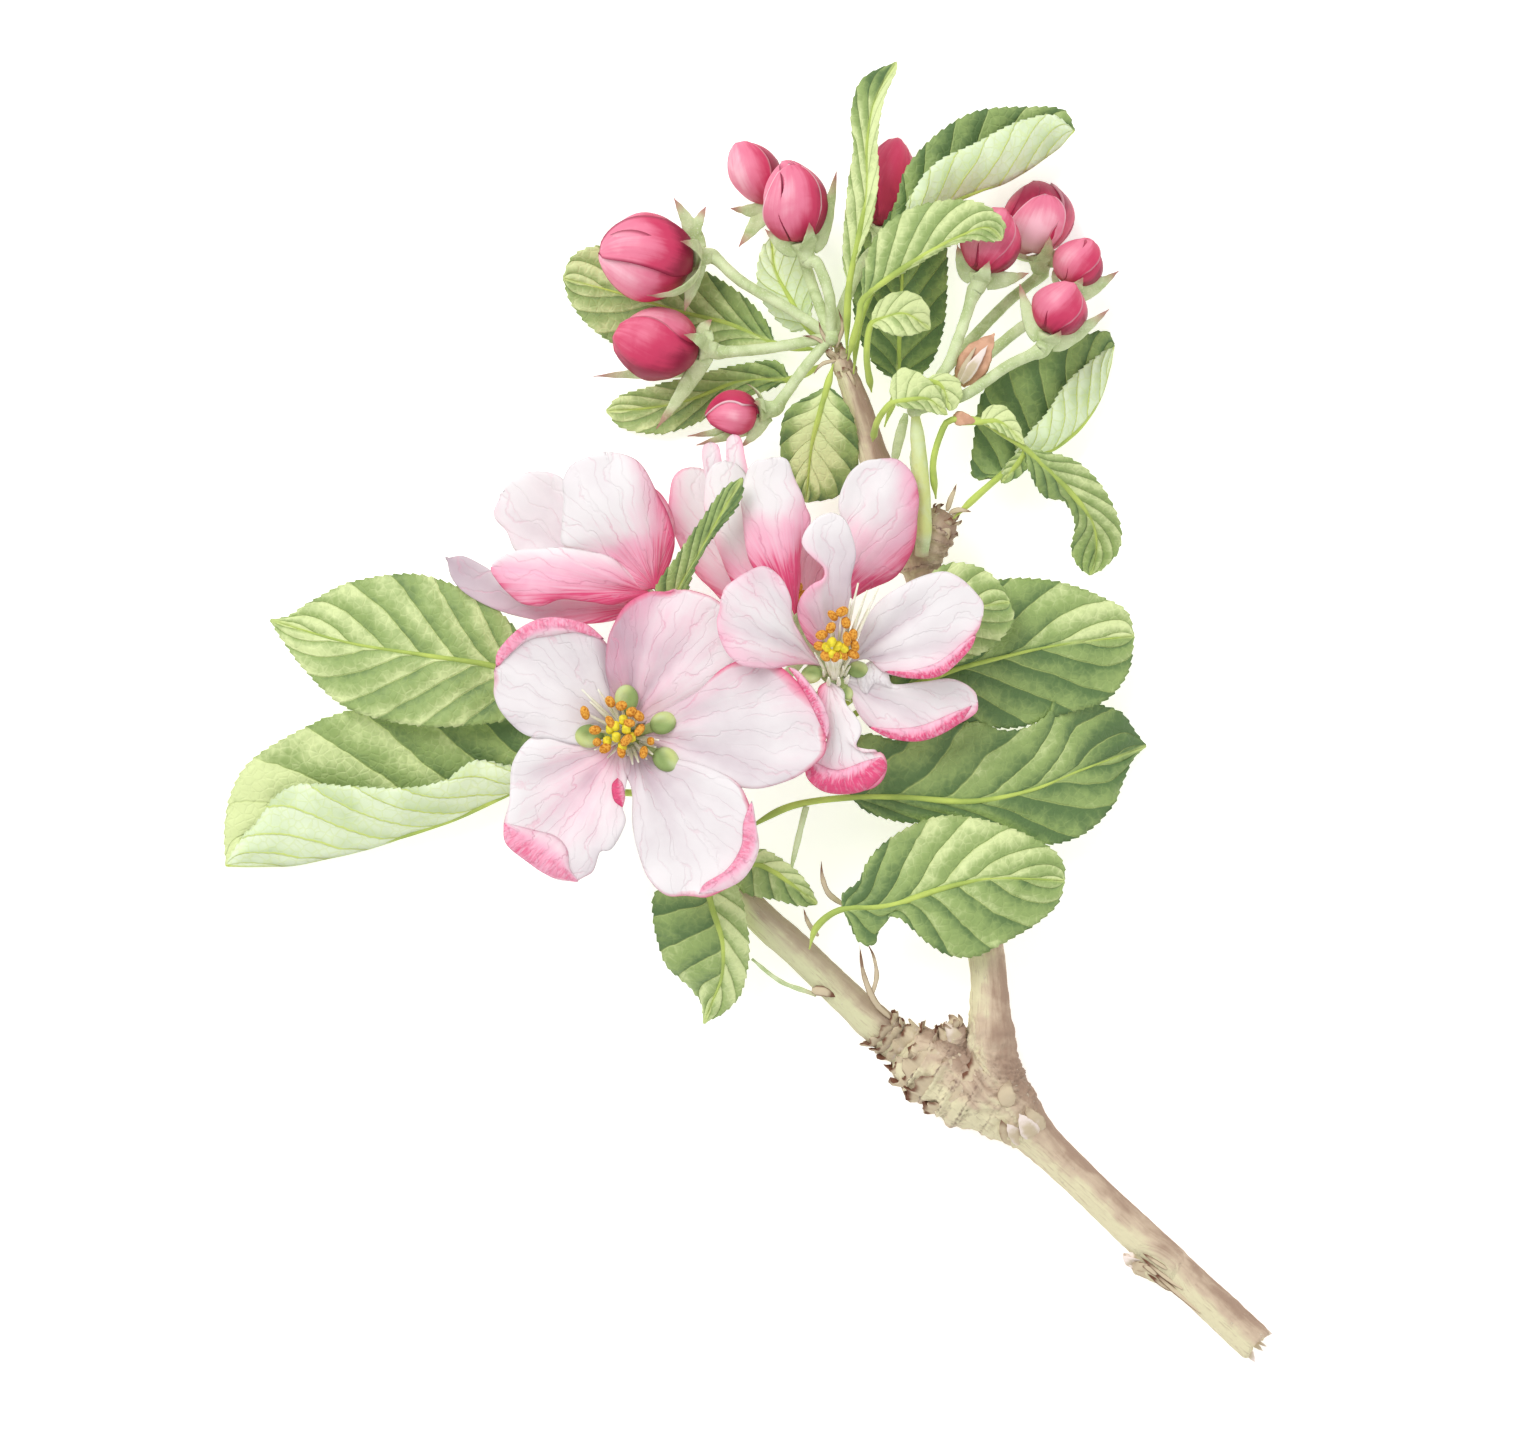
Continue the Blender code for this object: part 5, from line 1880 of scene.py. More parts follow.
@dataclass
class Ledge:
    """A ragged ring of old scale bases that laps over the bark below it."""

    centre: Place
    way: tuple[float, float, float]  # along the limb, the way the lip points
    reach: float                     # mm from the centre within which the bark is lapped
    length: float                    # mm from its foot to its lip
    lift: float = 0.5                # mm that the lip stands off the bark
    thickness: float = 0.55

    SIDES = 160
    ROUND = 10

    def build(self, builder: Mesh, bark: bvhtree.BVHTree) -> None:
        """Adds the ring to a mesh."""
        way, centre = Vector(self.way).normalized(), plan(*self.centre)
        spokes = ring_of(way, self.SIDES, 0.0)
        feet = self.skin(bark, centre, spokes)
        lips = self.skin(bark, centre + way * self.length * MM, spokes)
        seed = Vector((self.centre[0], self.centre[1], 0))
        made = bmesh.ops.create_grid(builder, x_segments=self.SIDES, y_segments=self.ROUND,
                                     size=1.0)
        lane = builder.verts.layers.float["tint_and_painted_light"]
        faces = faces_of(made["verts"])
        for vertex in made["verts"]:
            i = round((vertex.co.x + 1) / 2 * self.SIDES) % self.SIDES
            turn = math.pi * (vertex.co.y + 1)
            out, along = spokes[i], 0.5 - 0.5 * math.cos(turn)
            length = self.length * (0.95 + 0.7 * noise.noise(out * 2.6 + seed)
                                    + 0.12 * noise.noise(out * 11 + seed))
            lift = self.lift * (0.8 + 1.5 * noise.noise(out * 3.5 - seed)
                                + 0.35 * noise.noise(out * 12 - seed))
            skin = feet[i] + (lips[i] - feet[i]) * along
            stand = -0.5 + (lift + 0.5) * along ** 1.3
            stand += math.sin(turn) * self.thickness / 2 * (1 - 0.55 * along)
            vertex.co = centre + way * length * along * MM + out * (skin + stand) * MM
            vertex.co.z = max(vertex.co.z, 0.3 * MM)
            # darker towards the lip: the scales' own brown edge, with painted shade under the lip;
            # the face turned to the bark gets painted shadow
            brown_lip_and_shade = 0.62 + 0.8 * noise.noise(out * 4 + seed * 2)
            vertex[lane] = max(brown_lip_and_shade, 0.25) * between(0.45, 0.95, along) + (
                0.45 if math.sin(turn) < -0.05 else -0.1)
        for face in faces:
            face.smooth = True
        bmesh.ops.recalc_face_normals(builder, faces=faces)
        bmesh.ops.remove_doubles(builder, verts=made["verts"], dist=SEAM_WELD)

    def skin(self, bark: bvhtree.BVHTree, centre: Vector,
             spokes: Sequence[Vector]) -> list[float]:
        """Measures how far out the bark lies, in mm.

        Args:
            bark: the finished bark.
            centre: the place inside it to measure from.
            spokes: the ways to measure in.

        Returns:
            The distances, evened out round the ring.
        """
        found = []
        for out in spokes:
            hit = bark.ray_cast(centre + out * self.reach * MM, -out)[0]
            depth = (hit - centre).dot(out) / MM if hit else 0.0
            found.append(max(depth, self.reach * 0.3))
        count = len(found)
        return [sum(found[(i + j) % count] for j in range(-3, 4)) / 7 for i in range(count)]


@dataclass
class Shred:
    """A single dry scale, stipule, hair or green thread."""

    places: Sequence[Place]
    half_width: float
    colour: float = 0.5
    thickness: float = 0.3
    green: bool = False
    facing: tuple[float, float, float] = (0, 0, 1)
    outline: Sequence[float] = (0.5, 0.95, 1.0, 0.8, 0.5, 0.06)
    laid: bool = False               # True where its heights stand above the bark

    def line(self, bark: bvhtree.BVHTree) -> list[Vector]:
        """Gives its places, dropped on to the bark where it is laid on it."""
        points = [plan(*p) for p in self.places]
        if not self.laid:
            return points
        for point in points:
            hit = bark.ray_cast(Vector((point.x, point.y, 0.1)), Vector((0, 0, -1)))[0]
            if hit:
                point.z += hit.z
        return points


@dataclass
class Trim:
    """The small dry and green parts that sit on the wood and the stalks."""

    collars: Sequence[Collar]
    ledges: Sequence[Ledge]
    shreds: Sequence[Shred]

    def build(self, bench: Workbench, bark: bvhtree.BVHTree) -> None:
        """Makes one piece of the dry parts, laid on the bark, and one of the green ones."""
        chance = random.Random(11)
        dry, green = GREEN_LANES.start(), GREEN_LANES.start()
        for collar in self.collars:
            collar.build(dry, chance)
        for ledge in self.ledges:
            ledge.build(dry, bark)
        for shred in self.shreds:
            builder = green if shred.green else dry
            Bract(shred.line(bark), shred.half_width, Vector(shred.facing),
                  shred.thickness, shred.outline, shred.colour, not shred.green).build(builder)
        bench.piece("bud_scales_and_stipules", dry, (bench.palette.scale,))
        bench.piece("green_stipules_and_side_stalks", green, (bench.palette.green,))


# ------------------------------------------------------------------ the branch as it grew


def leaves() -> list[Leaf]:
    """Lists the leaves, west to east and south to north."""
    return [
        Leaf("leaf_west_upper", ((701, 764, 13.6), (620, 730, 13.2), (548, 694, 12.7)),
             Sheet(((548, 694, 12.7), (500, 668, 12.4), (430, 656, 12), (350, 643, 9),
                    (271, 620, 5)),
                   ((540, 712), (500, 722), (440, 727), (385, 720), (345, 706), (318, 683),
                    (290, 650)),
                   ((545, 660), (520, 632), (485, 600), (420, 575), (355, 582), (315, 600),
                    (290, 616)),
                   (0, 0.6, 0.2, -0.5, 0), (0, 0.2, -0.8, -1.0, 0)),
             (.55, .42, .3), (.6, .42, .28), 8, 0.6),
        Leaf("leaf_west_lower", ((701, 788, 13), (620, 792, 10), (551, 774, 8.1)),
             Sheet(((551, 774, 8.1), (505, 795, 7.2), (450, 820, 6.2), (380, 843, 4.6),
                    (300, 862, 2.2), (226, 866, .5)),
                   ((530, 768), (505, 765), (475, 761), (442, 781), (398, 788), (345, 785),
                    (301, 784), (276, 797), (258, 822), (238, 842)),
                   ((548, 745), (525, 722), (470, 712), (400, 704), (345, 712), (295, 733),
                    (250, 762), (230, 797), (225, 832)),
                   (0, 2.5, 4.5, 4.5, 3.5, 1.5, 0), (0, 1.7, 1.7, 1.6, 1.2, 0.4, 0), 1.5),
             (.4, .4, .4), (.95, .4, -.2), 8, 0.45),
        Leaf("leaf_east_round", ((737, 772, 13.2), (800, 752, 12.8), (863, 709, 13.5)),
             Sheet(((863, 709, 13.5), (940, 675, 14), (1000, 658, 12.6), (1060, 645, 10.4),
                    (1133, 636, 6.4)),
                   ((875, 660), (925, 610), (990, 582), (1050, 581), (1100, 597), (1126, 612)),
                   ((900, 715), (960, 722), (1010, 728), (1060, 715), (1105, 700),
                    (1128, 670)),
                   (0, -0.2, -0.6, -0.8, 0), (0, -0.8, -1.4, -1.2, 0)),
             (.85, .7, .2), (1.0, .85, .6), 7, 0.55),
        Leaf("leaf_east_pale", ((735, 757, 14.3), (800, 733, 13.9), (850, 700, 14.8),
                                (885, 666, 15.8)),
             Sheet(((885, 666, 15.8), (930, 640, 16.8), (965, 612, 17), (1008, 603, 16.6)),
                   ((890, 630), (915, 590), (945, 565), (978, 568), (1000, 586)),
                   ((920, 672), (955, 664), (990, 648), (1012, 622)),
                   (0, 0.4, 0.6, 0.3, 0), (0, 0.3, 0.3, 0.2, 0)),
             (.3, .35, .3), (.5, .45, .4), 6, 0.35),
        Leaf("leaf_east_dark", ((741, 832, 13), (790, 806, 15), (850, 797, 14.4)),
             Sheet(((850, 797, 14.4), (905, 797, 13.8), (970, 801, 12.8), (1030, 790, 10.4),
                    (1075, 772, 7.6), (1146, 746, 1)),
                   ((845, 770), (862, 735), (900, 740), (940, 727), (975, 722), (1000, 730),
                    (1025, 728), (1045, 715), (1055, 700), (1070, 690), (1080, 697),
                    (1100, 705), (1120, 712), (1133, 730)),
                   ((868, 812), (905, 822), (950, 822), (1000, 834), (1045, 844),
                    (1082, 834), (1110, 808), (1122, 782), (1133, 758)),
                   (0, 2.6, 1.6, 1.2, 2.4, 2.0, 0), (0, -0.3, -0.6, -0.8, -0.8, -0.3, 0)),
             (1.1, .7, .65, 1.1), (.95, .8, .75), 7, 0.5),
        Leaf("leaf_east_front", ((809, 948, 12.9), (817, 925, 15.2), (842, 908, 16)),
             Sheet(((842, 908, 16), (890, 904, 16.2), (940, 888, 15.8), (985, 878, 15),
                    (1025, 878, 13.6), (1063, 880, 11.5)),
                   ((842, 893), (858, 880), (866, 862), (880, 845), (910, 825), (945, 815),
                    (985, 820), (1020, 832), (1050, 848), (1062, 864)),
                   ((850, 925), (858, 940), (872, 944), (878, 928), (885, 917), (900, 918),
                    (925, 940), (948, 954), (975, 955), (1005, 940), (1035, 922), (1057, 902)),
                   (0, 0.2, -0.2, -0.8, -0.8, 0), (0, -0.4, 0.2, -0.7, -1.0, 0)),
             (.95, .35, .35), (.8, .6, .65), 7, 0.5),
        Leaf("leaf_hanging", ((722, 864, 14.5), (708, 877, 16.2)),
             Sheet(((708, 877, 16.2), (712, 905, 16), (723, 940, 14.6), (722, 975, 11),
                    (712, 1002, 7), (704, 1023, 4.4)),
                   ((735, 882), (746, 915), (749, 955), (742, 990), (728, 1008)),
                   ((680, 884), (655, 893), (655, 925), (666, 962), (688, 985), (702, 1003)),
                   (0, 0.6, 0.8, 0.3, 0), (0, 0.4, 0, -0.2, 0)),
             (.35, .35, .35), (.8, .7, .25), 6, 0.4),
        Leaf("leaf_small_south", ((738, 858, 14.4), (738.5, 860, 14.45), (739, 862, 14.5)),
             Sheet(((739, 862, 14.5), (765, 866, 15.2), (790, 882, 14.8), (817, 903, 12.6)),
                   ((745, 850), (765, 849), (792, 866), (808, 884)),
                   ((734, 876), (745, 892), (775, 899), (800, 905)),
                   (0, 0.3, 0.2, 0), (0, 0.4, 0.1, 0)),
             (.25, .25, .2), (.6, .6, .5), 5, 0.25),
        Leaf("leaf_between_flowers", ((717, 766, 16.6), (706, 728, 18.4), (683, 645, 20)),
             Sheet(((683, 645, 20), (676, 600, 21.6), (700, 555, 24), (722, 515, 25.6),
                    (743, 480, 26.2)),
                   ((668, 620), (656, 592), (676, 560), (703, 520), (725, 490)),
                   ((692, 620), (690, 588), (708, 545), (733, 516), (743, 496)),
                   (0, 0.4, 0.5, 0.2, 0), (0, 0.4, 0.5, 0.2, 0)),
             (.6, .6, .6), (.8, .8, .75), 8, 0.2),
        Leaf("leaf_round_centre", ((833, 366, 16.1), (827, 388, 16.4)),
             Sheet(((827, 388, 16.4), (818, 420, 15), (811, 450, 12), (806, 503, 7.6)),
                   ((840, 398), (853, 420), (858, 448), (855, 475), (838, 497)),
                   ((806, 399), (786, 413), (780, 442), (784, 472), (795, 496)),
                   (0, 0.4, 0.2, -0.4, 0), (0, 0.3, 0.1, -0.4, 0)),
             (0, -.05, .1), (0, 0, .2), 6, 0.15, border=.75),
        Leaf("leaf_under_large_bud", ((822, 352, 12.2), (775, 345, 7.2)),
             Sheet(((775, 345, 7.2), (730, 325, 4.6), (680, 312, 3), (625, 295, 1.7),
                    (563, 278, .7)),
                   ((760, 348), (720, 350), (680, 352), (630, 350), (596, 332), (572, 305)),
                   ((768, 325), (745, 298), (705, 272), (650, 255), (600, 246), (573, 256)),
                   (0, 0.3, 0.4, 0.4, 0), (0, 0.3, 0.4, 0.4, 0)),
             (.4, .5, .5), (.7, .45, .25), 7, 0.4),
        Leaf("leaf_under_second_bud", ((826, 364, 11.7), (790, 380, 6)),
             Sheet(((790, 380, 6), (740, 382, 3.4), (690, 400, 2.4), (650, 408, 1.6),
                    (606, 411, .5)),
                   ((765, 392), (730, 402), (700, 422), (660, 434), (622, 428)),
                   ((778, 362), (745, 364), (700, 374), (655, 386), (620, 396)),
                   (0, 0.2, 0.3, 0.3, 0), (0, 0.3, 0.4, 0.3, 0)),
             (.8, .5, .3), (.7, .45, .3), 6, 0.3),
        Leaf("leaf_pale_north", ((834, 349, 12), (808, 330, 9.6)),
             Sheet(((808, 330, 9.6), (790, 300, 8), (775, 270, 6), (772, 237, 3.8)),
                   ((790, 332), (766, 308), (757, 280), (761, 252)),
                   ((811, 315), (812, 288), (803, 260), (788, 242)),
                   (0, 0.5, 0.4, 0), (0, 0.4, 0.3, 0)),
             (.15, .15, .1), (.2, .15, .1), 6, 0.3, under_up=True),
        Leaf("leaf_twisted_north", ((846, 356, 16.2), (848, 292, 19.2)),
             Sheet(((848, 292, 19.2), (858, 240, 18.9), (866, 195, 18.2), (866, 150, 16.4),
                    (874, 105, 13.6), (896, 64, 9.2)),
                   ((842, 262), (845, 215), (848, 182), (853, 150), (851, 115), (862, 82)),
                   ((858, 258), (872, 222), (878, 180), (877, 140), (884, 102), (896, 74)),
                   (0, 0.5, 0.9, 0.4, 0.9, 0), (0, 0.4, 0.8, 0.3, 0.6, 0)),
             (.2, .25, .9), (.1, .1, .05), 6, 0.1),
        Leaf("leaf_folded_north", ((853, 376, 15.5), (860, 322, 16.9), (890, 258, 16.2)),
             Sheet(((890, 258, 16.2), (915, 225, 15.4), (955, 203, 14.2), (1010, 180, 10.4),
                    (1048, 155, 7), (1074, 132, 4.8)),
                   ((880, 235), (895, 205), (905, 172), (935, 138), (975, 114), (1025, 109),
                    (1062, 111)),
                   ((900, 232), (908, 203), (935, 167), (975, 146), (1018, 124), (1052, 117)),
                   (0, .5, 0), (0, 3.5, 4.5, 3, 0), 0.0, 1.5),
             (.75, .75, .65), (.4,), 8, 0.4),
        Leaf("leaf_arched_north", ((847, 363, 16.8), (858, 322, 20.6), (862, 303, 21)),
             Sheet(((862, 303, 21), (885, 284, 22.6), (925, 258, 24.2), (960, 240, 24.4),
                    (985, 232, 23.8), (1000, 244, 22.6)),
                   ((862, 275), (875, 240), (905, 215), (945, 205), (980, 208), (1002, 226)),
                   ((880, 290), (910, 272), (945, 252), (970, 245), (990, 246)),
                   (0, -0.4, -1.0, -0.6, 0), (0, -0.3, -0.5, -0.3, 0)),
             (.5, .4, .2), (.3,), 7, 0.35),
        Leaf("leaf_dark_north", ((884, 428, 11), (898, 383, 7)),
             Sheet(((898, 383, 7), (899, 340, 5.4), (902, 280, 3), (905, 205, .8)),
                   ((876, 368), (858, 335), (853, 290), (860, 240), (880, 212)),
                   ((925, 372), (942, 335), (947, 285), (945, 240), (928, 212)),
                   (0, 0.4, 0.3, 0), (0, 0.4, 0.3, 0)),
             (.9, .9, .85), (.9, .85, .8), 7, 0.35),
        Leaf("leaf_curled_small", ((871, 394, 14), (866, 360, 18), (870, 328, 19.6)),
             Sheet(((870, 328, 19.6), (885, 320, 20.4), (905, 317, 20.4), (929, 332, 18.2)),
                   ((874, 310), (890, 297), (912, 296), (927, 310)),
                   ((878, 332), (895, 339), (912, 338), (922, 334)),
                   (0, 0.5, 0.4, 0), (0, 0.3, 0.3, 0)),
             (.1, .15, .1), (.15, .2, .15), 5, 0.08),
        Leaf("leaf_bent_pair", ((872, 443, 14.9), (876, 425, 18.2), (884, 412, 19.8),
                                (892, 405, 20.2)),
             Sheet(((892, 405, 20.2), (908, 402, 20.6), (928, 402, 20.4), (946, 417, 19)),
                   ((889, 388), (900, 371), (922, 378), (938, 396)),
                   ((898, 409), (908, 411), (920, 412), (935, 416)),
                   (0, 0.3, 0.2, 0), (0, -0.4, -0.4, 0)),
             (.15, .2, .2), (.3,), 5, 0.1),
        Leaf("", ((906, 396, 19.8), (914, 389, 19.6), (922, 384, 19.4)),
             Sheet(((922, 384, 19.4), (940, 388, 19.6), (948, 413, 18.6)),
                   ((938, 376), (956, 381), (961, 397), (955, 410)), ((930, 392), (940, 404)),
                   (0, 0.3, 0.2, 0), (0, -0.2, -0.2, 0)),
             (.1, .15, .2), (.3,), 4, 0.1, name="leaf_bent_second"),
        Leaf("leaf_folded_east", ((952, 520, 11.9), (975, 498, 11.8), (998, 478, 10.8)),
             Sheet(((998, 478, 10.8), (1022, 458, 9.4), (1052, 449, 7.6), (1083, 424, 5.6),
                    (1102, 390, 3.6), (1114, 346, 1.2)),
                   ((972, 478), (973, 440), (983, 392), (1020, 360), (1070, 341),
                    (1104, 331)),
                   ((1008, 462), (1022, 442), (1047, 412), (1062, 388), (1085, 366),
                    (1104, 352)),
                   (0, 0.6, 0.4, 0.2, 0), (0, 2.5, 3.4, 2.2, 0), 0.0, 1.2),
             (.85, .8, .75), (.4,), 8, 0.4),
        Leaf("", ((952, 423, 17.4), (965, 424, 17.7), (978, 424, 17.9)),
             Sheet(((978, 424, 17.9), (1000, 425, 18.2), (1023, 447, 17.6)),
                   ((985, 410), (1002, 408), (1016, 424)), ((990, 430), (1005, 438)),
                   (0, 0.3, 0.3, 0), (0, 0.2, 0.2, 0)),
             (.15, .15, .1), (.3, .3, .3), 5, 0.15, name="leaf_tiny_pale"),
        Leaf("", ((1020, 450, 16.2), (1022, 451, 16.0), (1024, 452, 15.8)),
             Sheet(((1024, 452, 15.8), (1016, 465, 15.2), (1000, 484, 13.6)),
                   ((1030, 460), (1022, 474), (1008, 483)), ((1014, 456), (1004, 468)),
                   (0, 0.2, 0.2, 0), (0, 0.2, 0.2, 0)),
             (.6, .6, .5), (.4, .4, .4), 4, 0.15, name="leaf_tiny_green"),
        Leaf("leaf_curly_east", ((935, 500, 13.8), (932, 465, 16.6), (940, 435, 17.2),
                                 (950, 422, 17.4), (980, 423, 17.4), (1000, 435, 17.3),
                                 (1022, 449, 17)),
             Sheet(((1022, 449, 17), (1045, 470, 15.4), (1068, 492, 12.4), (1090, 520, 8.6),
                    (1096, 548, 4.4), (1090, 575, 1.2)),
                   ((1045, 454), (1075, 463), (1100, 487), (1118, 522), (1119, 548),
                    (1105, 566)),
                   ((1027, 472), (1042, 497), (1062, 502), (1074, 524), (1071, 552),
                    (1080, 568)),
                   (0, 0.6, 0.9, 0.5, 0), (0, 0.5, 0.8, 0.5, 0)),
             (.35, .35, .3), (.6, .6, .55), 7, 0.3),
    ]


def petals() -> list[Petal]:
    """Lists the open petals."""
    return [*front_petals(), *right_petals(), *west_petals(), *upper_petals()]


def front_petals() -> list[Petal]:
    """Lists the petals of the flower that faces up from the middle of the spray."""
    return [
        Petal("front_flower_petal_1", Sheet(
            ((643, 735, 24.5), (700, 738, 26.6), (760, 738, 27.6), (826, 735, 28.4)),
            ((650, 719), (676, 706), (702, 690), (722, 670), (745, 660), (775, 664),
             (803, 688), (824, 714)),
            ((653, 754), (680, 768), (715, 780), (755, 788), (790, 780), (812, 766),
             (825, 752)),
            (0, 0.9, 1.8, 1.6, 0.4), (0, 0.4, 0.8, 0.8, 0.2), cup=2, curl=0.5),
            ((.35, .35, .55), (.4, .1, .15), (.25, .1, .2)),
            ((.5, .4, .15), (.5, .4, .3), (.6, .45, .35)),
            (0, .2, 1.0, 1.8, 1.0, .5, .4, .2, 0),
            folds=(Fold(Sheet(((788, 668, 0), (814, 698, 0), (826, 738, 0)),
                              ((800, 674), (821, 702), (828, 722)),
                              ((795, 677), (808, 699), (819, 722))), .8, 0.5),)),
        Petal("front_flower_petal_2", Sheet(
            ((633, 723, 24.5), (655, 665, 26.2), (675, 591, 27.4)),
            ((619, 712), (612, 690), (608, 662), (612, 632), (627, 607), (650, 594)),
            ((650, 722), (690, 706), (722, 690), (742, 662), (738, 630), (725, 608),
             (700, 595)),
            (0, 0.8, 1.4, 1.0, 0.2), (0, 0.2, 0.5, 0.8, 0.2), cup=2, curl=0.5),
            ((.65, .8, .7), (.5, .35, .3), (.25, .1, .2)),
            ((.8, .8, .5), (.6, .4, .05), (.2, .05, .1)),
            (0, .3, .5, .8, .7, .6, .3, .2, 0)),
        Petal("front_flower_petal_3", Sheet(
            ((619, 729, 24.5), (568, 688, 26.4), (497, 672, 27.4)),
            ((607, 744), (585, 744), (555, 740), (525, 734), (505, 714), (496, 694)),
            ((629, 716), (628, 692), (618, 660), (600, 636), (565, 624), (530, 631),
             (505, 652)),
            (0, 0.5, 0.9, 0.9, 0.2), (0, 0.9, 1.8, 1.4, 0.2), cup=2, curl=0.5),
            ((.1, .05, .1), (.15, .0, .05), (.3, .25, .4)),
            ((.4, .3, .3), (.7, .3, .15), (.6, .5, .4)),
            (0, .2, .2, .3, .6, 1.0, .6, .3, 0),
            folds=(Fold(Sheet(((499, 668, 0), (546, 628, 0), (606, 640, 0)),
                              ((508, 658), (530, 641), (550, 637), (580, 633)),
                              ((501, 652), (522, 630), (550, 619), (585, 624))),
                        .72, 0.5),)),
        Petal("front_flower_petal_4", Sheet(
            ((620, 745, 24.5), (575, 800, 26.6), (563, 845, 26.8), (578, 880, 26.6)),
            ((630, 760), (627, 785), (624, 805), (627, 822), (614, 846), (602, 850),
             (595, 870)),
            ((604, 735), (575, 732), (540, 733), (516, 760), (512, 800), (507, 830),
             (530, 858), (552, 872)),
            (0, 0.8, 1.4, 0.8, 0.2), (0, 0.6, 1.4, 1.4, 0.2), cup=2, curl=0.5),
            ((.3, .15, .1), (.5, .35, .05), (.1, .0, .25)),
            ((.5, .3, .6), (.4, .15, .4), (.3, .15, .1)),
            (0, .1, .2, .3, .5, .6, .3, .1, 0),
            folds=(Fold(Sheet(((507, 822, 0), (533, 842, 0), (560, 862, 0), (580, 880, 0)),
                              ((535, 829), (557, 835), (569, 848), (571, 866)),
                              ((509, 842), (530, 860), (552, 874))), .72, 1.1),
                   Fold(Sheet(((619, 778, 0), (619, 791, 0), (624, 806, 0)),
                              ((624, 784), (626, 796)), ((614, 785), (616, 799))),
                        1.05, 0.6))),
        Petal("front_flower_petal_5", Sheet(
            ((635, 748, 24.5), (672, 800, 26.9), (690, 850, 27.2), (690, 893, 27.4)),
            ((656, 756), (685, 762), (715, 770), (740, 785), (753, 815), (756, 845),
             (746, 874), (713, 892)),
            ((626, 766), (633, 790), (633, 818), (638, 845), (648, 874), (667, 891)),
            (0.2, 1.3, 1.6, 1.2, 0.2), (0, 0.6, 1.0, 0.8, 0.2), cup=2, curl=0.5),
            ((.3, .05, .25), (.35, .05, .1), (.3, .1, .15)),
            ((.6, .15, .0), (.9, .4, .05), (.6, .3, .1)),
            (0, .2, .7, 1.4, .8, .4, .3, .1, 0),
            folds=(Fold(Sheet(((752, 800, 0), (751, 850, 0), (700, 892, 0)),
                              ((756, 825), (758, 850), (744, 876), (722, 888)),
                              ((744, 822), (742, 845), (728, 868), (706, 882))),
                        .7, 0.7),)),
    ]


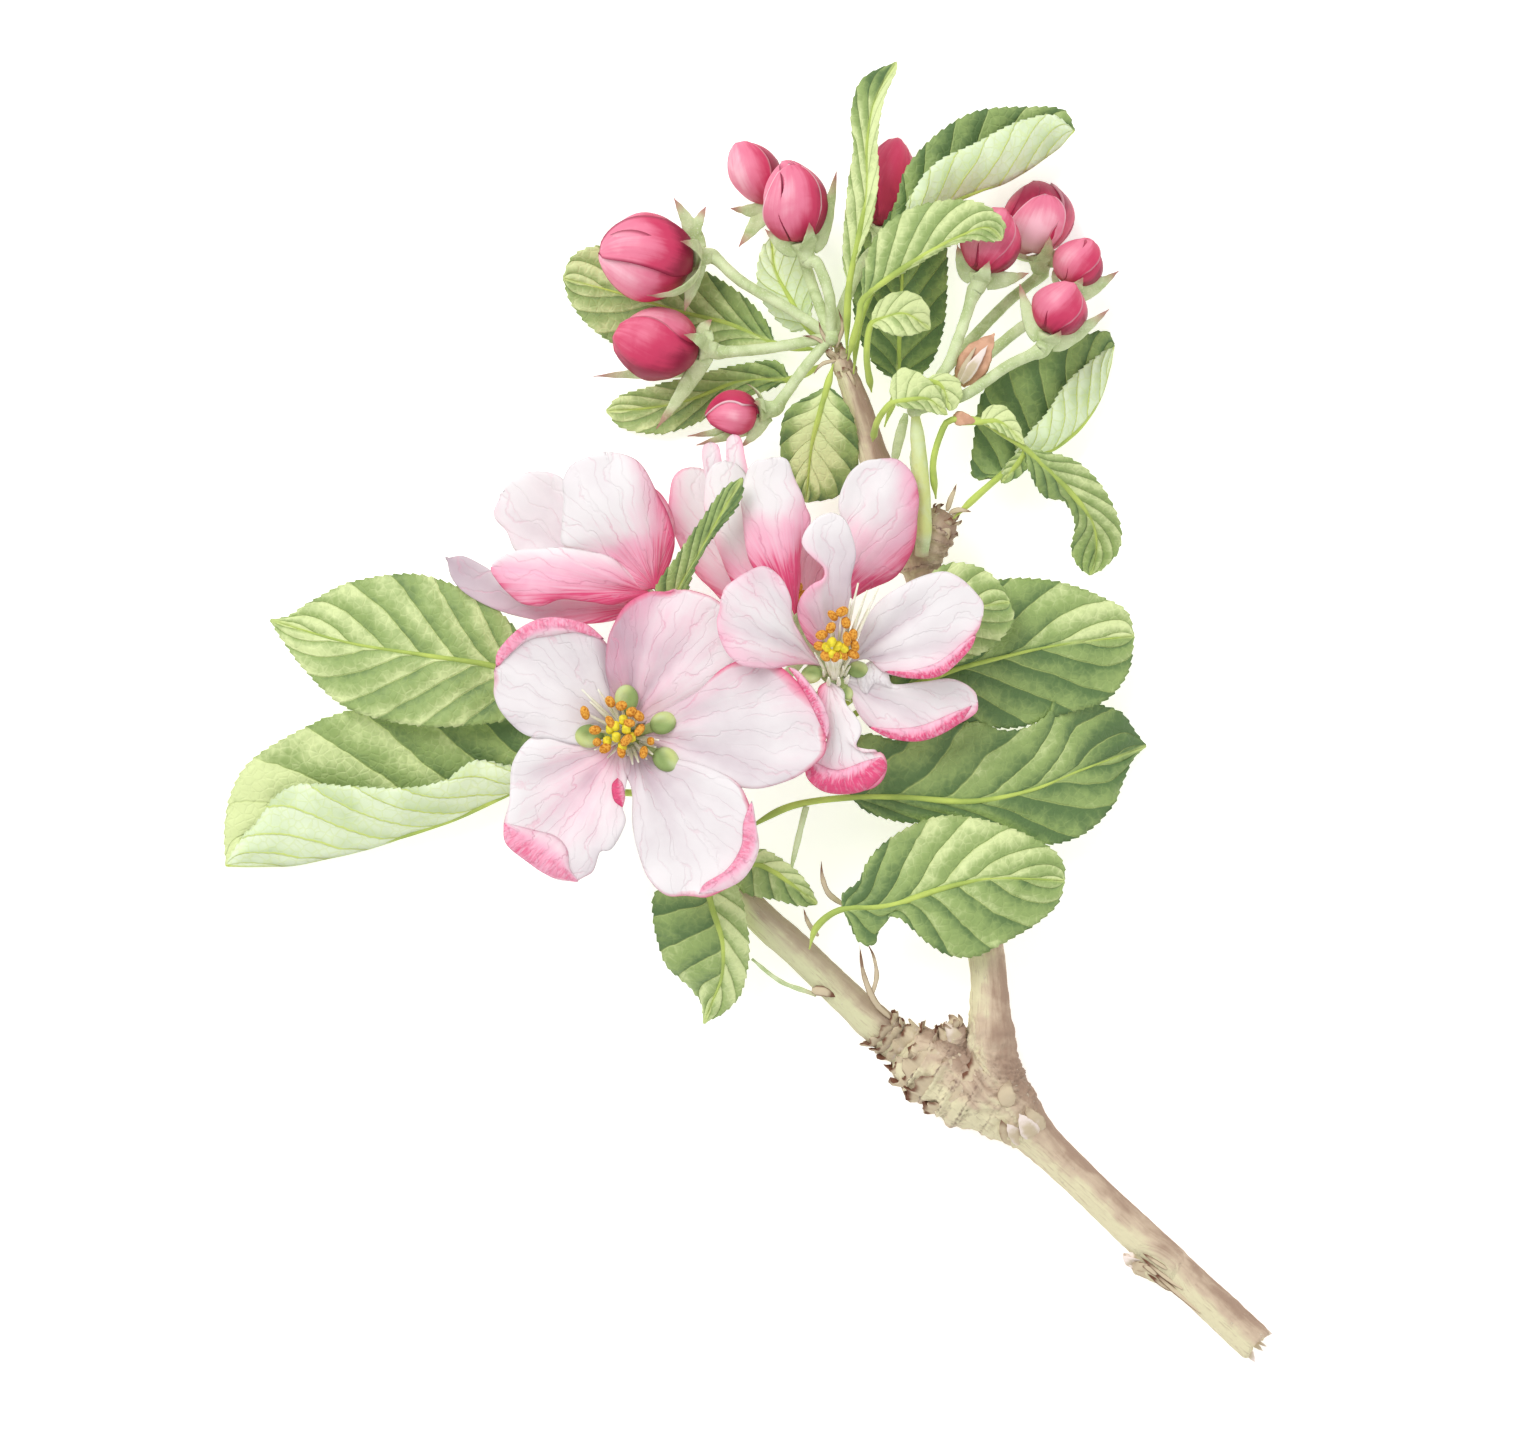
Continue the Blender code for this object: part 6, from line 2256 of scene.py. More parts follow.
def right_petals() -> list[Petal]:
    """Lists the petals of the flower to the right."""
    return [
        Petal("right_flower_petal_1", Sheet(
            ((845, 665, 25), (915, 632, 26.4), (981, 616, 25)),
            ((855, 645), (862, 625), (875, 605), (895, 590), (920, 578), (942, 573),
             (958, 580), (971, 592), (980, 604)),
            ((865, 660), (886, 674), (915, 677), (945, 666), (967, 645), (978, 630)),
            (0, 1.0, 1.4, 0.6, 0), (0, 0.7, 1.0, 0.5, 0), cup=2, curl=0.4),
            ((.2, .15, .2), (.15, .05, .1), (.3, .4, .5)),
            ((.6, .2, .0), (.7, .3, .0), (.5, .2, .1)),
            (0, .2, .2, .3, .4, .8, .8, .4, 0),
            folds=(Fold(Sheet(((884, 672, 0), (935, 671, 0), (974, 636, 0)),
                              ((905, 672), (935, 664), (962, 644)),
                              ((905, 678), (938, 676), (966, 652))), .85, 0.45),)),
        Petal("right_flower_petal_2", Sheet(
            ((833, 657, 25), (833, 590, 28.6), (830, 516, 30.6)),
            ((815, 648), (803, 632), (797, 610), (805, 592), (822, 582), (823, 568),
             (803, 550), (803, 536), (815, 520)),
            ((842, 640), (848, 610), (849, 580), (855, 556), (851, 536), (842, 521)),
            (0, 1.0, 0.6, 1.0, 0), (0, 0.8, 0.6, 0.8, 0), cup=2, curl=0.4),
            ((.95, .6, .1), (.3, .15, .05), (.2, .15, .1)),
            ((.2, .2, .1), (.6, .6, .2), (.6, .7, .2)),
            (0, .3, .3, .2, .2, .2, .2, .2, 0)),
        Petal("right_flower_petal_3", Sheet(
            ((820, 666, 25), (775, 630, 31), (722, 602, 33)),
            ((800, 664), (770, 668), (740, 665), (724, 648), (717, 622)),
            ((806, 645), (795, 625), (790, 600), (783, 582), (765, 568), (745, 575),
             (729, 588)),
            (0, 1.2, 1.8, 1.0, 0), (0, 1.2, 1.8, 1.0, 0), cup=2, curl=0.4),
            ((.6, .5, .5), (.3, .15, .25), (.45, .35, .35)),
            ((.3, .2, .1), (.4, .3, .1), (.4, .2, .1)),
            (0, .2, .3, .4, .5, .4, .4, .2, 0)),
        Petal("right_flower_petal_4", Sheet(
            ((828, 682, 24.8), (838, 736, 25.4), (845, 791, 23.6)),
            ((842, 690), (845, 705), (860, 728), (855, 745), (862, 752), (880, 752),
             (886, 765), (880, 780), (865, 788)),
            ((818, 690), (822, 720), (826, 740), (812, 755), (805, 765), (808, 778),
             (820, 788)),
            (0, 0.6, 0.8, 0.6, 0), (0, 0.6, 0.8, 0.6, 0), cup=2, curl=0.4),
            ((.2, .1, .5), (.3, .1, .5), (.9, .6, .8)),
            ((.1, .1, .0), (.1, .1, .0), (.2, .1, .0)),
            (0, .2, .5, .8, .9, .8, .6, .4, 0),
            folds=(Fold(Sheet(((808, 756, 0), (820, 777, 0), (850, 779, 0), (880, 757, 0)),
                              ((818, 764), (838, 770), (862, 762)),
                              ((806, 775), (822, 790), (846, 793), (868, 787), (885, 768))),
                        .95, 1.1),)),
        Petal("right_flower_petal_5", Sheet(
            ((841, 680, 24.6), (905, 708, 22.8), (976, 702, 21)),
            ((858, 672), (868, 666), (880, 671), (890, 686), (920, 683), (945, 679),
             (962, 683), (974, 692)),
            ((850, 695), (855, 710), (868, 728), (890, 735), (915, 737), (940, 730),
             (961, 721), (974, 711)),
            (0, 0.8, 0.8, 0.6, 0), (0, 0.6, 0.8, 0.6, 0), cup=2, curl=0.4),
            ((.1, .1, .2), (.2, .15, .2), (.3, .4, .6)),
            ((.3, .2, .1), (.4, .3, .1), (.3, .2, .1)),
            (0, .2, .3, .4, .5, .8, .7, .3, 0),
            folds=(Fold(Sheet(((868, 727, 0), (918, 736, 0), (970, 706, 0)),
                              ((890, 729), (920, 726), (952, 713)),
                              ((890, 738), (922, 740), (955, 725))), .85, 0.45),
                   Fold(Sheet(((860, 690, 0), (868, 674, 0), (890, 688, 0)),
                              ((857, 676), (870, 662), (884, 668)),
                              ((866, 694), (874, 684))), .05, 0.7))),
    ]


def west_petals() -> list[Petal]:
    """Lists the petals of the flower that looks away to the left."""
    back = Facing.BACK
    return [
        Petal("west_flower_petal_1", Sheet(
            ((656, 589, 18.8), (640, 550, 20.5), (615, 505, 23), (608, 458, 22.4)),
            ((640, 590), (625, 575), (600, 560), (575, 552), (563, 545), (563, 530),
             (565, 500), (565, 480), (573, 466), (590, 459)),
            ((660, 585), (672, 560), (673, 535), (668, 515), (656, 490), (642, 468),
             (627, 459)),
            (0, -1.6, -2.2, -1.4, 0), (0, -1.2, -1.6, -0.8, 0), cup=2, curl=0.2),
            ((.9, .5, .15, .05, .0), (1.0, .65, .2, .0, .0), (1.1, 1.0, .8, .4, .15)),
            ((.1, .1, .2), (.0, .0, .2), (.0, .0, .0)),
            (0, .0, .0, .0, .0, .3, .9, .4, 0), back),
        Petal("west_flower_petal_2", Sheet(
            ((649, 593, 18.5), (580, 577, 21), (495, 568, 18.6)),
            ((640, 600), (620, 603), (590, 601), (560, 600), (540, 607), (520, 604),
             (505, 590), (496, 575)),
            ((635, 580), (615, 560), (590, 552), (550, 550), (515, 553), (500, 560)),
            (0, -0.8, -1.2, -0.8, 0), (0, -0.7, -1.0, -0.6, 0), cup=2, curl=0.2),
            ((1.1, 1.0, .9, .8), (1.0, .6, .5, .5), (.4, .2, .1, .2)),
            rim=(0, .4, .4, .2, .1, .0, 0), facing=back),
        Petal("west_flower_petal_3", Sheet(
            ((648, 606, 16), (590, 612, 13.6), (530, 605, 13.3), (480, 582, 13),
             (447, 558, 12.6)),
            ((640, 614), (605, 622), (560, 624), (515, 616), (480, 602), (455, 582)),
            ((625, 600), (570, 598), (520, 592), (490, 570), (465, 557)),
            (0, 0.4, 0.4, 0), (0, 0.4, 0.4, 0), cup=2, curl=0.2),
            ((1.0, .9, .4, .15), (1.0, .6, .2, .0), (.8, .4, .1, .0)),
            ((.0, .1, .6, .8), (.0, .1, .7, .9), (.0, .1, .5, .7)),
            (0, .4, .3, .1, .1, .3, 0), back),
        Petal("west_flower_petal_4", Sheet(
            ((650, 606, 15), (590, 560, 12), (545, 525, 9.6), (500, 495, 8.4)),
            ((625, 592), (570, 572), (540, 556), (517, 552), (507, 532), (494, 516)),
            ((640, 585), (600, 540), (575, 500), (562, 478), (535, 472), (512, 480)),
            (0, 0.6, 1.0, 0.6, 0), (0, 0.8, 1.2, 0.8, 0), cup=2, curl=0.3),
            ((.2, .2, .3), (.2, .1, .1), (.2, .1, .15)),
            ((.3, .3, .2), (.6, .5, .2), (.4, .2, .1)),
            (0, .1, .2, .1, .1, .1, 0)),
        Petal("west_flower_petal_5", Sheet(
            ((660, 593, 16), (662, 545, 15), (645, 486, 14.4)),
            ((648, 570), (636, 530), (632, 500)),
            ((668, 570), (676, 530), (664, 500)),
            (0, 0.4, 0.4, 0), (0, 0.4, 0.4, 0), cup=2, curl=0.2),
            ((.8, .5, .3), (.7, .3, .2), (.9, .6, .4)), facing=back),
    ]


def upper_petals() -> list[Petal]:
    """Lists the petals of the flower at the top of the spray."""
    back = Facing.BACK
    return [
        Petal("upper_flower_petal_1", Sheet(
            ((796, 618, 19.2), (782, 560, 23), (771, 460, 24)),
            ((790, 605), (783, 590), (770, 575), (755, 568), (748, 550), (743, 520),
             (743, 495), (747, 472), (756, 462)),
            ((797, 605), (800, 585), (802, 560), (805, 540), (810, 520), (803, 505),
             (795, 485), (787, 463)),
            (0, -0.8, -1.4, -1.2, 0), (0, -0.8, -1.4, -1.0, 0), cup=2, curl=0.2),
            ((1.1, 1.0, .6, .15, .0), (1.1, 1.0, .55, .1, .0), (1.1, 1.0, .75, .3, .05)),
            rim=(0, .2, .1, .0, .0, .0, .3, .3, 0), facing=back),
        Petal("upper_flower_petal_2", Sheet(
            ((808, 626, 17.4), (848, 588, 18.6), (880, 530, 20), (880, 461, 19.6)),
            ((815, 612), (830, 600), (850, 570), (853, 545), (838, 510), (846, 480), (862, 464)),
            ((830, 612), (862, 592), (895, 575), (914, 545), (918, 510), (911, 480), (898, 464)),
            (0, 0.2, 0.6, 0.6, 0), (0, -1.2, -2.0, -1.4, 0), cup=2, curl=0.2),
            ((1.1, .9, .35, .1, .0), (1.1, 1.0, .5, .15, .0), (1.1, 1.1, .95, .75, .45)),
            ((.0, .0, .1, .1), (.0, .2, .3, .2), (.0, .2, .4, .3)),
            (0, .3, .2, .0, .0, .3, .8, .5, 0), back),
        Petal("upper_flower_petal_3", Sheet(
            ((799, 620, 15.2), (806, 572, 11.2), (812, 524, 11.6)),
            ((800, 600), (799, 570), (800, 548)),
            ((815, 610), (822, 590), (824, 560)),
            (0, -0.4, -0.4, 0), (0, -0.4, -0.4, 0), cup=2, curl=0.2),
            ((.8, .7, .5), (.7, .5, .4), (.8, .7, .5)), facing=back),
        Petal("upper_flower_petal_4", Sheet(
            ((790, 630, 15.6), (740, 600, 12.6), (700, 540, 12), (692, 468, 11.6)),
            ((755, 625), (725, 597), (697, 572), (678, 545), (669, 510), (672, 483), (681, 471)),
            ((772, 612), (745, 575), (724, 545), (716, 510), (712, 482), (703, 470)),
            (0, -0.6, -0.8, -0.4, 0), (0, 0.2, 0.3, 0.2, 0), cup=2, curl=0.2),
            ((1.0, .9, .7, .4), (.9, .5, .25, .1), (.5, .2, .1, .0)),
            ((.0, .0, .0), (.1, .2, .2), (.3, .5, .3)),
            (0, .5, .6, .5, .2, .1, 0), back),
        Petal("", Sheet(
            ((770, 606, 16.6), (740, 560, 16.9), (722, 505, 17.0), (714, 468, 16.8),
             (711, 444, 16.0)),
            ((735, 568), (714, 508), (704, 470), (703, 449)),
            ((748, 558), (732, 504), (723, 468), (719, 448)),
            (0, -0.2, -0.4, -0.2, 0), (0, -0.2, -0.4, -0.2, 0), cup=2),
            ((.5, .3, .4), (.4, .1, .2), (.5, .4, .5)), rim=(0, .3, .3, .3, 0), facing=back,
            ruffle=0.3, fold=0.3, name="upper_flower_inner_petal_1"),
        Petal("", Sheet(
            ((778, 600, 17.0), (760, 555, 17.2), (744, 505, 17.4), (737, 466, 17.2),
             (733, 436, 16.2)),
            ((754, 560), (736, 505), (727, 466), (727, 442)),
            ((768, 552), (754, 502), (746, 464), (741, 440)),
            (0, -0.2, -0.4, -0.2, 0), (0, -0.2, -0.4, -0.2, 0), cup=2),
            ((.5, .3, .4), (.4, .1, .2), (.5, .4, .6)), rim=(0, .3, .3, .3, 0), facing=back,
            ruffle=0.3, fold=0.3, name="upper_flower_inner_petal_2"),
        Petal("upper_flower_petal_5", Sheet(
            ((789, 626, 17.4), (760, 600, 18.5), (735, 540, 19.2), (725, 462, 18.6)),
            ((765, 625), (735, 583), (722, 560), (714, 540), (704, 510), (705, 482), (713, 466)),
            ((775, 600), (762, 560), (753, 520), (750, 484), (739, 466)),
            (0, -0.6, -0.8, -0.6, 0), (0, -0.4, -0.6, -0.4, 0), cup=2, curl=0.2),
            ((1.1, .9, .4, .1), (1.0, .5, .1, .0), (.8, .3, .0, .0)),
            rim=(0, .4, .3, .1, .1, .1, 0), facing=back),
    ]


FLOWER_KNOB = (718, 741, 14.1)
LEFT_KNOB = (831, 339, 15.2)
RIGHT_KNOB = (914, 412, 16.2)
PEDUNCLE = ((921, 556, 13.2), (922, 530, 14.6), (920, 480, 16.2), RIGHT_KNOB)


def flowers() -> list[Flower]:
    """Lists the open flowers' green parts and stamens."""
    return [
        Flower("front_flower", (630, 736, 24.0), (0.04, 0.0, 1.0),
               (FLOWER_KNOB, (680, 740, 15.2), (645, 737, 16.6), (631, 736, 20)),
               ((612, 702, 29), (623, 706, 29.6), (633, 712, 30), (640, 716, 29.6),
                (587, 713, 28.6), (631, 723, 30.4), (597, 730, 29.4), (641, 730, 30),
                (599, 742, 29), (607, 748, 29), (623, 751, 29.2), (628, 740, 30.4),
                (652, 741, 28.4), (612, 722, 29.8), (645, 752, 28.2)),
               ((625, 720, 29.4), (618, 737, 29.8), (633, 737, 29.4), (612, 729, 29.2),
                (624, 746, 29.2), (609, 741, 28.8), (628, 729, 30.0), (617, 726, 29.6)),
               (((628, 712, 23.9), (628, 697, 24.2), (627, 684, 24.2)),
                ((650, 727, 23.9), (665, 722, 24.2), (678, 718, 24.1)),
                ((650, 748, 23.9), (666, 758, 24.2), (680, 766, 24.1)),
                ((620, 756, 23.9), (610, 775, 23.8), (604, 790, 23.6)),
                ((606, 736, 23.9), (590, 736, 24.2), (577, 736, 24.2))), 1.4,
               (((628, 699, 26.3), 2.1), ((664, 723, 26.2), 2.0), ((667, 759, 26.2), 2.1),
                ((591, 736, 26.2), 2.1)),
               ((584, 690, 28.6), (600, 690, 28.8), (611, 699, 28.6), (592, 702, 28.4),
                (657, 747, 27.8), (654, 754, 27.6), (648, 759, 27.6), (640, 762, 27.4),
                (660, 740, 27.8), (634, 764, 27.2)),
               (630, 736, 24.0)),
        Flower("right_flower", (833, 670, 24.4), (0.0, 0.28, 0.96),
               (FLOWER_KNOB, (765, 722, 15.8), (812, 702, 17.4), (832, 682, 20)),
               ((832, 617, 31), (841, 613, 31.4), (845, 624, 31), (830, 629, 31.4),
                (821, 636, 30.6), (852, 636, 30.4), (819, 647, 30), (854, 647, 30),
                (852, 655, 29.6), (825, 657, 30), (835, 658, 30.2), (842, 655, 30),
                (846, 640, 31)),
               ((826, 648, 30.4), (837, 647, 30.6), (831, 643, 31.2), (843, 649, 30.4),
                (831, 654, 30.2), (839, 655, 30.0)),
               (((817, 666, 24.0), (808, 673, 23.4), (801, 680, 22.6)),
                ((849, 672, 24.0), (857, 671, 23.6), (864, 668, 23.2)),
                ((841, 687, 23.6), (846, 695, 22.8), (850, 702, 22)),
                ((836, 652, 24.2), (842, 636, 24.0), (846, 622, 23.8)),
                ((822, 655, 24.2), (812, 645, 24.0), (805, 634, 23.6))), 1.0,
               lobes=(((811, 675, 25.4), 1.6), ((857, 670, 25.2), 1.5),
                      ((846, 693, 24.4), 1.1)),
               threads=((857, 585, 32.4), (866, 592, 32.0), (877, 590, 31.4), (860, 607, 31.4),
                        (850, 600, 32.0), (868, 612, 30.8), (848, 676, 28.6), (838, 678, 28.6),
                        (828, 678, 28.6)),
               hearth=(834, 682, 25.0)),
        Flower("west_flower", (657, 602, 17.0), (-0.7, 0.7, 0.0),
               (FLOWER_KNOB, (712, 700, 15.4), (696, 650, 16.6), (675, 620, 17)),
               ((620, 580, 17.6), (626, 568, 17.2), (634, 572, 18.4), (618, 572, 16.2),
                (632, 562, 16.6), (628, 584, 18.2)),
               ((624, 574, 17.2), (628, 578, 16.6)),
               (((664, 594, 18.6), (671, 578, 19.4), (672, 566, 19.4)),
                ((652, 610, 18.4), (640, 616, 18.8), (628, 619, 18.4)),
                ((668, 600, 16.6), (680, 590, 15.8), (686, 580, 15)),
                ((650, 612, 15.6), (640, 622, 14.4), (632, 628, 13.4)),
                ((660, 604, 14.8), (664, 602, 13.0), (662, 596, 11.4))), 1.0),
        Flower("upper_flower", (797, 630, 17.0), (-0.1, 0.95, 0.2),
               (FLOWER_KNOB, (745, 706, 15), (785, 676, 15.8), (800, 658, 16.4)),
               ((790, 592, 18.2), (798, 588, 18.4), (784, 596, 17.4), (800, 596, 18),
                (792, 586, 17), (796, 598, 19)),
               ((792, 594, 17.6), (796, 592, 17)),
               (((811, 628, 17.4), (822, 620, 17.8), (832, 612, 17.6)),
                ((783, 632, 17.2), (770, 628, 17.4), (758, 624, 16.8)),
                ((797, 626, 19.2), (799, 612, 20.2), (801, 600, 20.4)),
                ((806, 632, 15.2), (816, 630, 13.8), (826, 626, 13)),
                ((790, 634, 15.2), (780, 634, 13.8), (770, 632, 13)))),
    ]


def left_buds() -> list[Bud]:
    """Lists the buds of the left cluster."""
    knob = LEFT_KNOB
    return [
        Bud("bud_large", (694, 258, 10.6), (-1.0, 0.0, 0.25), 14.2, 14.2,
            (knob, (790, 312, 14.2), (742, 284, 12.8), (712, 262, 10.4)),
            ((674, 200), (706, 209), (640, 292), (685, 313)),
            (Furl(180, 1.0, 84), Furl(70, 1.02, 70), Furl(-120, 1.0, 76),
             Furl(110, 0.99, 74, 0.95), Furl(-48, 1.05, 66, 0.0, 0.1),
             Furl(12, 0.97, 36, 0.0, -0.1)), (-0.7, 0.1, 0.5), 0.85, 0.34),
        Bud("bud_second", (701, 350, 10.6), (-1.0, 0.12, 0.12), 12.8, 11.2,
            (knob, (770, 350, 13.6), (722, 354, 11.2)),
            ((712, 321), (594, 378), (657, 430)),
            (Furl(180, 1.0, 84), Furl(115, 1.0, 74), Furl(-112, 1.0, 74),
             Furl(45, 1.04, 66, 0.1, 0.1), Furl(-40, 1.02, 70, 0.25)), (-0.3, 0.9, 0.4), 0.7,
            0.2),
        Bud("bud_small_south", (759, 412, 13.2), (-0.9, -0.1, 0.3), 8.0, 7.0,
            (knob, (806, 368, 14.6), (784, 398, 13.4), (769, 409, 12.6)),
            ((688, 438), (697, 447), (741, 449)),
            (Furl(180, 1.0, 84), Furl(-100, 1.0, 74), Furl(-10, 1.04, 66, 0.1, 0.3),
             Furl(80, 1.0, 62, 0.8)), (-0.2, 0.0, 0.9), 0.5, 0.0, 1.2),
        Bud("bud_north_back", (777, 204, 7), (-0.55, 0.8, 0.1), 10.4, 7.6,
            (knob, (815, 296, 12.2), (800, 250, 8.8), (786, 218, 7.2)),
            ((739, 248), (731, 210)),
            (Furl(180, 1.0, 84), Furl(100, 1.02, 74), Furl(-40, 1.02, 72, 0.3, 0.25)),
            (-0.9, 0.3, 0.3)),
        Bud("bud_north_front", (803, 246, 15.2), (-0.22, 0.95, 0.12), 12.4, 10.2,
            (knob, (829, 300, 17.2), (818, 268, 16.4), (808, 256, 15)),
            ((836, 175), (765, 232)),
            (Furl(180, 1.0, 84), Furl(95, 1.0, 76), Furl(-115, 1.03, 72),
             Furl(30, 1.03, 60, 0.0, 0.2), Furl(-12, 0.86, 60, 0.75, 0.3)),
            (-0.8, 0.5, 0.4)),
        Bud("bud_north_east", (882, 230, 7.2), (0.16, 0.98, 0.03), 13.2, 8.6,
            (knob, (846, 300, 13), (864, 262, 9.4), (878, 244, 7.6)),
            ((912, 185),), glow=(0.6, 0.2, 0.6), highlight_strength=0.25, base_highlight=0.0),
    ]


def right_buds() -> list[Bud]:
    """Lists the buds of the right cluster."""
    knob = RIGHT_KNOB
    return [
        Bud("bud_east_first", (980, 278, 15.8), (0.3, 0.95, 0.05), 10.0, 9.2,
            (knob, (942, 376, 17.4), (959, 336, 16.6), (972, 290, 15.6)),
            ((956, 248), (988, 261), (1027, 276)), glow=(-0.3, 0.6, 0.7)),
        Bud("bud_east_top", (1038, 257, 6), (-0.05, 0.98, 0.04), 11.2, 11.8,
            (knob, (952, 362, 12), (1004, 306, 7.6), (1040, 270, 5.4)),
            ((1063, 248),),
            (Furl(180, 1.0, 84), Furl(-80, 1.0, 62), Furl(20, 1.03, 74),
             Furl(78, 0.84, 50, 0.3, 0.15), Furl(-10, 0.7, 46, 0.5, 0.85)),
            (-0.2, -0.6, 0.4), 0.35, 0.0),
        Bud("bud_east_middle", (1069, 289, 10.2), (0.35, 0.9, 0.0), 7.3, 7.6,
            (knob, (968, 372, 13.4), (1022, 328, 10.6), (1059, 304, 9.8)),
            ((1100, 278), (1117, 273)), glow=(-0.6, 0.5, 0.5)),
        Bud("bud_east_front", (1047, 338, 16.6), (0.4, 0.88, 0.16), 8.2, 8.6,
            (knob, (962, 398, 17.4), (1005, 369, 17.4), (1038, 346, 16.4)),
            ((1018, 287), (1107, 312)), glow=(-0.3, 0.9, 0.4)),
    ]


def wood() -> Wood:
    """Describes the woody branch."""
    stem = Limb((
        (1262, 1349, 2.95, 2.85), (1150, 1245, 3.6, 2.85), (1052, 1152, 5.0, 2.95),
        (1015, 1115, 6.2, 4.4), (990, 1082, 6.7, 5.4), (989, 1045, 7.2, 4.2),
        (989, 1000, 7.5, 2.9), (985, 950, 7.6, 2.75), (968, 850, 7.8, 2.7),
        (945, 720, 8.0, 2.7), (928, 600, 8.8, 2.8), (914, 545, 9.4, 3.0),
        (892, 500, 10.3, 2.6), (874, 460, 11.3, 2.3), (855, 400, 12.8, 1.9),
        (837, 352, 14.2, 1.3)),
        (0, 0, 0, 0, 0, 0, 0, 0, 0, 0, 0),
        ((.305, .3, .3), (.33, .25, .4), (.77, .3, .4), (.795, .3, .5), (.82, .25, .45),
         (.85, .25, .4)))
    knuckle = Limb((
        (1030, 1118, 6.0, 3.8), (1002, 1105, 6.4, 5.4), (965, 1084, 6.5, 6.0),
        (928, 1062, 6.6, 5.5), (900, 1046, 7.0, 4.0)), (0,),
        ((.24, .3, .3), (.42, .4, .5), (.56, .3, .4), (.7, .4, .5), (.84, .3, .5)))
    shoot = Limb((
        (905, 1050, 7.0, 3.0), (850, 1000, 8.6, 2.6), (800, 952, 10.0, 2.5),
        (743, 897, 11.4, 2.4), (722, 840, 12.4, 2.2), (718, 790, 13.1, 2.0),
        (718, 756, 13.8, 1.7)), (.1, .6, .8, .8, .6, .8, 1),
        ((.9, .2, .3),))
    spur = Limb(((921, 560, 9.3, 2.9), (936, 530, 10.6, 2.9), (946, 512, 11.2, 2.1)), (0,),
                ((.3, .25, .5), (.5, .25, .5), (.7, .25, .5)))
    stub = Limb(((958, 1050, 8.5, 1.8), (951, 1022, 10.0, 1.3)), (0,), ((.8, .3, .3),))
    bud = Limb(((1174, 1278, 3.6, 1.6), (1150, 1265, 3.4, 2.1), (1132, 1254, 3.2, 1.2)), (0,))
    return Wood((stem, knuckle, shoot, spur, stub, bud), (1262, 1349, 2.95), (0.72, -0.69, 0))


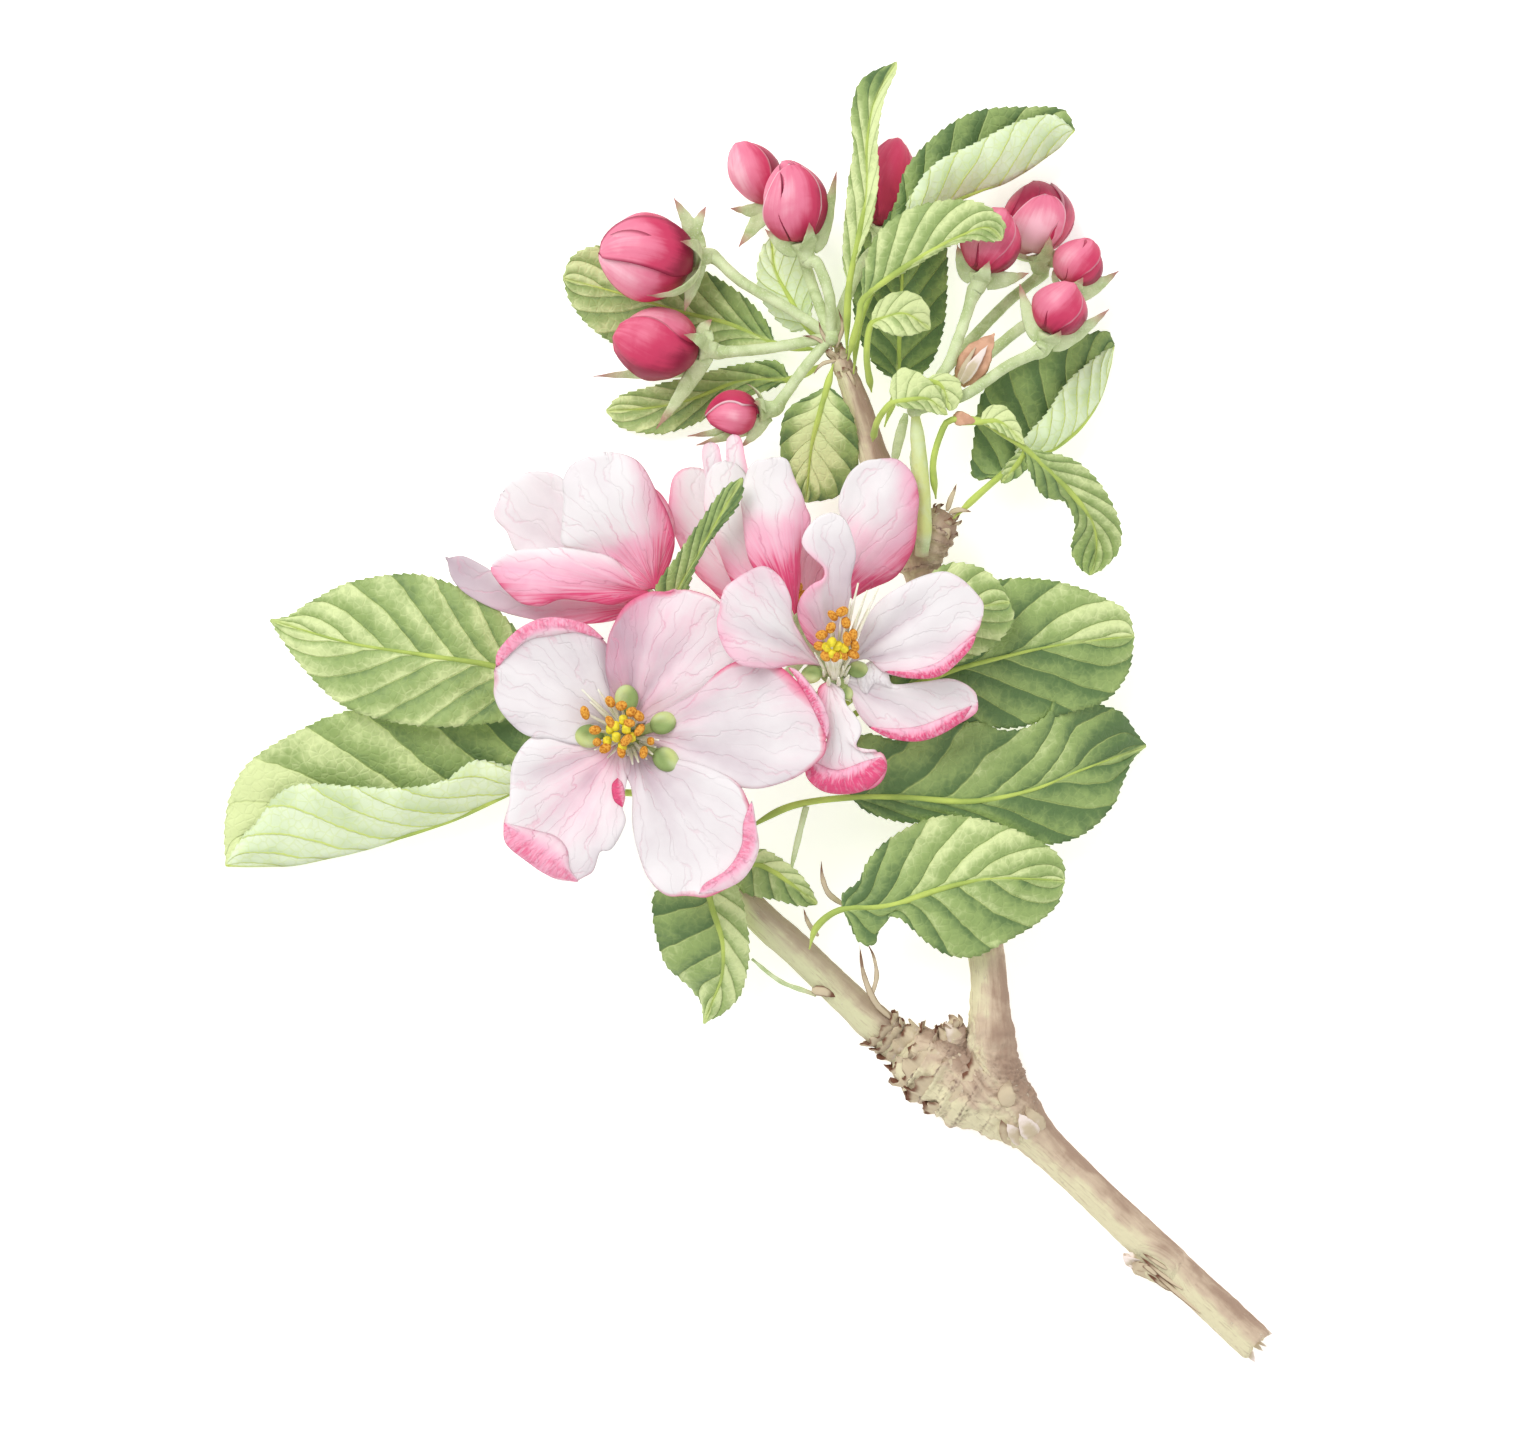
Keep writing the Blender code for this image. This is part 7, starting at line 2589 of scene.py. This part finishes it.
def trim() -> Trim:
    """Describes the scales, stipules and threads."""
    shoot_way = (-0.75, 0.66, 0.1)
    spur_way = (0.6, 0.7, 0.25)
    return Trim(
        (
            Collar((952, 1026, 9.8), (-0.2, 0.9, 0.4), 1.3, 7, 1.4, 0.8, 0.8, 0.7),
            Collar((943, 519, 11.0), spur_way, 2.1, 7, 1.4, 0.8, 0.5, 0.9),
            Collar((846, 374, 13.6), (-0.35, 0.93, 0.2), 1.6, 8, 1.3, 0.7, 0.5, 0.7),
            Collar((840, 358, 14.1), (-0.35, 0.93, 0.2), 1.4, 8, 1.4, 0.7, 0.6, 0.7),
            Collar((718, 768, 13.6), (0.0, 1.0, 0.1), 1.8, 8, 1.2, 0.8, 0.5, 0.5),
            Collar((1150, 1265, 3.4), (-0.86, 0.48, 0.05), 1.9, 7, 2.6, 1.5, 0.1, 0.5),
            Collar((1140, 1258, 3.3), (-0.86, 0.48, 0.05), 1.4, 6, 2.6, 1.4, 0.0, -0.7),
        ),
        (
            Ledge((888, 1033, 7.3), shoot_way, 4.0, 1.6, 0.75, 0.8),
            Ledge((895, 1040, 7.2), shoot_way, 4.4, 1.8, 0.80, 0.8),
            Ledge((904, 1047, 7.1), shoot_way, 4.9, 2.0, 0.80, 0.8),
            Ledge((914, 1055, 6.9), shoot_way, 5.4, 2.3, 0.90, 0.8),
            Ledge((928, 1065, 6.8), shoot_way, 6.0, 2.7, 0.90, 0.8),
            Ledge((944, 1076, 6.8), shoot_way, 6.8, 3.0, 0.80, 0.8),
            Ledge((963, 1088, 6.7), shoot_way, 7.4, 3.2, 0.60, 0.8),
            Ledge((936, 530, 10.5), spur_way, 3.2, 1.4, 0.3),
        ),
        (
            Shred(((960, 1048, 9.0), (953, 1034, 10.8), (944, 1020, 11.6)), 1.3, -0.3, 1.3),
            Shred(((952, 1046, 9.0), (944, 1036, 10.2), (938, 1026, 10.6)), 1.0, 0.4, 1.0),
            Shred(((1034, 1136, 8.4), (1026, 1125, 10.6), (1018, 1112, 11.8)), 1.5, -0.6, 0.5),
            Shred(((1042, 1128, 8.4), (1033, 1117, 10.6), (1025, 1105, 11.5)), 1.3, 0.5, 0.5),
            Shred(((1024, 1140, 7.6), (1014, 1132, 10.2), (1006, 1122, 11.8)), 1.3, -0.4, 0.5),
            Shred(((1012, 1142, 7.4), (1004, 1130, 10.4), (1000, 1118, 11.9)), 1.1, 0.6, 0.5),
            Shred(((1010, 1104, 11.8), (1005, 1092, 12.6), (1008, 1078, 12.2)), 1.4, 0.5, 0.6),
            Shred(((1200, 1312, 0.0), (1178, 1293, 0.1), (1158, 1276, 0.2), (1142, 1262, 0.3)),
                  0.42, 1.3, 0.4, laid=True),
            Shred(((1182, 1288, 0.0), (1166, 1277, 0.1), (1152, 1266, 0.2), (1138, 1254, 0.2)),
                  0.36, 1.1, 0.4, laid=True),
            Shred(((1172, 1290, 0.0), (1158, 1281, 0.1), (1146, 1272, 0.2)), 0.4, 1.4, 0.4,
                  laid=True),
            Shred(((1166, 1268, 0.0), (1154, 1260, 0.1), (1142, 1252, 0.2)), 0.34, 0.9, 0.4,
                  laid=True),
            Shred(((1156, 1274, 0.1), (1146, 1266, 0.3), (1137, 1260, 0.3)), 0.45, 1.2, 0.4,
                  laid=True),
            Shred(((1150, 1262, 3.9), (1136, 1252, 4.3), (1125, 1245, 3.9)), 0.8, 0.55, 0.5),
            Shred(((1146, 1270, 3.4), (1134, 1263, 3.7), (1126, 1253, 3.5)), 1.0, -0.9, 0.5),
            Shred(((1240, 1342, 3.6), (1249, 1353, 3.4), (1254, 1361, 2.8)), 0.8, -0.4, 0.8),
            Shred(((1252, 1326, 4.0), (1263, 1331, 3.8), (1272, 1333, 3.4)), 0.8, -0.3, 0.8),
            Shred(((1245, 1334, 3.4), (1254, 1343, 3.2), (1262, 1350, 2.8)), 0.5, -0.2, 0.6),
            Shred(((1250, 1332, 2.6), (1258, 1341, 2.4), (1266, 1346, 2.2)), 0.4, -0.2, 0.6),
            Shred(((958, 386, 15.5), (968, 372, 16.8), (978, 356, 17.6), (993, 336, 17.9)),
                  2.5, -2.6, 0.4, outline=(0.4, 0.8, 1.0, 0.85, 0.5, 0.05)),
            # a pale narrow strip over the brown scale: its light streak, with a painted highlight
            Shred(((960, 385, 16.4), (972, 368, 17.9), (986, 348, 18.3)), 0.9, -0.9, 0.35),
            Shred(((957, 384, 16.3), (964, 368, 17.6), (974, 350, 18.0)), 0.5, 0.2, 0.3),
            Shred(((952, 420, 17.0), (962, 421, 18.2), (975, 424, 18.2)), 1.1, -2.0, 0.5),
            Shred(((946, 512, 12.4), (950, 500, 13.4), (956, 484, 14.0)), 0.45, 0.8),
            Shred(((948, 514, 12.2), (958, 511, 12.8), (971, 513, 12.8)), 0.4, 0.8),
            Shred(((832, 352, 15.0), (822, 336, 16.4), (818, 322, 16.6)), 0.3, 0.9),
            Shred(((828, 348, 15.2), (814, 340, 16.0), (802, 338, 15.8)), 0.3, 0.9),
            Shred(((836, 350, 15.2), (842, 330, 16.8), (838, 312, 17.0)), 0.3, 0.9),
            Shred(((838, 362, 14.8), (822, 366, 15.2), (812, 378, 14.6)), 0.3, 0.8),
            Shred(((842, 366, 14.8), (850, 378, 15.2), (856, 392, 14.6)), 0.35, 0.8),
            Shred(((844, 905, 12.6), (828, 892, 15.0), (822, 876, 16.4), (821, 860, 17.0)),
                  0.45, 0.75),
            Shred(((818, 935, 12.6), (808, 922, 14.0), (803, 906, 14.6)), 0.4, 0.75),
            Shred(((893, 1020, 9.6), (874, 1000, 11.6), (863, 972, 13.6), (859, 944, 15.4)),
                  0.5, 0.8, 0.6),
            Shred(((871, 996, 11.8), (876, 975, 13.2), (873, 955, 14.2), (866, 941, 15.0)),
                  0.35, 0.8),
            Shred(((812, 989, 10.8), (823, 990, 11.6), (836, 996, 11.2)), 0.8, 1.0, 0.9),
            Shred(((806, 806, 15.0), (800, 830, 15.2), (791, 868, 14.6)), 0.5, 0.0, 0.9, True,
                  outline=(0.9, 1.0, 0.9, 0.9, 0.8, 0.5)),
            Shred(((752, 958, 11.0), (780, 980, 10.6), (816, 994, 10.4)), 0.4, 0.5, 0.7, True,
                  outline=(0.5, 0.8, 0.8, 0.9, 1.0, 0.8)),
            Shred(((905, 415, 14.0), (899, 438, 13.2), (893, 466, 12.6)), 0.8, 0.0, 0.6, True,
                  outline=(0.5, 0.9, 1.0, 0.9, 0.8, 0.4)),
            Shred(((912, 452, 14.6), (914, 468, 14.4), (910, 484, 14.0)), 0.7, 0.0, 0.6, True),
        ))


# ------------------------------------------------------------------ the studio


TABLE_REACH = 3.0                # metres from the middle of the table to its edge
TABLE_GLOW = 0.4                 # light that the table gives, which keeps it white
SKY_STRENGTH = 0.62
LENS = 400.0                     # mm
SENSOR = 36.0                    # mm
LIGHTS = (("key_light", (0.45, -0.55, -0.9), 1.7, 35.0),    # name, way, strength, degrees wide
          ("fill_light", (-0.6, 0.3, -0.8), 0.45, 70.0))
PEDUNCLE_RADII = (1.0, 1.35, 1.3, 1.2, 1.1, 0.6)            # mm from foot to knob


def studio() -> None:
    """Sets the pale table, the soft light and the camera that looks down on it."""
    floor = bmesh.new()
    bmesh.ops.create_grid(floor, x_segments=1, y_segments=1, size=TABLE_REACH)
    mesh = bpy.data.meshes.new("table_top")
    floor.to_mesh(mesh)
    floor.free()
    table = bpy.data.objects.new("table_top", mesh)
    bpy.context.scene.collection.objects.link(table)
    shade = Shade("table_white", 0.9, 0.1)
    shade.shader.inputs["Emission Color"].default_value = (1, 1, 1, 1)
    shade.shader.inputs["Emission Strength"].default_value = TABLE_GLOW
    mesh.materials.append(shade.colour(shade.mix(shade.step(shade.noise(9, 2), 0.3, 0.7),
                                                 paint("#FBFAF8"), paint("#FFFFFF"))))
    table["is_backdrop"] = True
    world = bpy.data.worlds.new("studio")
    world.use_nodes = True
    sky = world.node_tree.nodes["Background"].inputs
    sky["Color"].default_value, sky["Strength"].default_value = (1, 1, 1, 1), SKY_STRENGTH
    bpy.context.scene.world = world
    for name, way, strength, angle in LIGHTS:
        lamp = bpy.data.lights.new(name, "SUN")
        lamp.energy, lamp.angle = strength, math.radians(angle)
        light = bpy.data.objects.new(name, lamp)
        light.rotation_mode = "QUATERNION"
        light.rotation_quaternion = Vector(way).to_track_quat("-Z", "Y")
        bpy.context.scene.collection.objects.link(light)
    lens = bpy.data.cameras.new("camera")
    lens.lens, lens.sensor_width, lens.sensor_fit = LENS, SENSOR, "HORIZONTAL"
    lens.clip_start, lens.clip_end = 0.1, 20.0
    camera = bpy.data.objects.new("camera", lens)
    across, down = PLAN_SHEET
    distance = across * PLAN_GRID * lens.lens / lens.sensor_width
    camera.location = plan(across / 2, down / 2) + Vector((0, 0, distance))
    bpy.context.scene.collection.objects.link(camera)
    bpy.context.scene.camera = camera
    bpy.context.scene.view_settings.view_transform = "Standard"


def stalks(bench: Workbench, node: str, knob: Place, knob_radius: float,
           carried: Sequence[object], limbs: Sequence[Sequence[Place]] = ()) -> None:
    """Makes one green stalk: its knob, its limbs and every pedicel, cup and sepal on it.

    Args:
        bench: the workbench.
        node: the solid that the stalk stands for.
        knob: the place where its pedicels meet.
        knob_radius: the knob's radius in mm.
        carried: the flowers or buds on it.
        limbs: further green limbs.
    """
    builder = GREEN_LANES.start()
    Grain(plan(*knob), Vector((0, 0, 1)), knob_radius, knob_radius, 0.0, 3).build(builder)
    for limb in limbs:
        strand = Strand([plan(*p) for p in limb], PEDUNCLE_RADII, sides=16, rings=44)
        strand.build(builder, 0, tint_and_painted_light=lambda t, a: -0.8 + 1.3 * between(0.22, 0.0, t))
    for item in carried:
        item.green(builder)
    bench.piece(f"{node}_skin", builder, (bench.palette.green,), (node,))


def main() -> None:
    """Builds the branch piece by piece."""
    logging.basicConfig(level=logging.INFO, format="%(message)s")
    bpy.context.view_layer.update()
    studio()
    bench = Workbench(Palette())
    bark = wood().build(bench)
    trim().build(bench, bark)
    for leaf in leaves():
        leaf.build(bench)
    for petal in petals():
        petal.build(bench)
    open_flowers, left, right = flowers(), left_buds(), right_buds()
    for flower in open_flowers:
        flower.tuft(bench)
    for bud in (*left, *right):
        bud.build(bench)
    stalks(bench, "flower_stalks", FLOWER_KNOB, 1.8, open_flowers)
    stalks(bench, "left_bud_stalks", LEFT_KNOB, 1.4, left)
    stalks(bench, "right_bud_stalks", RIGHT_KNOB, 1.2, right, (PEDUNCLE,))
    log.info("%d pieces", bench.made)
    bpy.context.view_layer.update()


if __name__ == "__main__":
    main()
